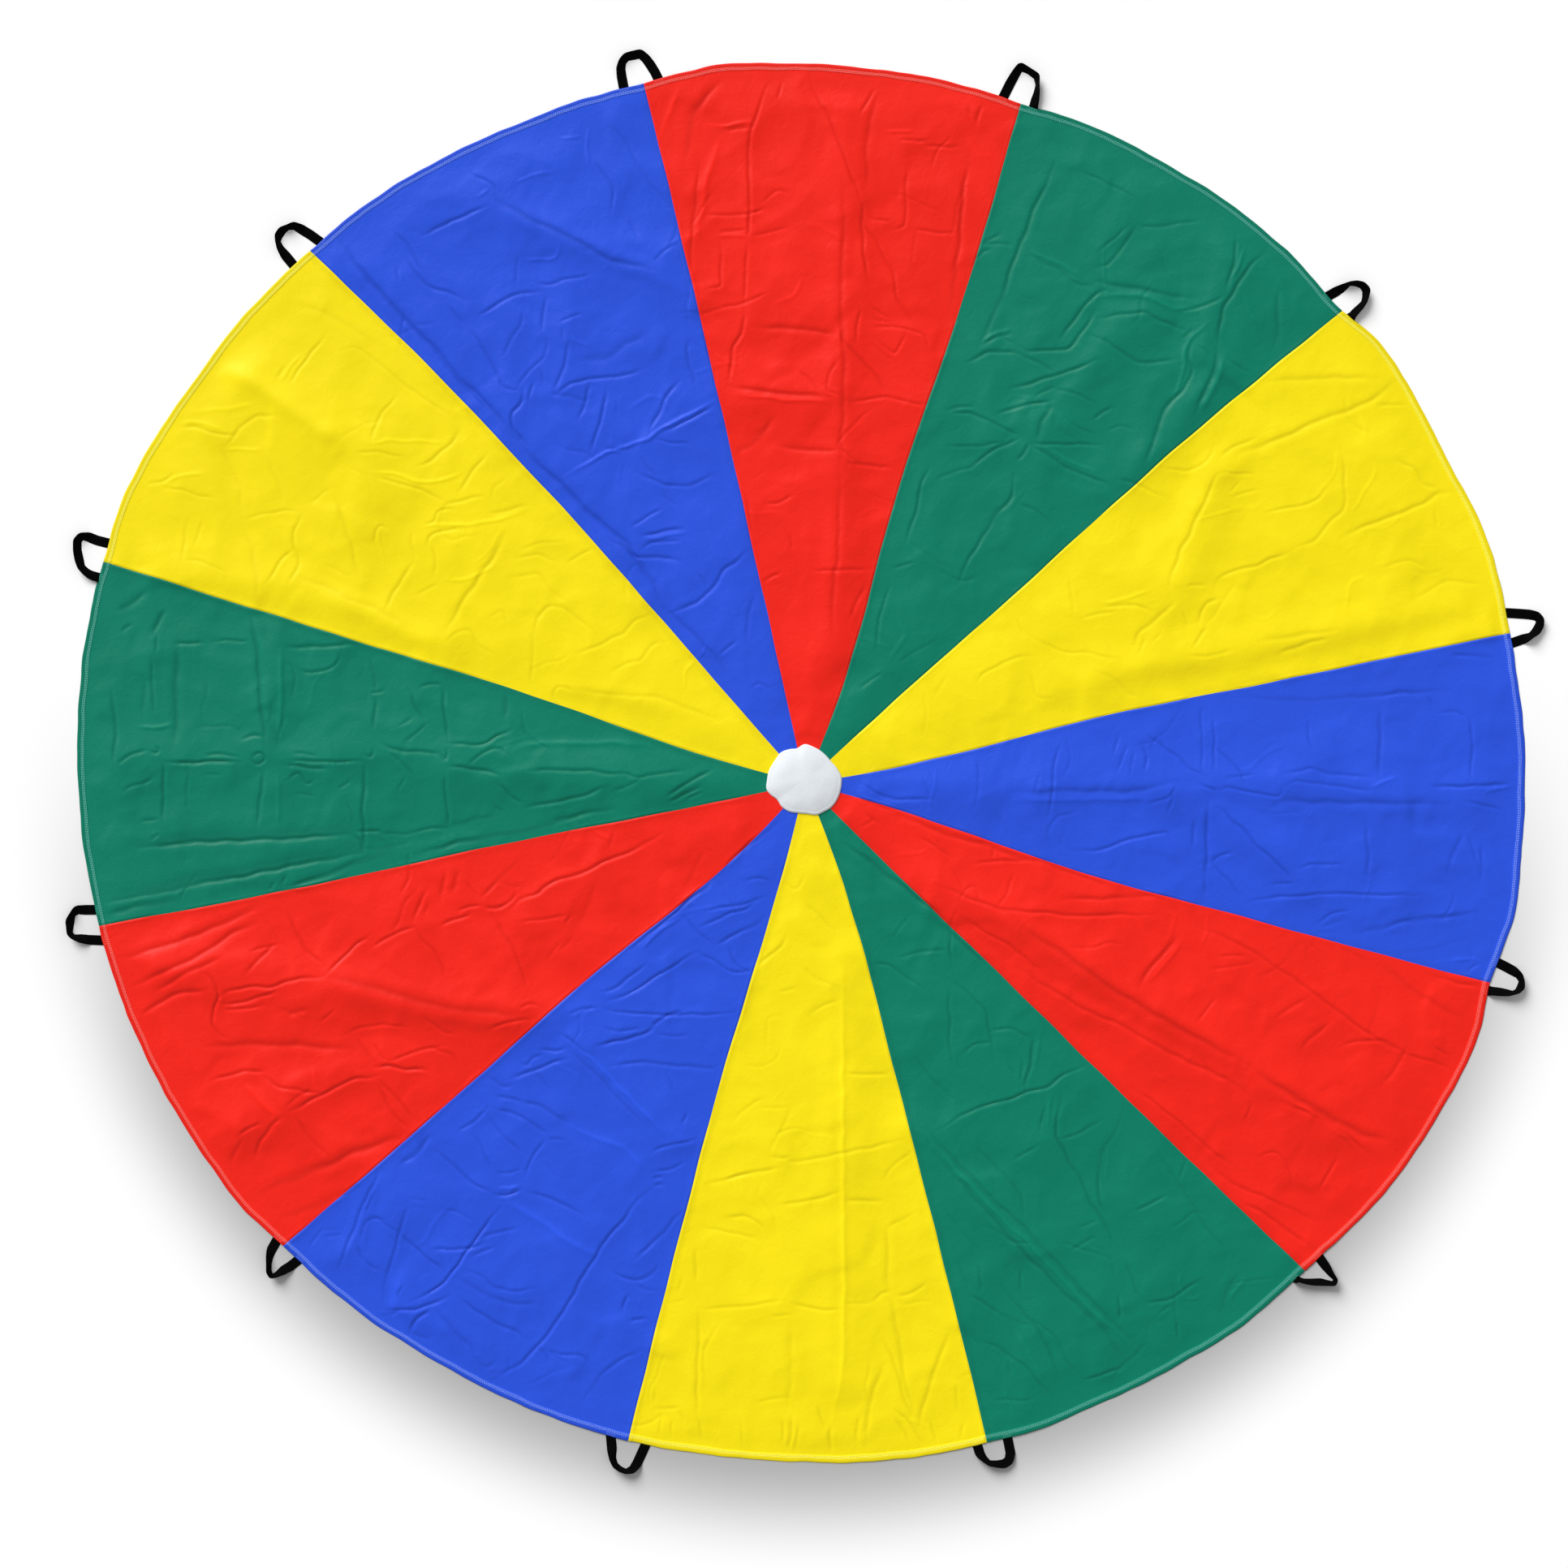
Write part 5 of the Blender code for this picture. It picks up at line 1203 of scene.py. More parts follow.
def through(known, values, wanted):
    """A smooth curve through values at rising places, read at the wanted ones."""
    known, values, wanted = np.asarray(known, float), np.asarray(values, float), np.asarray(wanted, float)
    slopes = np.gradient(values, known)
    i = np.clip(np.searchsorted(known, wanted) - 1, 0, len(known) - 2)
    step = known[i + 1] - known[i]
    u = np.clip((wanted - known[i]) / step, 0, 1)
    return (
        (2 * u**3 - 3 * u**2 + 1) * values[i]
        + (u**3 - 2 * u**2 + u) * slopes[i] * step
        + (3 * u**2 - 2 * u**3) * values[i + 1]
        + (u**3 - u**2) * slopes[i + 1] * step
    )


def runs_along(line):
    """How far along a line each of its points lies."""
    return np.concatenate([[0], np.cumsum(np.linalg.norm(np.diff(line, axis=0), axis=1))])


def read_along(line, runs, wanted):
    """The places at wanted distances along a line."""
    return np.stack([np.interp(wanted, runs, line[:, k]) for k in (0, 1)], axis=1)


def even_out(values):
    """Evens each value out with its neighbours, and keeps the ends."""
    values[1:-1] = (values[:-2] + 2 * values[1:-1] + values[2:]) / 4


def directions(line):
    """Which way a line runs at each of its points."""
    run = np.gradient(line, axis=0)
    return run / np.linalg.norm(run, axis=1)[:, None]


def outline_table(spots):
    """Rising bearings round an outline and its radius at each, with enough overlap to close it."""
    bearings = np.unwrap(bearing_of(spots))
    return np.concatenate([bearings - TURN, bearings, bearings + TURN]), np.tile(radius_of(spots), 3)


HEM_BEARINGS, HEM_RADII = outline_table(
    places([pixel for seam, between in zip(SEAMS_PX, HEM_PX) for pixel in (seam[-1], *between)])
)
CAP_BEARINGS, CAP_RADII = outline_table(places(CAP_EDGE_PX) - place(CAP_CENTRE_PX))


def hem_radius(bearing):
    return through(HEM_BEARINGS, HEM_RADII, bearing)


def cap_radius(bearing):
    """The cap's radius at a bearing about its own centre."""
    return through(CAP_BEARINGS, CAP_RADII, bearing % TURN)


def seam_table(seam):
    """A seam's rising radii and the bearing at each, turned on so that the seams' bearings rise."""
    turns, seam = divmod(seam, GORE_COUNT)
    spots = places(SEAMS_PX[seam])
    bearings = np.unwrap(bearing_of(spots))
    first = bearing_of(place(SEAMS_PX[0][-1]))
    rise = (bearings[-1] - first) % TURN - (bearings[-1] - first)
    return radius_of(spots), bearings + rise + turns * TURN


def gore_ends(gore):
    """The bearings of a gore's two seams at the hem."""
    return [seam_table(gore + side)[1][-1] for side in (0, 1)]


def gore_colour(gore):
    return list(CLOTH_COLOURS)[gore % len(CLOTH_COLOURS)]


def gore_name(gore):
    return f"gore_{gore + 1:02d}_{gore_colour(gore)}"


def handle_name(handle):
    return f"handle_{handle + 1:02d}"


def handle_hinge(handle):
    """A handle's hinge at the hem, and the direction out from it."""
    joint = JOINTS[f"{handle_name(handle)}_fold"]
    axis = joint["axis"]
    return np.array(joint["pos_m"]), np.array([-axis[1], axis[0], 0])


def handle_bearing(handle):
    """The bearing half-way between a strap's two ends."""
    ends = places([pixels[:2] for pixels in (HANDLES_PX[handle][0], HANDLES_PX[handle][-1])])
    return bearing_of(ends.mean(0))


HANDLE_BEARINGS = [handle_bearing(handle) for handle in range(GORE_COUNT)]


def lattice_noise(points, size, seed):
    """Smooth seeded noise from about -1 to 1, with features of a size."""
    turns = np.random.default_rng(seed).uniform(0, TURN, (NOISE_CELLS, NOISE_CELLS))
    spots = points / size
    cells = np.floor(spots).astype(int)
    inside = spots - cells
    fade = inside**3 * (inside * (6 * inside - 15) + 10)
    corners = []
    for i, j in ((0, 0), (1, 0), (0, 1), (1, 1)):
        turn = turns[(cells[:, 0] + i) % NOISE_CELLS, (cells[:, 1] + j) % NOISE_CELLS]
        corners.append(np.cos(turn) * (inside[:, 0] - i) + np.sin(turn) * (inside[:, 1] - j))
    low = corners[0] + fade[:, 0] * (corners[1] - corners[0])
    high = corners[2] + fade[:, 0] * (corners[3] - corners[2])
    return NOISE_GAIN * (low + fade[:, 1] * (high - low))


def noise_pair(points, size, seeds):
    """Two noises, to move points by."""
    return np.stack([lattice_noise(points, size, seed) for seed in seeds], axis=1)


def near_line(points, line, reach):
    """Which points are near a line, how far each of them is, and how far along it, as a share."""
    low, high = line.min(0) - reach, line.max(0) + reach
    chosen = np.flatnonzero(((points >= low) & (points <= high)).all(1))
    spots = points[chosen]
    best = np.full(len(spots), np.inf)
    along = np.zeros(len(spots))
    lengths = np.linalg.norm(np.diff(line, axis=0), axis=1)
    runs = runs_along(line)
    for start, end, length, before in zip(line, line[1:], lengths, runs):
        u = np.clip((spots - start) @ (end - start) / length**2, 0, 1)
        far = np.linalg.norm(spots - start - u[:, None] * (end - start), axis=1)
        nearer = far < best
        best[nearer] = far[nearer]
        along[nearer] = (before + u[nearer] * length) / runs[-1]
    return chosen, best, along


def curved(line):
    """The line as evenly spaced points of a smooth curve through its own points."""
    runs = runs_along(line)
    wanted = np.linspace(0, runs[-1], max(2, round(runs[-1] / SOFT_FOLD_STEP)))
    return np.stack([through(runs, line[:, k], wanted) for k in (0, 1)], axis=1)


def kinked(line):
    """The line as evenly spaced points, with tight bends at its own points and a slight waver."""
    runs = runs_along(line)
    wanted = np.linspace(0, runs[-1], max(3, round(runs[-1] / CREASE_STEP)))
    bent = read_along(line, runs, wanted)
    bent[1:-1] += CREASE_WAVER * noise_pair(bent, CREASE_WAVER_SIZE, CREASE_WAVER_SEEDS)[1:-1]
    even_out(bent)
    return bent


def stray_creases():
    """Small creases all over, each a short bent line, with its depth and width."""
    rng = np.random.default_rng(STRAY_SEED)
    inner, outer = STRAY_RADII
    found = []
    for gore in range(GORE_COUNT):
        first, last = gore_ends(gore)
        for _ in range(STRAY_CREASES):
            bearing = rng.uniform(first, last)
            middle = at(bearing, math.sqrt(rng.uniform(inner**2, outer**2)))
            turn = rng.uniform(0, TURN) + np.cumsum(rng.normal(0, STRAY_BEND, STRAY_STEPS))
            run = rng.uniform(*STRAY_RUNS, STRAY_STEPS)
            steps = run[:, None] * np.column_stack([np.cos(turn), np.sin(turn)])
            line = middle + np.concatenate([[(0, 0)], np.cumsum(steps, axis=0)])
            depth = rng.uniform(*STRAY_DEPTHS) * rng.choice(STRAY_SIGNS)
            found.append((kinked(line), depth, rng.uniform(*STRAY_WIDTHS)))
    return found


ALL_CREASES = [(kinked(places(pixels)), depth, width) for depth, width, pixels in CREASES_PX]
ALL_CREASES += stray_creases()


def main_fold_rise(points):
    rise = np.zeros(len(points))
    for pixels, height, width in MAIN_FOLDS_PX:
        half_width = width * FOLD_HALF_WIDTH
        chosen, far, along = near_line(points, places(pixels), 3 * half_width)
        ends = 1 - (1 - FOLD_END_SHARE) * (2 * along - 1) ** 2
        rise[chosen] = np.maximum(rise[chosen], height * FOLD_HEIGHT * ends * hump(far, half_width))
    return rise


def soft_fold_rise(points):
    rise = np.zeros(len(points))
    for height, width, pixels in SOFT_FOLDS_PX:
        half_width = width * SOFT_FOLD_WIDTH
        chosen, far, along = near_line(points, curved(places(pixels)), 3 * half_width)
        ends = smooth(0, SOFT_FOLD_FADE, along) * smooth(0, SOFT_FOLD_FADE, 1 - along)
        rise[chosen] += height * SOFT_FOLD_HEIGHT * ends * hump(far, half_width)
    return rise


def crease_rise(points):
    """The creases' height at points, and the painted shading along them: painted shade in a valley, a painted
    highlight on a ridge.
    """
    rise, painted_crease_shading = np.zeros(len(points)), np.zeros(len(points))
    low, high = points.min(0), points.max(0)
    for line, depth, width_share in ALL_CREASES:
        if (line.max(0) < low).any() or (line.min(0) > high).any():
            continue
        width = width_share * CREASE_WIDTH
        shoulder = CREASE_SHOULDER_WIDTH_SHARE * width
        chosen, far, along = near_line(points, line, CREASE_REACH_SHARE * shoulder)
        fade = smooth(0, CREASE_FADE, along) * smooth(0, CREASE_FADE, 1 - along)
        ends = CREASE_END_SHARE + (1 - CREASE_END_SHARE) * fade
        dip = CREASE_SHOULDER_SHARE * hump(far, shoulder) - hump(far, width)
        rise[chosen] += depth * CREASE_DEPTH * ends * dip
        # Painted shade along a valley, painted highlight along a ridge
        painted_crease_shading[chosen] += depth * ends * hump(far, width_share * PAINTED_CREASE_SHADING_WIDTH)
    return rise, np.clip(painted_crease_shading, -1, 1)


def patch_rise(points, size, slope, seed):
    """Nearly flat patches, each tilted its own way, with a small crisp step where two of them meet."""
    rng = np.random.default_rng(seed)
    jitter = rng.uniform(*PATCH_JITTER, (PATCH_CELLS, PATCH_CELLS, 2))
    tilts = rng.normal(0, slope, (PATCH_CELLS, PATCH_CELLS, 2))
    cells = np.floor(points / size).astype(int)
    weights, heights = np.zeros(len(points)), np.zeros(len(points))
    for i, j in np.ndindex(3, 3):
        cell = cells + (i - 1, j - 1)
        key = tuple((cell % PATCH_CELLS).T)
        away = points - (cell + jitter[key]) * size
        weight = np.exp(-PATCH_SHARPNESS * (away**2).sum(1) / size**2)
        weights += weight
        heights += weight * (tilts[key] * away).sum(1)
    return heights / weights


def crumple_rise(points):
    """Facets that meet in creases: the cloth's small leftover wrinkles."""
    bent = points + WARP_REACH * noise_pair(points, WARP_SIZE, WARP_SEEDS)
    rise = np.zeros(len(points))
    for k, (size, share) in enumerate(CRUMPLE_SIZES):
        rise += share * (CRUMPLE_LEVEL - 2 * np.abs(lattice_noise(bent, size, CRUMPLE_SEED + k)))
    bent += KINK_REACH * noise_pair(points, KINK_SIZE, KINK_SEEDS)
    patches = sum(
        patch_rise(bent, size, slope, PATCH_SEED + k) for k, (size, slope) in enumerate(PATCH_SIZES)
    )
    return CRUMPLE_HEIGHT * rise + patches


def handle_nearness(bearing):
    """1 beside a handle and 0 well away from it, where the hem lies on the floor."""
    near = np.zeros_like(bearing)
    for middle in HANDLE_BEARINGS:
        away = np.abs(turned_to(0, bearing - middle)) * CANOPY_RADIUS
        near = np.maximum(near, 1 - smooth(HANDLE_NEAR, HANDLE_FAR, away))
    return near


def gore_spot(gore, flat):
    """How far across a gore flat points lie, how far in from the hem's edge, and the width there."""
    radius = radius_of(flat)
    bearing = turned_to(sum(gore_ends(gore)) / 2, bearing_of(flat))
    left, right = (through(*seam_table(gore + side), radius) for side in (0, 1))
    return (bearing - left) / (right - left), hem_radius(bearing) - radius, radius * (right - left)


def rippled(flat, inset):
    """Flat points moved a little, for seams and an outline that aren't quite even."""
    radius = radius_of(flat)
    out = sum(
        share * lattice_noise(flat, size, HEM_RIPPLE_SEED + k)
        for k, (size, share) in enumerate(HEM_RIPPLE_SIZES)
    )
    out *= HEM_RIPPLE * (1 - smooth(0.0, HEM_RIPPLE_REACH, inset)) / radius
    inner = smooth(CAP_REACH, 3 * CAP_REACH, radius) * smooth(0.0, SEAM_RIPPLE_REACH, inset)
    wave = noise_pair(flat, SEAM_RIPPLE_SIZE, SEAM_RIPPLE_SEEDS)
    return flat * (1 + out)[:, None] + SEAM_RIPPLE * inner[:, None] * wave


def seam_rise(gap):
    """The ridge and the groove at a distance from a seam."""
    ridge = SEAM_RIDGE * hump(gap - SEAM_RIDGE_PLACE, SEAM_RIDGE_WIDTH)
    return ridge - SEAM_GROOVE * hump(gap, SEAM_GROOVE_WIDTH)


def cloth_thickness(inset):
    """The cloth's thickness at a distance in from the hem's edge: doubled and puffed in the hem."""
    hem = 1 - smooth(HEM_WIDTH, HEM_WIDTH + HEM_STEP, inset)
    thickness = CLOTH_THICKNESS + (HEM_THICKNESS - CLOTH_THICKNESS) * hem
    thickness += HEM_PUFF * np.sin(math.pi * np.clip(inset / HEM_PUFF_WIDTH, 0, 1)) ** 2
    return thickness * (HEM_EDGE_SHARE + (1 - HEM_EDGE_SHARE) * smooth(0, HEM_STEP, inset))


def hem_tone_and_painted_light(inset):
    """The hem's dark outer strip, and a painted pale strip under its thread that offsets the thread's shade.
    """
    dark = HEM_DARK_SHARE * (1 - smooth(HEM_DARK_WIDTH, HEM_DARK_WIDTH + 2 * HEM_STEP, inset))
    return dark - HEM_PAINTED_LIGHT_SHARE * hump(inset - HEM_PAINTED_LIGHT_PLACE, HEM_PAINTED_LIGHT_WIDTH)


def crispness(gore, gap):
    """How strong a gore's creases are at a distance from its seams: weaker on the yellow ones."""
    if gore_colour(gore) != "yellow":
        return np.ones(len(gap))
    return 1 - (1 - YELLOW_CREASE_SHARE) * smooth(0, SEAM_CALM_MARGIN, gap)


def lie(gore, flat):
    """Where flat points of a gore come to lie: their places, underside, top and tone, with painted shade and
    highlight.
    """
    across, inset, width = gore_spot(gore, flat)
    radius = radius_of(flat)
    spots = rippled(flat, inset)
    gap = np.clip(np.minimum(across, 1 - across), 0, 1) * width
    crisp = crispness(gore, gap)
    edge_share = smooth(-CALM_MARGIN, -HEM_WIDTH, -inset)
    calm = smooth(CAP_REACH, CAP_REACH + CALM_MARGIN, radius) * (1 - edge_share)
    lively = smooth(CAP_REACH, CAP_REACH + CREASE_CALM_MARGIN, radius)
    lively *= 1 - HEM_CALM_SHARE * smooth(-2 * CREASE_CALM_MARGIN, -HEM_WIDTH / 2, -inset)
    off_cap = smooth(CAP_REACH, 2 * CAP_REACH, radius)
    held = smooth(-CALM_MARGIN, -CALM_MARGIN / 3, -inset) * handle_nearness(bearing_of(flat))
    creased, painted_crease_shading = crease_rise(spots)
    rise = calm * (main_fold_rise(spots) + PUFF_HEIGHT * np.sin(math.pi * np.clip(across, 0, 1)))
    rise += lively * (soft_fold_rise(spots) + crisp * (creased + crumple_rise(spots)))
    rise += off_cap * seam_rise(gap)
    rise += LOWEST_RISE * off_cap * (1 - held)
    bottom = FLOOR_GAP + FLOOR_SOFTNESS * np.logaddexp(0, (rise - LOWEST_RISE) / FLOOR_SOFTNESS)
    lap = 1 - smooth(SEAM_BAND, SEAM_BAND_END, (1 - across) * width)
    # Darker at doubled laps and the hem's dark edge; painted shade in crease valleys, painted highlight on
    # crease ridges and a painted pale strip under the hem's thread
    tone_and_painted_light = hem_tone_and_painted_light(inset) + PAINTED_CREASE_SHADING_SHARE * painted_crease_shading * lively * crisp + LAP_SHARE * lap
    return spots, bottom, bottom + cloth_thickness(inset), np.clip(tone_and_painted_light, -1, 1)


def seam_points(seam):
    """The points along a seam from the crown to the hem."""
    radii, turns = seam_table(seam)
    count = round((radii[-1] - TIP_RADIUS) / EDGE_STEP)
    radius = np.linspace(TIP_RADIUS, hem_radius(turns[-1]), count)
    return at(through(radii, turns, radius), radius)


def hem_line(gore, inset, step):
    """A line of points along a gore's hem, at a distance in from its edge."""
    first, last = gore_ends(gore)
    bearing = np.linspace(first, last, round((last - first) * CANOPY_RADIUS / step) + 1)
    return at(bearing, hem_radius(bearing) - inset)


def side_rows(line, offsets):
    """Rows of points at distances from a line."""
    run = directions(line)
    side = np.stack([-run[:, 1], run[:, 0]], axis=1)
    return [line + offset * side for offset in offsets]


def refined(line):
    """A line with a point half-way along each of its steps."""
    halves = (line[1:] + line[:-1]) / 2
    both = np.empty((len(line) + len(halves), 2))
    both[0::2], both[1::2] = line, halves
    return both


def crease_points(low, high):
    """Rows of points along the creases in a region, those on the creases first."""
    signed = sorted({sign * row for row in CREASE_ROWS for sign in (1, -1)}, key=abs)
    rows = [
        side_rows(refined(line), signed)
        for line, _, _ in ALL_CREASES
        if (line.max(0) > low).all() and (line.min(0) < high).all()
    ]
    return np.concatenate([row[k] for k in range(len(signed)) for row in rows])


def cell_keys(cells):
    return cells[:, 0] * ROW_KEY + cells[:, 1]


def cells_of(points, size):
    """Which cell of a square grid each point lies in."""
    return np.floor(points / size).astype(np.int64)


def apart(points, size):
    """The first point in each cell of a square grid, in the points' own order."""
    _, first = np.unique(cell_keys(cells_of(points, size)), return_index=True)
    return points[np.sort(first)]


def clear_of(points, others, size):
    """The points with no other point in their own or a neighbouring cell."""
    taken = cells_of(others, size)
    blocked = np.concatenate([taken + (i - 1, j - 1) for i, j in np.ndindex(3, 3)])
    return points[~np.isin(cell_keys(cells_of(points, size)), np.unique(cell_keys(blocked)))]


def grid_points(low, high):
    """An even triangular grid over a region."""
    rise = CELL * math.sqrt(3) / 2
    rows = np.arange(math.floor(low[1] / rise), math.ceil(high[1] / rise))
    columns = np.arange(math.floor(low[0] / CELL) - 1, math.ceil(high[0] / CELL) + 1)
    column, row = np.meshgrid(columns, rows)
    return np.column_stack([((column + 0.5 * (row % 2)) * CELL).ravel(), (row * rise).ravel()])


def gore_border(gore):
    """The closed outline of a gore, laid flat."""
    first, last = seam_points(gore), seam_points(gore + 1)
    low, high = bearing_of(first[0]), bearing_of(last[0])
    tip_turns = np.linspace(high, high - (high - low) % TURN, TIP_POINTS)
    hem = hem_line(gore, 0, EDGE_STEP)
    return np.concatenate([first, hem[1:-1], last[::-1], at(tip_turns, TIP_RADIUS)[1:-1]])


def gore_inside(gore, border):
    """The points inside a gore, close together along its hem, seams and creases."""
    low, high = border.min(0), border.max(0)
    hem_rows = np.concatenate([hem_line(gore, inset, EDGE_STEP) for inset in HEM_ROWS])
    left_rows = side_rows(seam_points(gore), [-row for row in SEAM_ROWS])
    seam_rows = np.concatenate(left_rows + side_rows(seam_points(gore + 1), SEAM_ROWS))
    beside = clear_of(apart(seam_rows, SEAM_POINT_SPACE), hem_rows, ROW_SPACE)
    creases = clear_of(crease_points(low, high), np.concatenate([hem_rows, beside]), ROW_SPACE)
    rows = np.concatenate([hem_rows, beside, apart(creases, CREASE_POINT_SPACE)])
    inside = np.concatenate([rows, clear_of(grid_points(low, high), rows, GRID_SPACE)])
    across, inset, width = gore_spot(gore, inside)
    kept = (across * width > SEAM_CLEARANCE) & ((1 - across) * width > SEAM_CLEARANCE)
    kept &= (inset > HEM_CLEARANCE) & (radius_of(inside) > TIP_RADIUS + TIP_CLEARANCE)
    return inside[kept]


def mesh_object(name, points, faces, material, smooth_angle=math.radians(40), uv=None):
    """A mesh with smooth faces. Faces are one array of triangles, or a list of any polygons."""
    mesh = bpy.data.meshes.new(name)
    if isinstance(faces, np.ndarray):
        mesh.vertices.add(len(points))
        mesh.vertices.foreach_set("co", np.asarray(points, np.float32).ravel())
        mesh.loops.add(faces.size)
        mesh.loops.foreach_set("vertex_index", faces.astype(np.int32).ravel())
        mesh.polygons.add(len(faces))
        mesh.polygons.foreach_set("loop_start", np.arange(0, faces.size, faces.shape[1], dtype=np.int32))
        mesh.update(calc_edges=True)
    else:
        mesh.from_pydata([tuple(point) for point in points], [], faces)
    mesh.validate()
    mesh.shade_smooth()
    if smooth_angle is not None:
        mesh.set_sharp_from_angle(angle=smooth_angle)
    if uv is not None:
        layer = mesh.uv_layers.new(name="cloth")
        corners = np.empty(len(mesh.loops), np.int32)
        mesh.loops.foreach_get("vertex_index", corners)
        layer.data.foreach_set("uv", np.asarray(uv, np.float32)[corners].ravel())
    mesh.materials.append(material)
    made = bpy.data.objects.new(name, mesh)
    bpy.context.scene.collection.objects.link(made)
    return made


def triangulated(border, inside):
    """Flat points and the triangles between them that fill a border, all facing up."""
    given = [Vector(point) for point in np.concatenate([border, inside]).tolist()]
    outline = list(range(len(border)))
    corners, _, triangles, _, _, _ = delaunay_2d_cdt(given, [], [outline], 1, JOIN_DISTANCE)
    flat = np.array([tuple(corner) for corner in corners])
    upper = np.array(triangles)
    x, y = flat[upper, 0], flat[upper, 1]
    turn = (x[:, 1] - x[:, 0]) * (y[:, 2] - y[:, 0]) - (x[:, 2] - x[:, 0]) * (y[:, 1] - y[:, 0])
    upper[turn < 0] = upper[turn < 0][:, ::-1]
    return flat, upper


def closed_faces(upper, total):
    """A top's triangles, the same ones turned over for its underside, and the walls between them."""
    edges = np.concatenate([upper[:, [0, 1]], upper[:, [1, 2]], upper[:, [2, 0]]])
    rim = edges[~np.isin(edges[:, 1] * total + edges[:, 0], edges[:, 0] * total + edges[:, 1])]
    start, end = rim[:, 0], rim[:, 1]
    walls = [np.column_stack([end, start, start + total]), np.column_stack([end, start + total, end + total])]
    return np.concatenate([upper, upper[:, ::-1] + total, *walls])


def make_gore(gore, border, material):
    """One wedge of crumpled cloth with a turned hem."""
    flat, upper = triangulated(border, gore_inside(gore, border))
    spots, bottom, top, tone_and_painted_light = lie(gore, flat)
    points = np.concatenate([np.column_stack([spots, top]), np.column_stack([spots, bottom])])
    faces = closed_faces(upper, len(flat))
    piece = mesh_object(f"{gore_name(gore)}_cloth", points, faces, material, uv=np.tile(flat, (2, 1)))
    # The cloth's tone, with its painted shade and highlight, for the material to read
    layer = piece.data.attributes.new("tone_and_painted_light", "FLOAT", "POINT")
    layer.data.foreach_set("value", np.tile(tone_and_painted_light, 2).astype(np.float32))
    return piece


def stitches(middles, runs, thickness):
    """Short rods of thread, each at a middle and along a run, as points and triangles."""
    rings, sides = len(STITCH_RINGS), STITCH_SIDES
    side = np.column_stack([-runs[:, 1], runs[:, 0], np.zeros(len(runs))])
    side /= np.linalg.norm(side, axis=1)[:, None]
    up = np.cross(runs, side)
    points = []
    for share, thick, lift in STITCH_RINGS:
        centre = middles + share * STITCH_LENGTH * runs + lift * THREAD_FLATNESS * thickness * up
        for angle in np.arange(sides) * TURN / sides:
            round_it = math.cos(angle) * side + THREAD_FLATNESS * math.sin(angle) * up
            points.append(centre + thickness * thick * round_it)
    faces = []
    for k in range(rings - 1):
        for s in range(sides):
            here, beyond = k * sides + s, k * sides + (s + 1) % sides
            faces += [(here, beyond, beyond + sides), (here, beyond + sides, here + sides)]
    last = (rings - 1) * sides
    for s in range(1, sides - 1):
        faces += [(0, s + 1, s), (last, last + s, last + s + 1)]
    offsets = np.arange(len(middles)) * rings * sides
    triangles = (np.array(faces)[None] + offsets[:, None, None]).reshape(-1, 3)
    return np.stack(points, axis=1).reshape(-1, 3), triangles


def thread_along(gore, flat, thickness, seed):
    """Stitches laid on a gore's top along a flat line, a stitch's pitch apart."""
    runs = runs_along(flat)
    count = max(2, round(runs[-1] / STITCH_PITCH))
    wanted = (np.arange(count) + 0.5) * runs[-1] / count

    def on_top(distances):
        spots, _, top, _ = lie(gore, read_along(flat, runs, distances))
        return np.column_stack([spots, top])

    middles = on_top(wanted)
    run = on_top(wanted + STITCH_LENGTH / 2) - on_top(wanted - STITCH_LENGTH / 2)
    run /= np.linalg.norm(run, axis=1)[:, None]
    wander = np.random.default_rng(seed).normal(0, STITCH_WANDER, (count, 1))
    middles[:, :2] += wander * np.column_stack([run[:, 1], -run[:, 0]])
    middles[:, 2] += THREAD_LIFT * thickness
    return stitches(middles, run, thickness)


def thread_object(name, rows, material):
    """One piece of thread from several rows of stitches."""
    starts = np.cumsum([0] + [len(points) for points, _ in rows])
    points = np.concatenate([points for points, _ in rows])
    faces = np.concatenate([faces + start for (_, faces), start in zip(rows, starts)])
    return mesh_object(name, points, faces, material, None)


def make_topstitch(gore, material):
    """The rows of thread along a gore's hem."""
    rows = [
        thread_along(gore, hem_line(gore, inset, CELL), THREAD_RADIUS, TOPSTITCH_SEED + gore + k)
        for k, inset in enumerate(TOPSTITCH_INSETS)
    ]
    return thread_object(f"{gore_name(gore)}_topstitch", rows, material)


def make_bartacks(handle, gore, material):
    """The short rows of thread that hold a handle under the hem of one of its two gores."""
    first, last = gore_ends(gore)
    spread = WEBBING_WIDTH / 2 / CANOPY_RADIUS
    rows = []
    for k, (x, y, _) in enumerate((HANDLES_PX[handle][0], HANDLES_PX[handle][-1])):
        near = turned_to((first + last) / 2, bearing_of(place((x, y))))
        low, high = max(near - spread, first), min(near + spread, last)
        if (high - low) * CANOPY_RADIUS < 2 * STITCH_PITCH:
            continue
        turns = np.linspace(low, high, BARTACK_POINTS)
        for row, inset in enumerate(BARTACK_INSETS):
            line = at(turns, hem_radius(turns) - inset)
            rows.append(thread_along(gore, line, BARTACK_THREAD_RADIUS, BARTACK_SEED + handle + k + row))
    return thread_object(f"{handle_name(handle)}_stitches_{gore + 1:02d}", rows, material)


def ring_places(share, edge):
    """Places round the cap's centre at a share of the way out to an edge, or the centre alone."""
    bearing = np.arange(len(edge)) * TURN / len(edge)
    spots = place(CAP_CENTRE_PX) + at(bearing, share * edge)
    return spots if share > 0 else spots[:1]


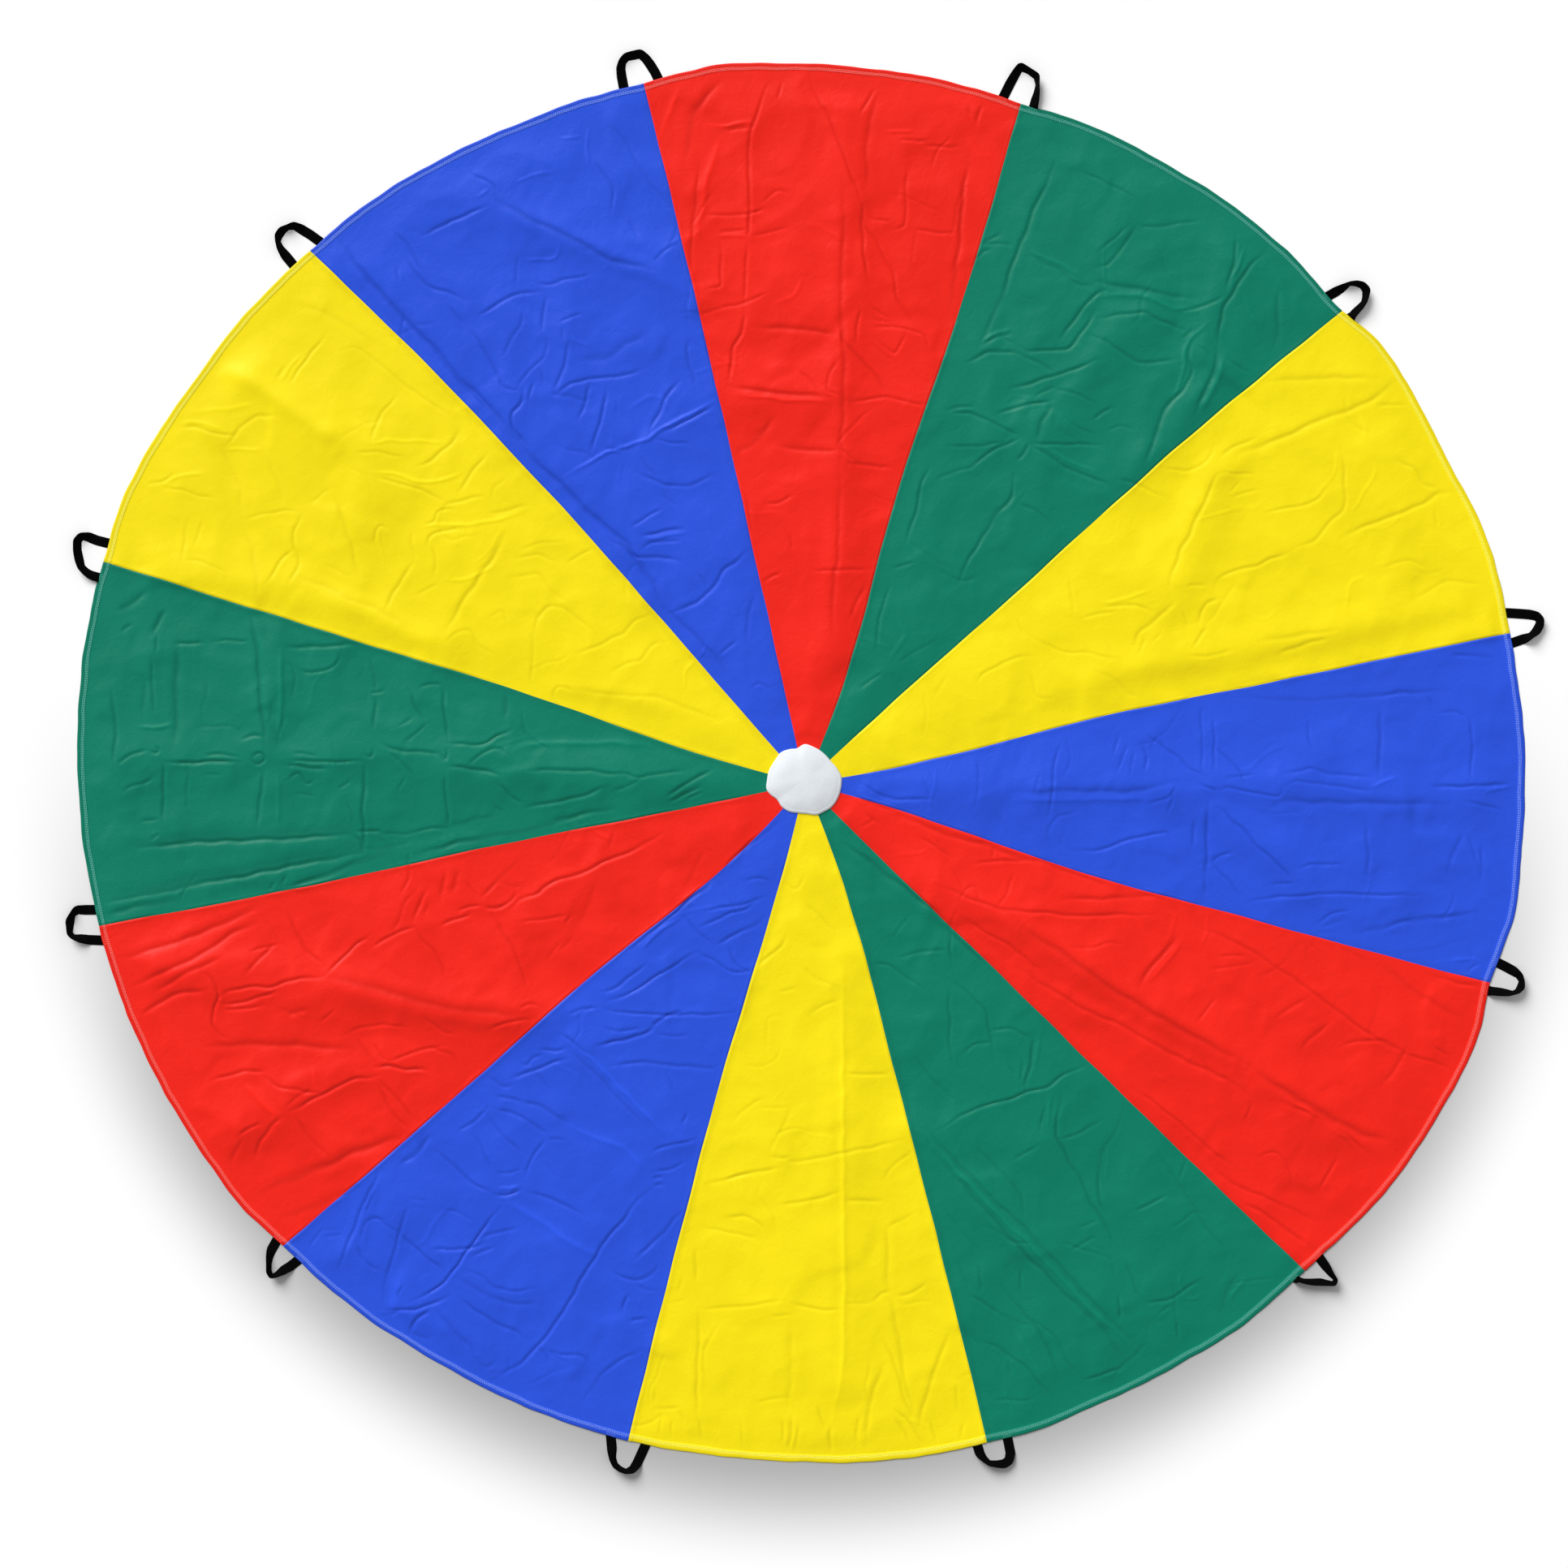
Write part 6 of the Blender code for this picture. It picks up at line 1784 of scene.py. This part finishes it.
def skin(name, rings, material):
    """A closed piece through rings of points, from the middle of its underside to that of its top."""
    sectors = max(len(ring) for ring in rings)
    starts = np.cumsum([0] + [len(ring) for ring in rings])
    corners = [start + np.arange(sectors) % len(ring) for start, ring in zip(starts, rings)]
    faces = []
    for inner, outer in zip(corners, corners[1:]):
        for s in range(sectors):
            t = (s + 1) % sectors
            face = (inner[s], outer[s], outer[t], inner[t])
            faces.append(tuple(dict.fromkeys(int(corner) for corner in face)))
    points = np.concatenate(rings)
    return mesh_object(name, points, faces, material, uv=points[:, :2])


def cap_dents(spots):
    dents = np.zeros(len(spots))
    for x, y, share in CAP_DIMPLES_PX:
        far = np.linalg.norm(spots - place((x, y)), axis=1)
        dents += share * CAP_DIMPLE_HEIGHT * hump(far, CAP_DIMPLE_WIDTH)
    return dents + CAP_UNEVENNESS * lattice_noise(spots, CAP_UNEVENNESS_SIZE, CAP_SEED)


def cap_heights(spots, share, reach):
    """The cap's underside and top at places a share of the way out to its edge."""
    dome = (1 - share**2) ** CAP_DOME_POWER
    off_rim = (reach * (1 - share) - CAP_RIM_WIDTH / 2) / (CAP_RIM_WIDTH / CAP_RIM_SOFTNESS)
    top = CAP_SEAT + CAP_THICKNESS + (CAP_RISE - CAP_THICKNESS) * dome + CAP_RIM_RISE * np.exp(-(off_rim**4))
    top = top + cap_dents(spots) * smooth(0.0, CAP_DIMPLE_FADE, 1 - share)
    low = CAP_SEAT + (top - CAP_THICKNESS - CAP_SEAT) * (1 - smooth(*CAP_HOLLOW, share))
    return low, top - CAP_EDGE_DROP if share == 1 else top


def make_cap(material):
    """The puffed white cap with its folded rim, soft dents and slight unevenness."""
    edge = cap_radius(np.arange(CAP_SECTORS) * TURN / CAP_SECTORS)
    rim_shares = np.linspace(CAP_RIM_SHARE, 1, CAP_RIM_RINGS)[1:]
    lows, tops = [], []
    for share in np.concatenate([np.linspace(0, CAP_RIM_SHARE, CAP_RINGS), rim_shares]):
        spots = ring_places(share, edge)
        low, top = cap_heights(spots, share, edge[:len(spots)])
        lows.append(np.column_stack([spots, low]))
        tops.append(np.column_stack([spots, top]))
    return skin("crown_cap_cloth", lows + tops[::-1], material)


def make_patch(material):
    """The flat disc under the gores' tips, with a rounded edge."""
    rings = []
    for share, height in PATCH_PROFILE:
        spots = ring_places(share, np.full(PATCH_SECTORS, PATCH_RADIUS))
        rings.append(np.column_stack([spots, np.full(len(spots), height * PATCH_THICKNESS)]))
    return skin("crown_patch_cloth", rings, material)


def drop(piece, spot):
    """The height of a piece's top at a place."""
    hit, where, _, _ = piece.ray_cast((spot[0], spot[1], 1.0), (0, 0, -1))
    return where.z if hit else CAP_SEAT


def make_cap_stitch(cap, material):
    """The thread that holds the cap's folded rim."""
    count = round(TURN * CAP_RADIUS / STITCH_PITCH)
    bearing = np.arange(count) * TURN / count

    def on_cap(turns):
        spots = place(CAP_CENTRE_PX) + at(turns, cap_radius(turns) - CAP_RIM_WIDTH)
        return np.column_stack([spots, [drop(cap, spot) for spot in spots]])

    run = on_cap(bearing + CAP_STITCH_TURN) - on_cap(bearing - CAP_STITCH_TURN)
    run /= np.linalg.norm(run, axis=1)[:, None]
    rows = [stitches(on_cap(bearing), run, CAP_THREAD_RADIUS)]
    return thread_object("crown_cap_stitch", rows, material)


def strap_route(handle):
    """A strap's middle line, its shown width at each point as a share, and how far along each lies."""
    pixels = np.array(HANDLES_PX[handle], float)
    spots = places(pixels[:, :2])
    hinge, outward = (vector[:2] for vector in handle_hinge(handle))
    left, right = (spot - outward * ((spot - hinge) @ outward) for spot in (spots[0], spots[-1]))
    line = np.array([
        left - outward * SEWN_LENGTH, left - outward * STRAP_FOOT, *spots[1:-1],
        right - outward * STRAP_FOOT, right - outward * SEWN_LENGTH,
    ])
    shown = np.array([WEBBING_WIDTH_PX, *pixels[:, 2], WEBBING_WIDTH_PX])
    runs = runs_along(line)
    wanted = np.linspace(0, runs[-1], round(runs[-1] / STRAP_STEP))
    route = read_along(line, runs, wanted)
    for _ in range(STRAP_SMOOTHINGS):
        even_out(route)
    width = np.interp(wanted, runs, shown) / WEBBING_WIDTH_PX
    width = np.where((route - hinge) @ outward < STRAP_FOOT, 1.0, width)
    for _ in range(STRAP_SMOOTHINGS):
        even_out(width)
    return route, np.clip(width, STRAP_LEAST_SHARE, 1), wanted


def strap_section():
    """The outline of a strap's cross section: shares of half its width and of half its thickness."""
    top = [(share, 1.0) for share in STRAP_FLAT]
    right = [*top, *STRAP_EDGE]
    return np.array(right + [(-across, -up) for across, up in right])


def make_strap(handle, material):
    """One handle: a strip of woven webbing from under the hem, round its loop and back under."""
    route, width, along = strap_route(handle)
    run = directions(route)
    side = np.stack([run[:, 1], -run[:, 0]], axis=1)
    half, thick = WEBBING_WIDTH / 2, WEBBING_THICKNESS / 2
    roll = np.arccos(width)[:, None]
    level, upright = np.cos(roll), np.sin(roll)
    across, up = (strap_section() * (half, thick)).T
    height = half * upright + thick * level - across * upright + up * level + STRAP_GAP
    flat = route[:, None] + side[:, None] * (across * level - up * upright)[..., None]
    points = np.dstack([flat, height]).reshape(-1, 3)
    shift = np.where(up < 0, STRAP_UNDERSIDE_MAP, 0)
    uv = np.dstack(np.broadcast_arrays(across, along[:, None] + shift)).reshape(-1, 2)
    count = len(across)
    corners = np.arange(len(points)).reshape(-1, count).tolist()
    faces = [
        (inner[k - 1], inner[k], outer[k], outer[k - 1])
        for inner, outer in zip(corners, corners[1:])
        for k in range(count)
    ]
    faces += [tuple(corners[0][::-1]), tuple(corners[-1])]
    return mesh_object(f"{handle_name(handle)}_strap", points, faces, material, math.radians(50), uv=uv)


def linear(colour):
    return Color([level / FULL_LEVEL for level in colour]).from_srgb_to_scene_linear()


class Nodes:
    """A short way to build the node tree of a material or of the sky."""

    def __init__(self, owner, shader="Principled BSDF"):
        owner.use_nodes = True
        self.owner = owner
        self.tree = owner.node_tree
        self.shader = self.tree.nodes[shader]

    def add(self, kind, settings=None, **inputs):
        node = self.tree.nodes.new(kind)
        for key, value in (settings or {}).items():
            setattr(node, key, value)
        for key, value in inputs.items():
            self.put(node, key.replace("_", " "), value)
        return node

    def put(self, node, name, value):
        if isinstance(value, bpy.types.NodeSocket):
            self.tree.links.new(value, node.inputs[name])
        else:
            node.inputs[name].default_value = value

    def math(self, operation, first, second=0.5):
        node = self.add("ShaderNodeMath", {"operation": operation})
        self.put(node, 0, first)
        self.put(node, 1, second)
        return node.outputs[0]

    def ranged(self, value, low, high, start=0.0, end=1.0, kind="LINEAR"):
        """From low to high as the value goes from start to end."""
        node = self.add("ShaderNodeMapRange", {"interpolation_type": kind}, Value=value,
                        From_Min=start, From_Max=end, To_Min=low, To_Max=high)
        return node.outputs["Result"]

    def noise(self, spot, scale, detail, **more):
        node = self.add("ShaderNodeTexNoise", None, Vector=spot, Scale=scale, Detail=detail, **more)
        return node.outputs["Fac"]

    def shades(self, share, colour, low, high, start=0.0, end=1.0):
        """The colour times low to high as the share goes from start to end."""
        node = self.add("ShaderNodeValToRGB", None, Fac=share)
        base = linear(colour)
        for element, place_on_it, times in zip(node.color_ramp.elements, (start, end), (low, high)):
            element.position = place_on_it
            element.color = (*[level * times for level in base], 1)
        return node.outputs["Color"]

    def bump(self, height, strength, depth, **below):
        node = self.add("ShaderNodeBump", None, Strength=strength, Distance=depth, Height=height, **below)
        return node.outputs["Normal"]

    def weave(self, pitches):
        """The height of a plain weave with two pitches, from a map in metres."""
        spot = self.add("ShaderNodeSeparateXYZ", None, Vector=self.cloth_map())
        waves = [
            self.math("SINE", self.math("MULTIPLY", spot.outputs[axis], TURN / pitch))
            for axis, pitch in zip("XY", pitches)
        ]
        return self.math("MULTIPLY", *waves)

    def cloth_map(self):
        return self.add("ShaderNodeUVMap", {"uv_map": "cloth"}).outputs[0]

    def shade(self, **inputs):
        """Sets or links the shader's own inputs, and gives back the material or sky."""
        for key, value in inputs.items():
            self.put(self.shader, key.replace("_", " "), value)
        return self.owner


def cloth_material(name, colour, roughness=CLOTH_ROUGHNESS, crumple=1.0):
    """Fine woven nylon: a soft sheen, a thread weave, small wrinkles, a slightly uneven dye, and the mesh's
    tone with its painted shade and highlight.
    """
    nodes = Nodes(bpy.data.materials.new(name))
    spot = nodes.cloth_map()
    cloudy = nodes.noise(spot, 5.0, 4.0, Roughness=0.55)
    fine = nodes.noise(spot, 900.0, 2.0)
    uneven = nodes.math("ADD", nodes.math("MULTIPLY", cloudy, 0.7), nodes.math("MULTIPLY", fine, 0.3))
    # Doubled laps and the hem's edge darken the dye, and so does painted shade; painted highlight pales it
    tone_and_painted_light = nodes.add("ShaderNodeAttribute", {"attribute_name": "tone_and_painted_light"}).outputs["Fac"]
    light = nodes.math("SUBTRACT", 1.0, nodes.math("MULTIPLY", tone_and_painted_light, TONE_AND_PAINTED_LIGHT_SCALE))
    dye_and_painted_shading = nodes.add("ShaderNodeVectorMath", {"operation": "SCALE"}, Scale=light)
    nodes.put(dye_and_painted_shading, 0, nodes.shades(uneven, colour, 0.94, 1.05, 0.25, 0.75))
    wrinkle = nodes.noise(spot, 34.0, 5.0, Roughness=0.6, Distortion=0.8)
    wrinkles = nodes.bump(wrinkle, 1.0, WRINKLE_DEPTH * crumple)
    return nodes.shade(
        Base_Color=dye_and_painted_shading.outputs[0],
        Roughness=nodes.ranged(cloudy, *(roughness + change for change in ROUGHNESS_SPREAD)),
        Normal=nodes.bump(nodes.weave(WEAVE_PITCHES), 0.35, WEAVE_DEPTH, Normal=wrinkles),
        Specular_IOR_Level=0.18,
        Sheen_Weight=0.02,
        Sheen_Roughness=0.35,
    )


def webbing_material():
    """Matte black woven webbing with ribs across it."""
    nodes = Nodes(bpy.data.materials.new("webbing"))
    fuzz = nodes.noise(nodes.cloth_map(), 700.0, 3.0)
    return nodes.shade(
        Base_Color=nodes.shades(fuzz, WEBBING_COLOUR, 0.6, 2.2),
        Normal=nodes.bump(nodes.weave(RIB_PITCHES), 0.8, RIB_DEPTH),
        Roughness=0.85,
        Specular_IOR_Level=0.03,
    )


def thread_tint(colour):
    """The colour of the hem's thread on a cloth."""
    bright = [min(FULL_LEVEL, level * THREAD_BRIGHTNESS) for level in colour]
    return [level + (pale - level) * THREAD_PALENESS for level, pale in zip(bright, THREAD_COLOUR)]


def thread_material(name, colour):
    """Polyester thread, twisted."""
    nodes = Nodes(bpy.data.materials.new(name))
    fuzz = nodes.noise(nodes.add("ShaderNodeTexCoord").outputs["Object"], 1500.0, 2.0)
    return nodes.shade(
        Base_Color=nodes.shades(fuzz, colour, 0.85, 1.0),
        Normal=nodes.bump(fuzz, 0.4, 0.0001),
        Roughness=0.55,
        Specular_IOR_Level=0.3,
    )


def direct_light(nodes, *rays):
    """1 for a ray from the camera or of one of the named kinds, else 0."""
    path = nodes.add("ShaderNodeLightPath")
    direct = path.outputs["Is Camera Ray"]
    for ray in rays:
        direct = nodes.math("MAXIMUM", direct, path.outputs[ray])
    return direct


def make_floor():
    """A white floor that keeps the canopy's shadow, with a painted soft grey shadow beyond the canopy's lower
    edge.
    """
    nodes = Nodes(bpy.data.materials.new("floor"))
    spot = nodes.add("ShaderNodeTexCoord").outputs["Object"]
    # A painted shadow: grey within a blurred disc round the canopy, fading out towards the top
    away = nodes.add("ShaderNodeVectorMath", {"operation": "DISTANCE"})
    nodes.put(away, 0, spot)
    nodes.put(away, 1, (*place(SHADE_CENTRE_PX), 0))
    within = nodes.ranged(away.outputs["Value"], 1.0, 0.0, SHADE_RADIUS - SHADE_BLUR,
                          SHADE_RADIUS + SHADE_BLUR, "SMOOTHERSTEP")
    height = nodes.add("ShaderNodeSeparateXYZ", None, Vector=spot).outputs["Y"]
    below = nodes.ranged(height, 0.0, SHADE_DEPTH, SHADE_TOP, SHADE_BOTTOM, "SMOOTHSTEP")
    shade = nodes.math("SUBTRACT", 1.0, nodes.math("MULTIPLY", within, below))
    direct = direct_light(nodes, "Is Glossy Ray", "Is Transmission Ray")
    white = nodes.ranged(direct, FLOOR_LEVEL, 1.0)
    level = nodes.math("MULTIPLY", white, nodes.math("POWER", shade, SCREEN_GAMMA))
    grey = nodes.add("ShaderNodeCombineColor", None, Red=level, Green=level, Blue=level)
    material = nodes.shade(Base_Color=grey.outputs["Color"], Roughness=1.0, Specular_IOR_Level=0.0)
    size = FLOOR_HALF_SIZE
    corners = [(-size, -size, 0), (size, -size, 0), (size, size, 0), (-size, size, 0)]
    mesh_object("floor", corners, [(0, 1, 2, 3)], material, None)


def make_lights():
    """A soft sun from the upper left and an even white sky."""
    sun = bpy.data.lights.new("key", "SUN")
    sun.energy = SUN_STRENGTH
    sun.angle = SUN_ANGLE
    lamp = bpy.data.objects.new("key", sun)
    lamp.matrix_world = Matrix.Rotation(SUN_TURN, 4, "Z") @ Matrix.Rotation(SUN_TILT, 4, "X")
    bpy.context.scene.collection.objects.link(lamp)
    world = bpy.data.worlds.new("sky")
    bpy.context.scene.world = world
    nodes = Nodes(world, "Background")
    direct = direct_light(nodes, "Is Transmission Ray")
    nodes.shade(Color=(1, 1, 1, 1), Strength=nodes.ranged(direct, SKY_STRENGTH, 1.0))


def make_camera():
    """Straight above the middle of the photograph."""
    data = bpy.data.cameras.new("camera")
    data.lens = LENS_MM
    data.sensor_width = SENSOR_MM
    data.clip_end = VIEW_LIMIT
    camera = bpy.data.objects.new("camera", data)
    x, y = place((PHOTO_PX / 2, PHOTO_PX / 2))
    camera.location = (x, y, PHOTO_PX * METRES_PER_PX * LENS_MM / SENSOR_MM)
    bpy.context.scene.collection.objects.link(camera)
    bpy.context.scene.camera = camera


def radial_weights(piece):
    """Reads a gore's vertex coordinates, and does nothing more with them."""
    coordinates = np.empty(len(piece.data.vertices) * 3, np.float32)
    piece.data.vertices.foreach_get("co", coordinates)


def dress_gore(gore, cloth, thread):
    """Dresses a gore and its hem's thread."""
    border = gore_border(gore)
    piece = make_gore(gore, border, cloth)
    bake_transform(piece)
    radial_weights(piece)
    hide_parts(gore_name(gore))
    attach(make_topstitch(gore, thread), "canopy")


def dress_crown(white, thread):
    cap = make_cap(white)
    bpy.context.view_layer.update()
    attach(cap, "crown")
    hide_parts("crown_cap")
    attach(make_cap_stitch(cap, thread), "crown")
    patch = make_patch(white)
    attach(patch, "crown")
    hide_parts("crown_patch")


def dress_handle(handle, webbing, hem_threads):
    """Dresses a handle and the thread on its two gores."""
    strap = make_strap(handle, webbing)
    name = handle_name(handle)
    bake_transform(strap)
    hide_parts(f"{name}_loop", f"{name}_end_left", f"{name}_end_right")
    for gore in ((handle - 1) % GORE_COUNT, handle):
        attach(make_bartacks(handle, gore, hem_threads[gore_colour(gore)]), "canopy")


def build():
    bpy.context.scene.view_settings.view_transform = "Standard"
    make_camera()
    make_lights()
    make_floor()
    cloths, hem_threads = {}, {}
    for name, colour in CLOTH_COLOURS.items():
        crumple = YELLOW_CREASE_SHARE if name == "yellow" else 1.0
        cloths[name] = cloth_material(f"{name}_cloth", colour, crumple=crumple)
        hem_threads[name] = thread_material(f"{name}_thread", thread_tint(colour))
    white = cloth_material("white_cloth", WHITE_COLOUR, WHITE_ROUGHNESS, WHITE_CRUMPLE)
    webbing = webbing_material()
    for gore in range(GORE_COUNT):
        dress_gore(gore, cloths[gore_colour(gore)], hem_threads[gore_colour(gore)])
    dress_crown(white, thread_material("thread", THREAD_COLOUR))
    for handle in range(GORE_COUNT):
        dress_handle(handle, webbing, hem_threads)


build()
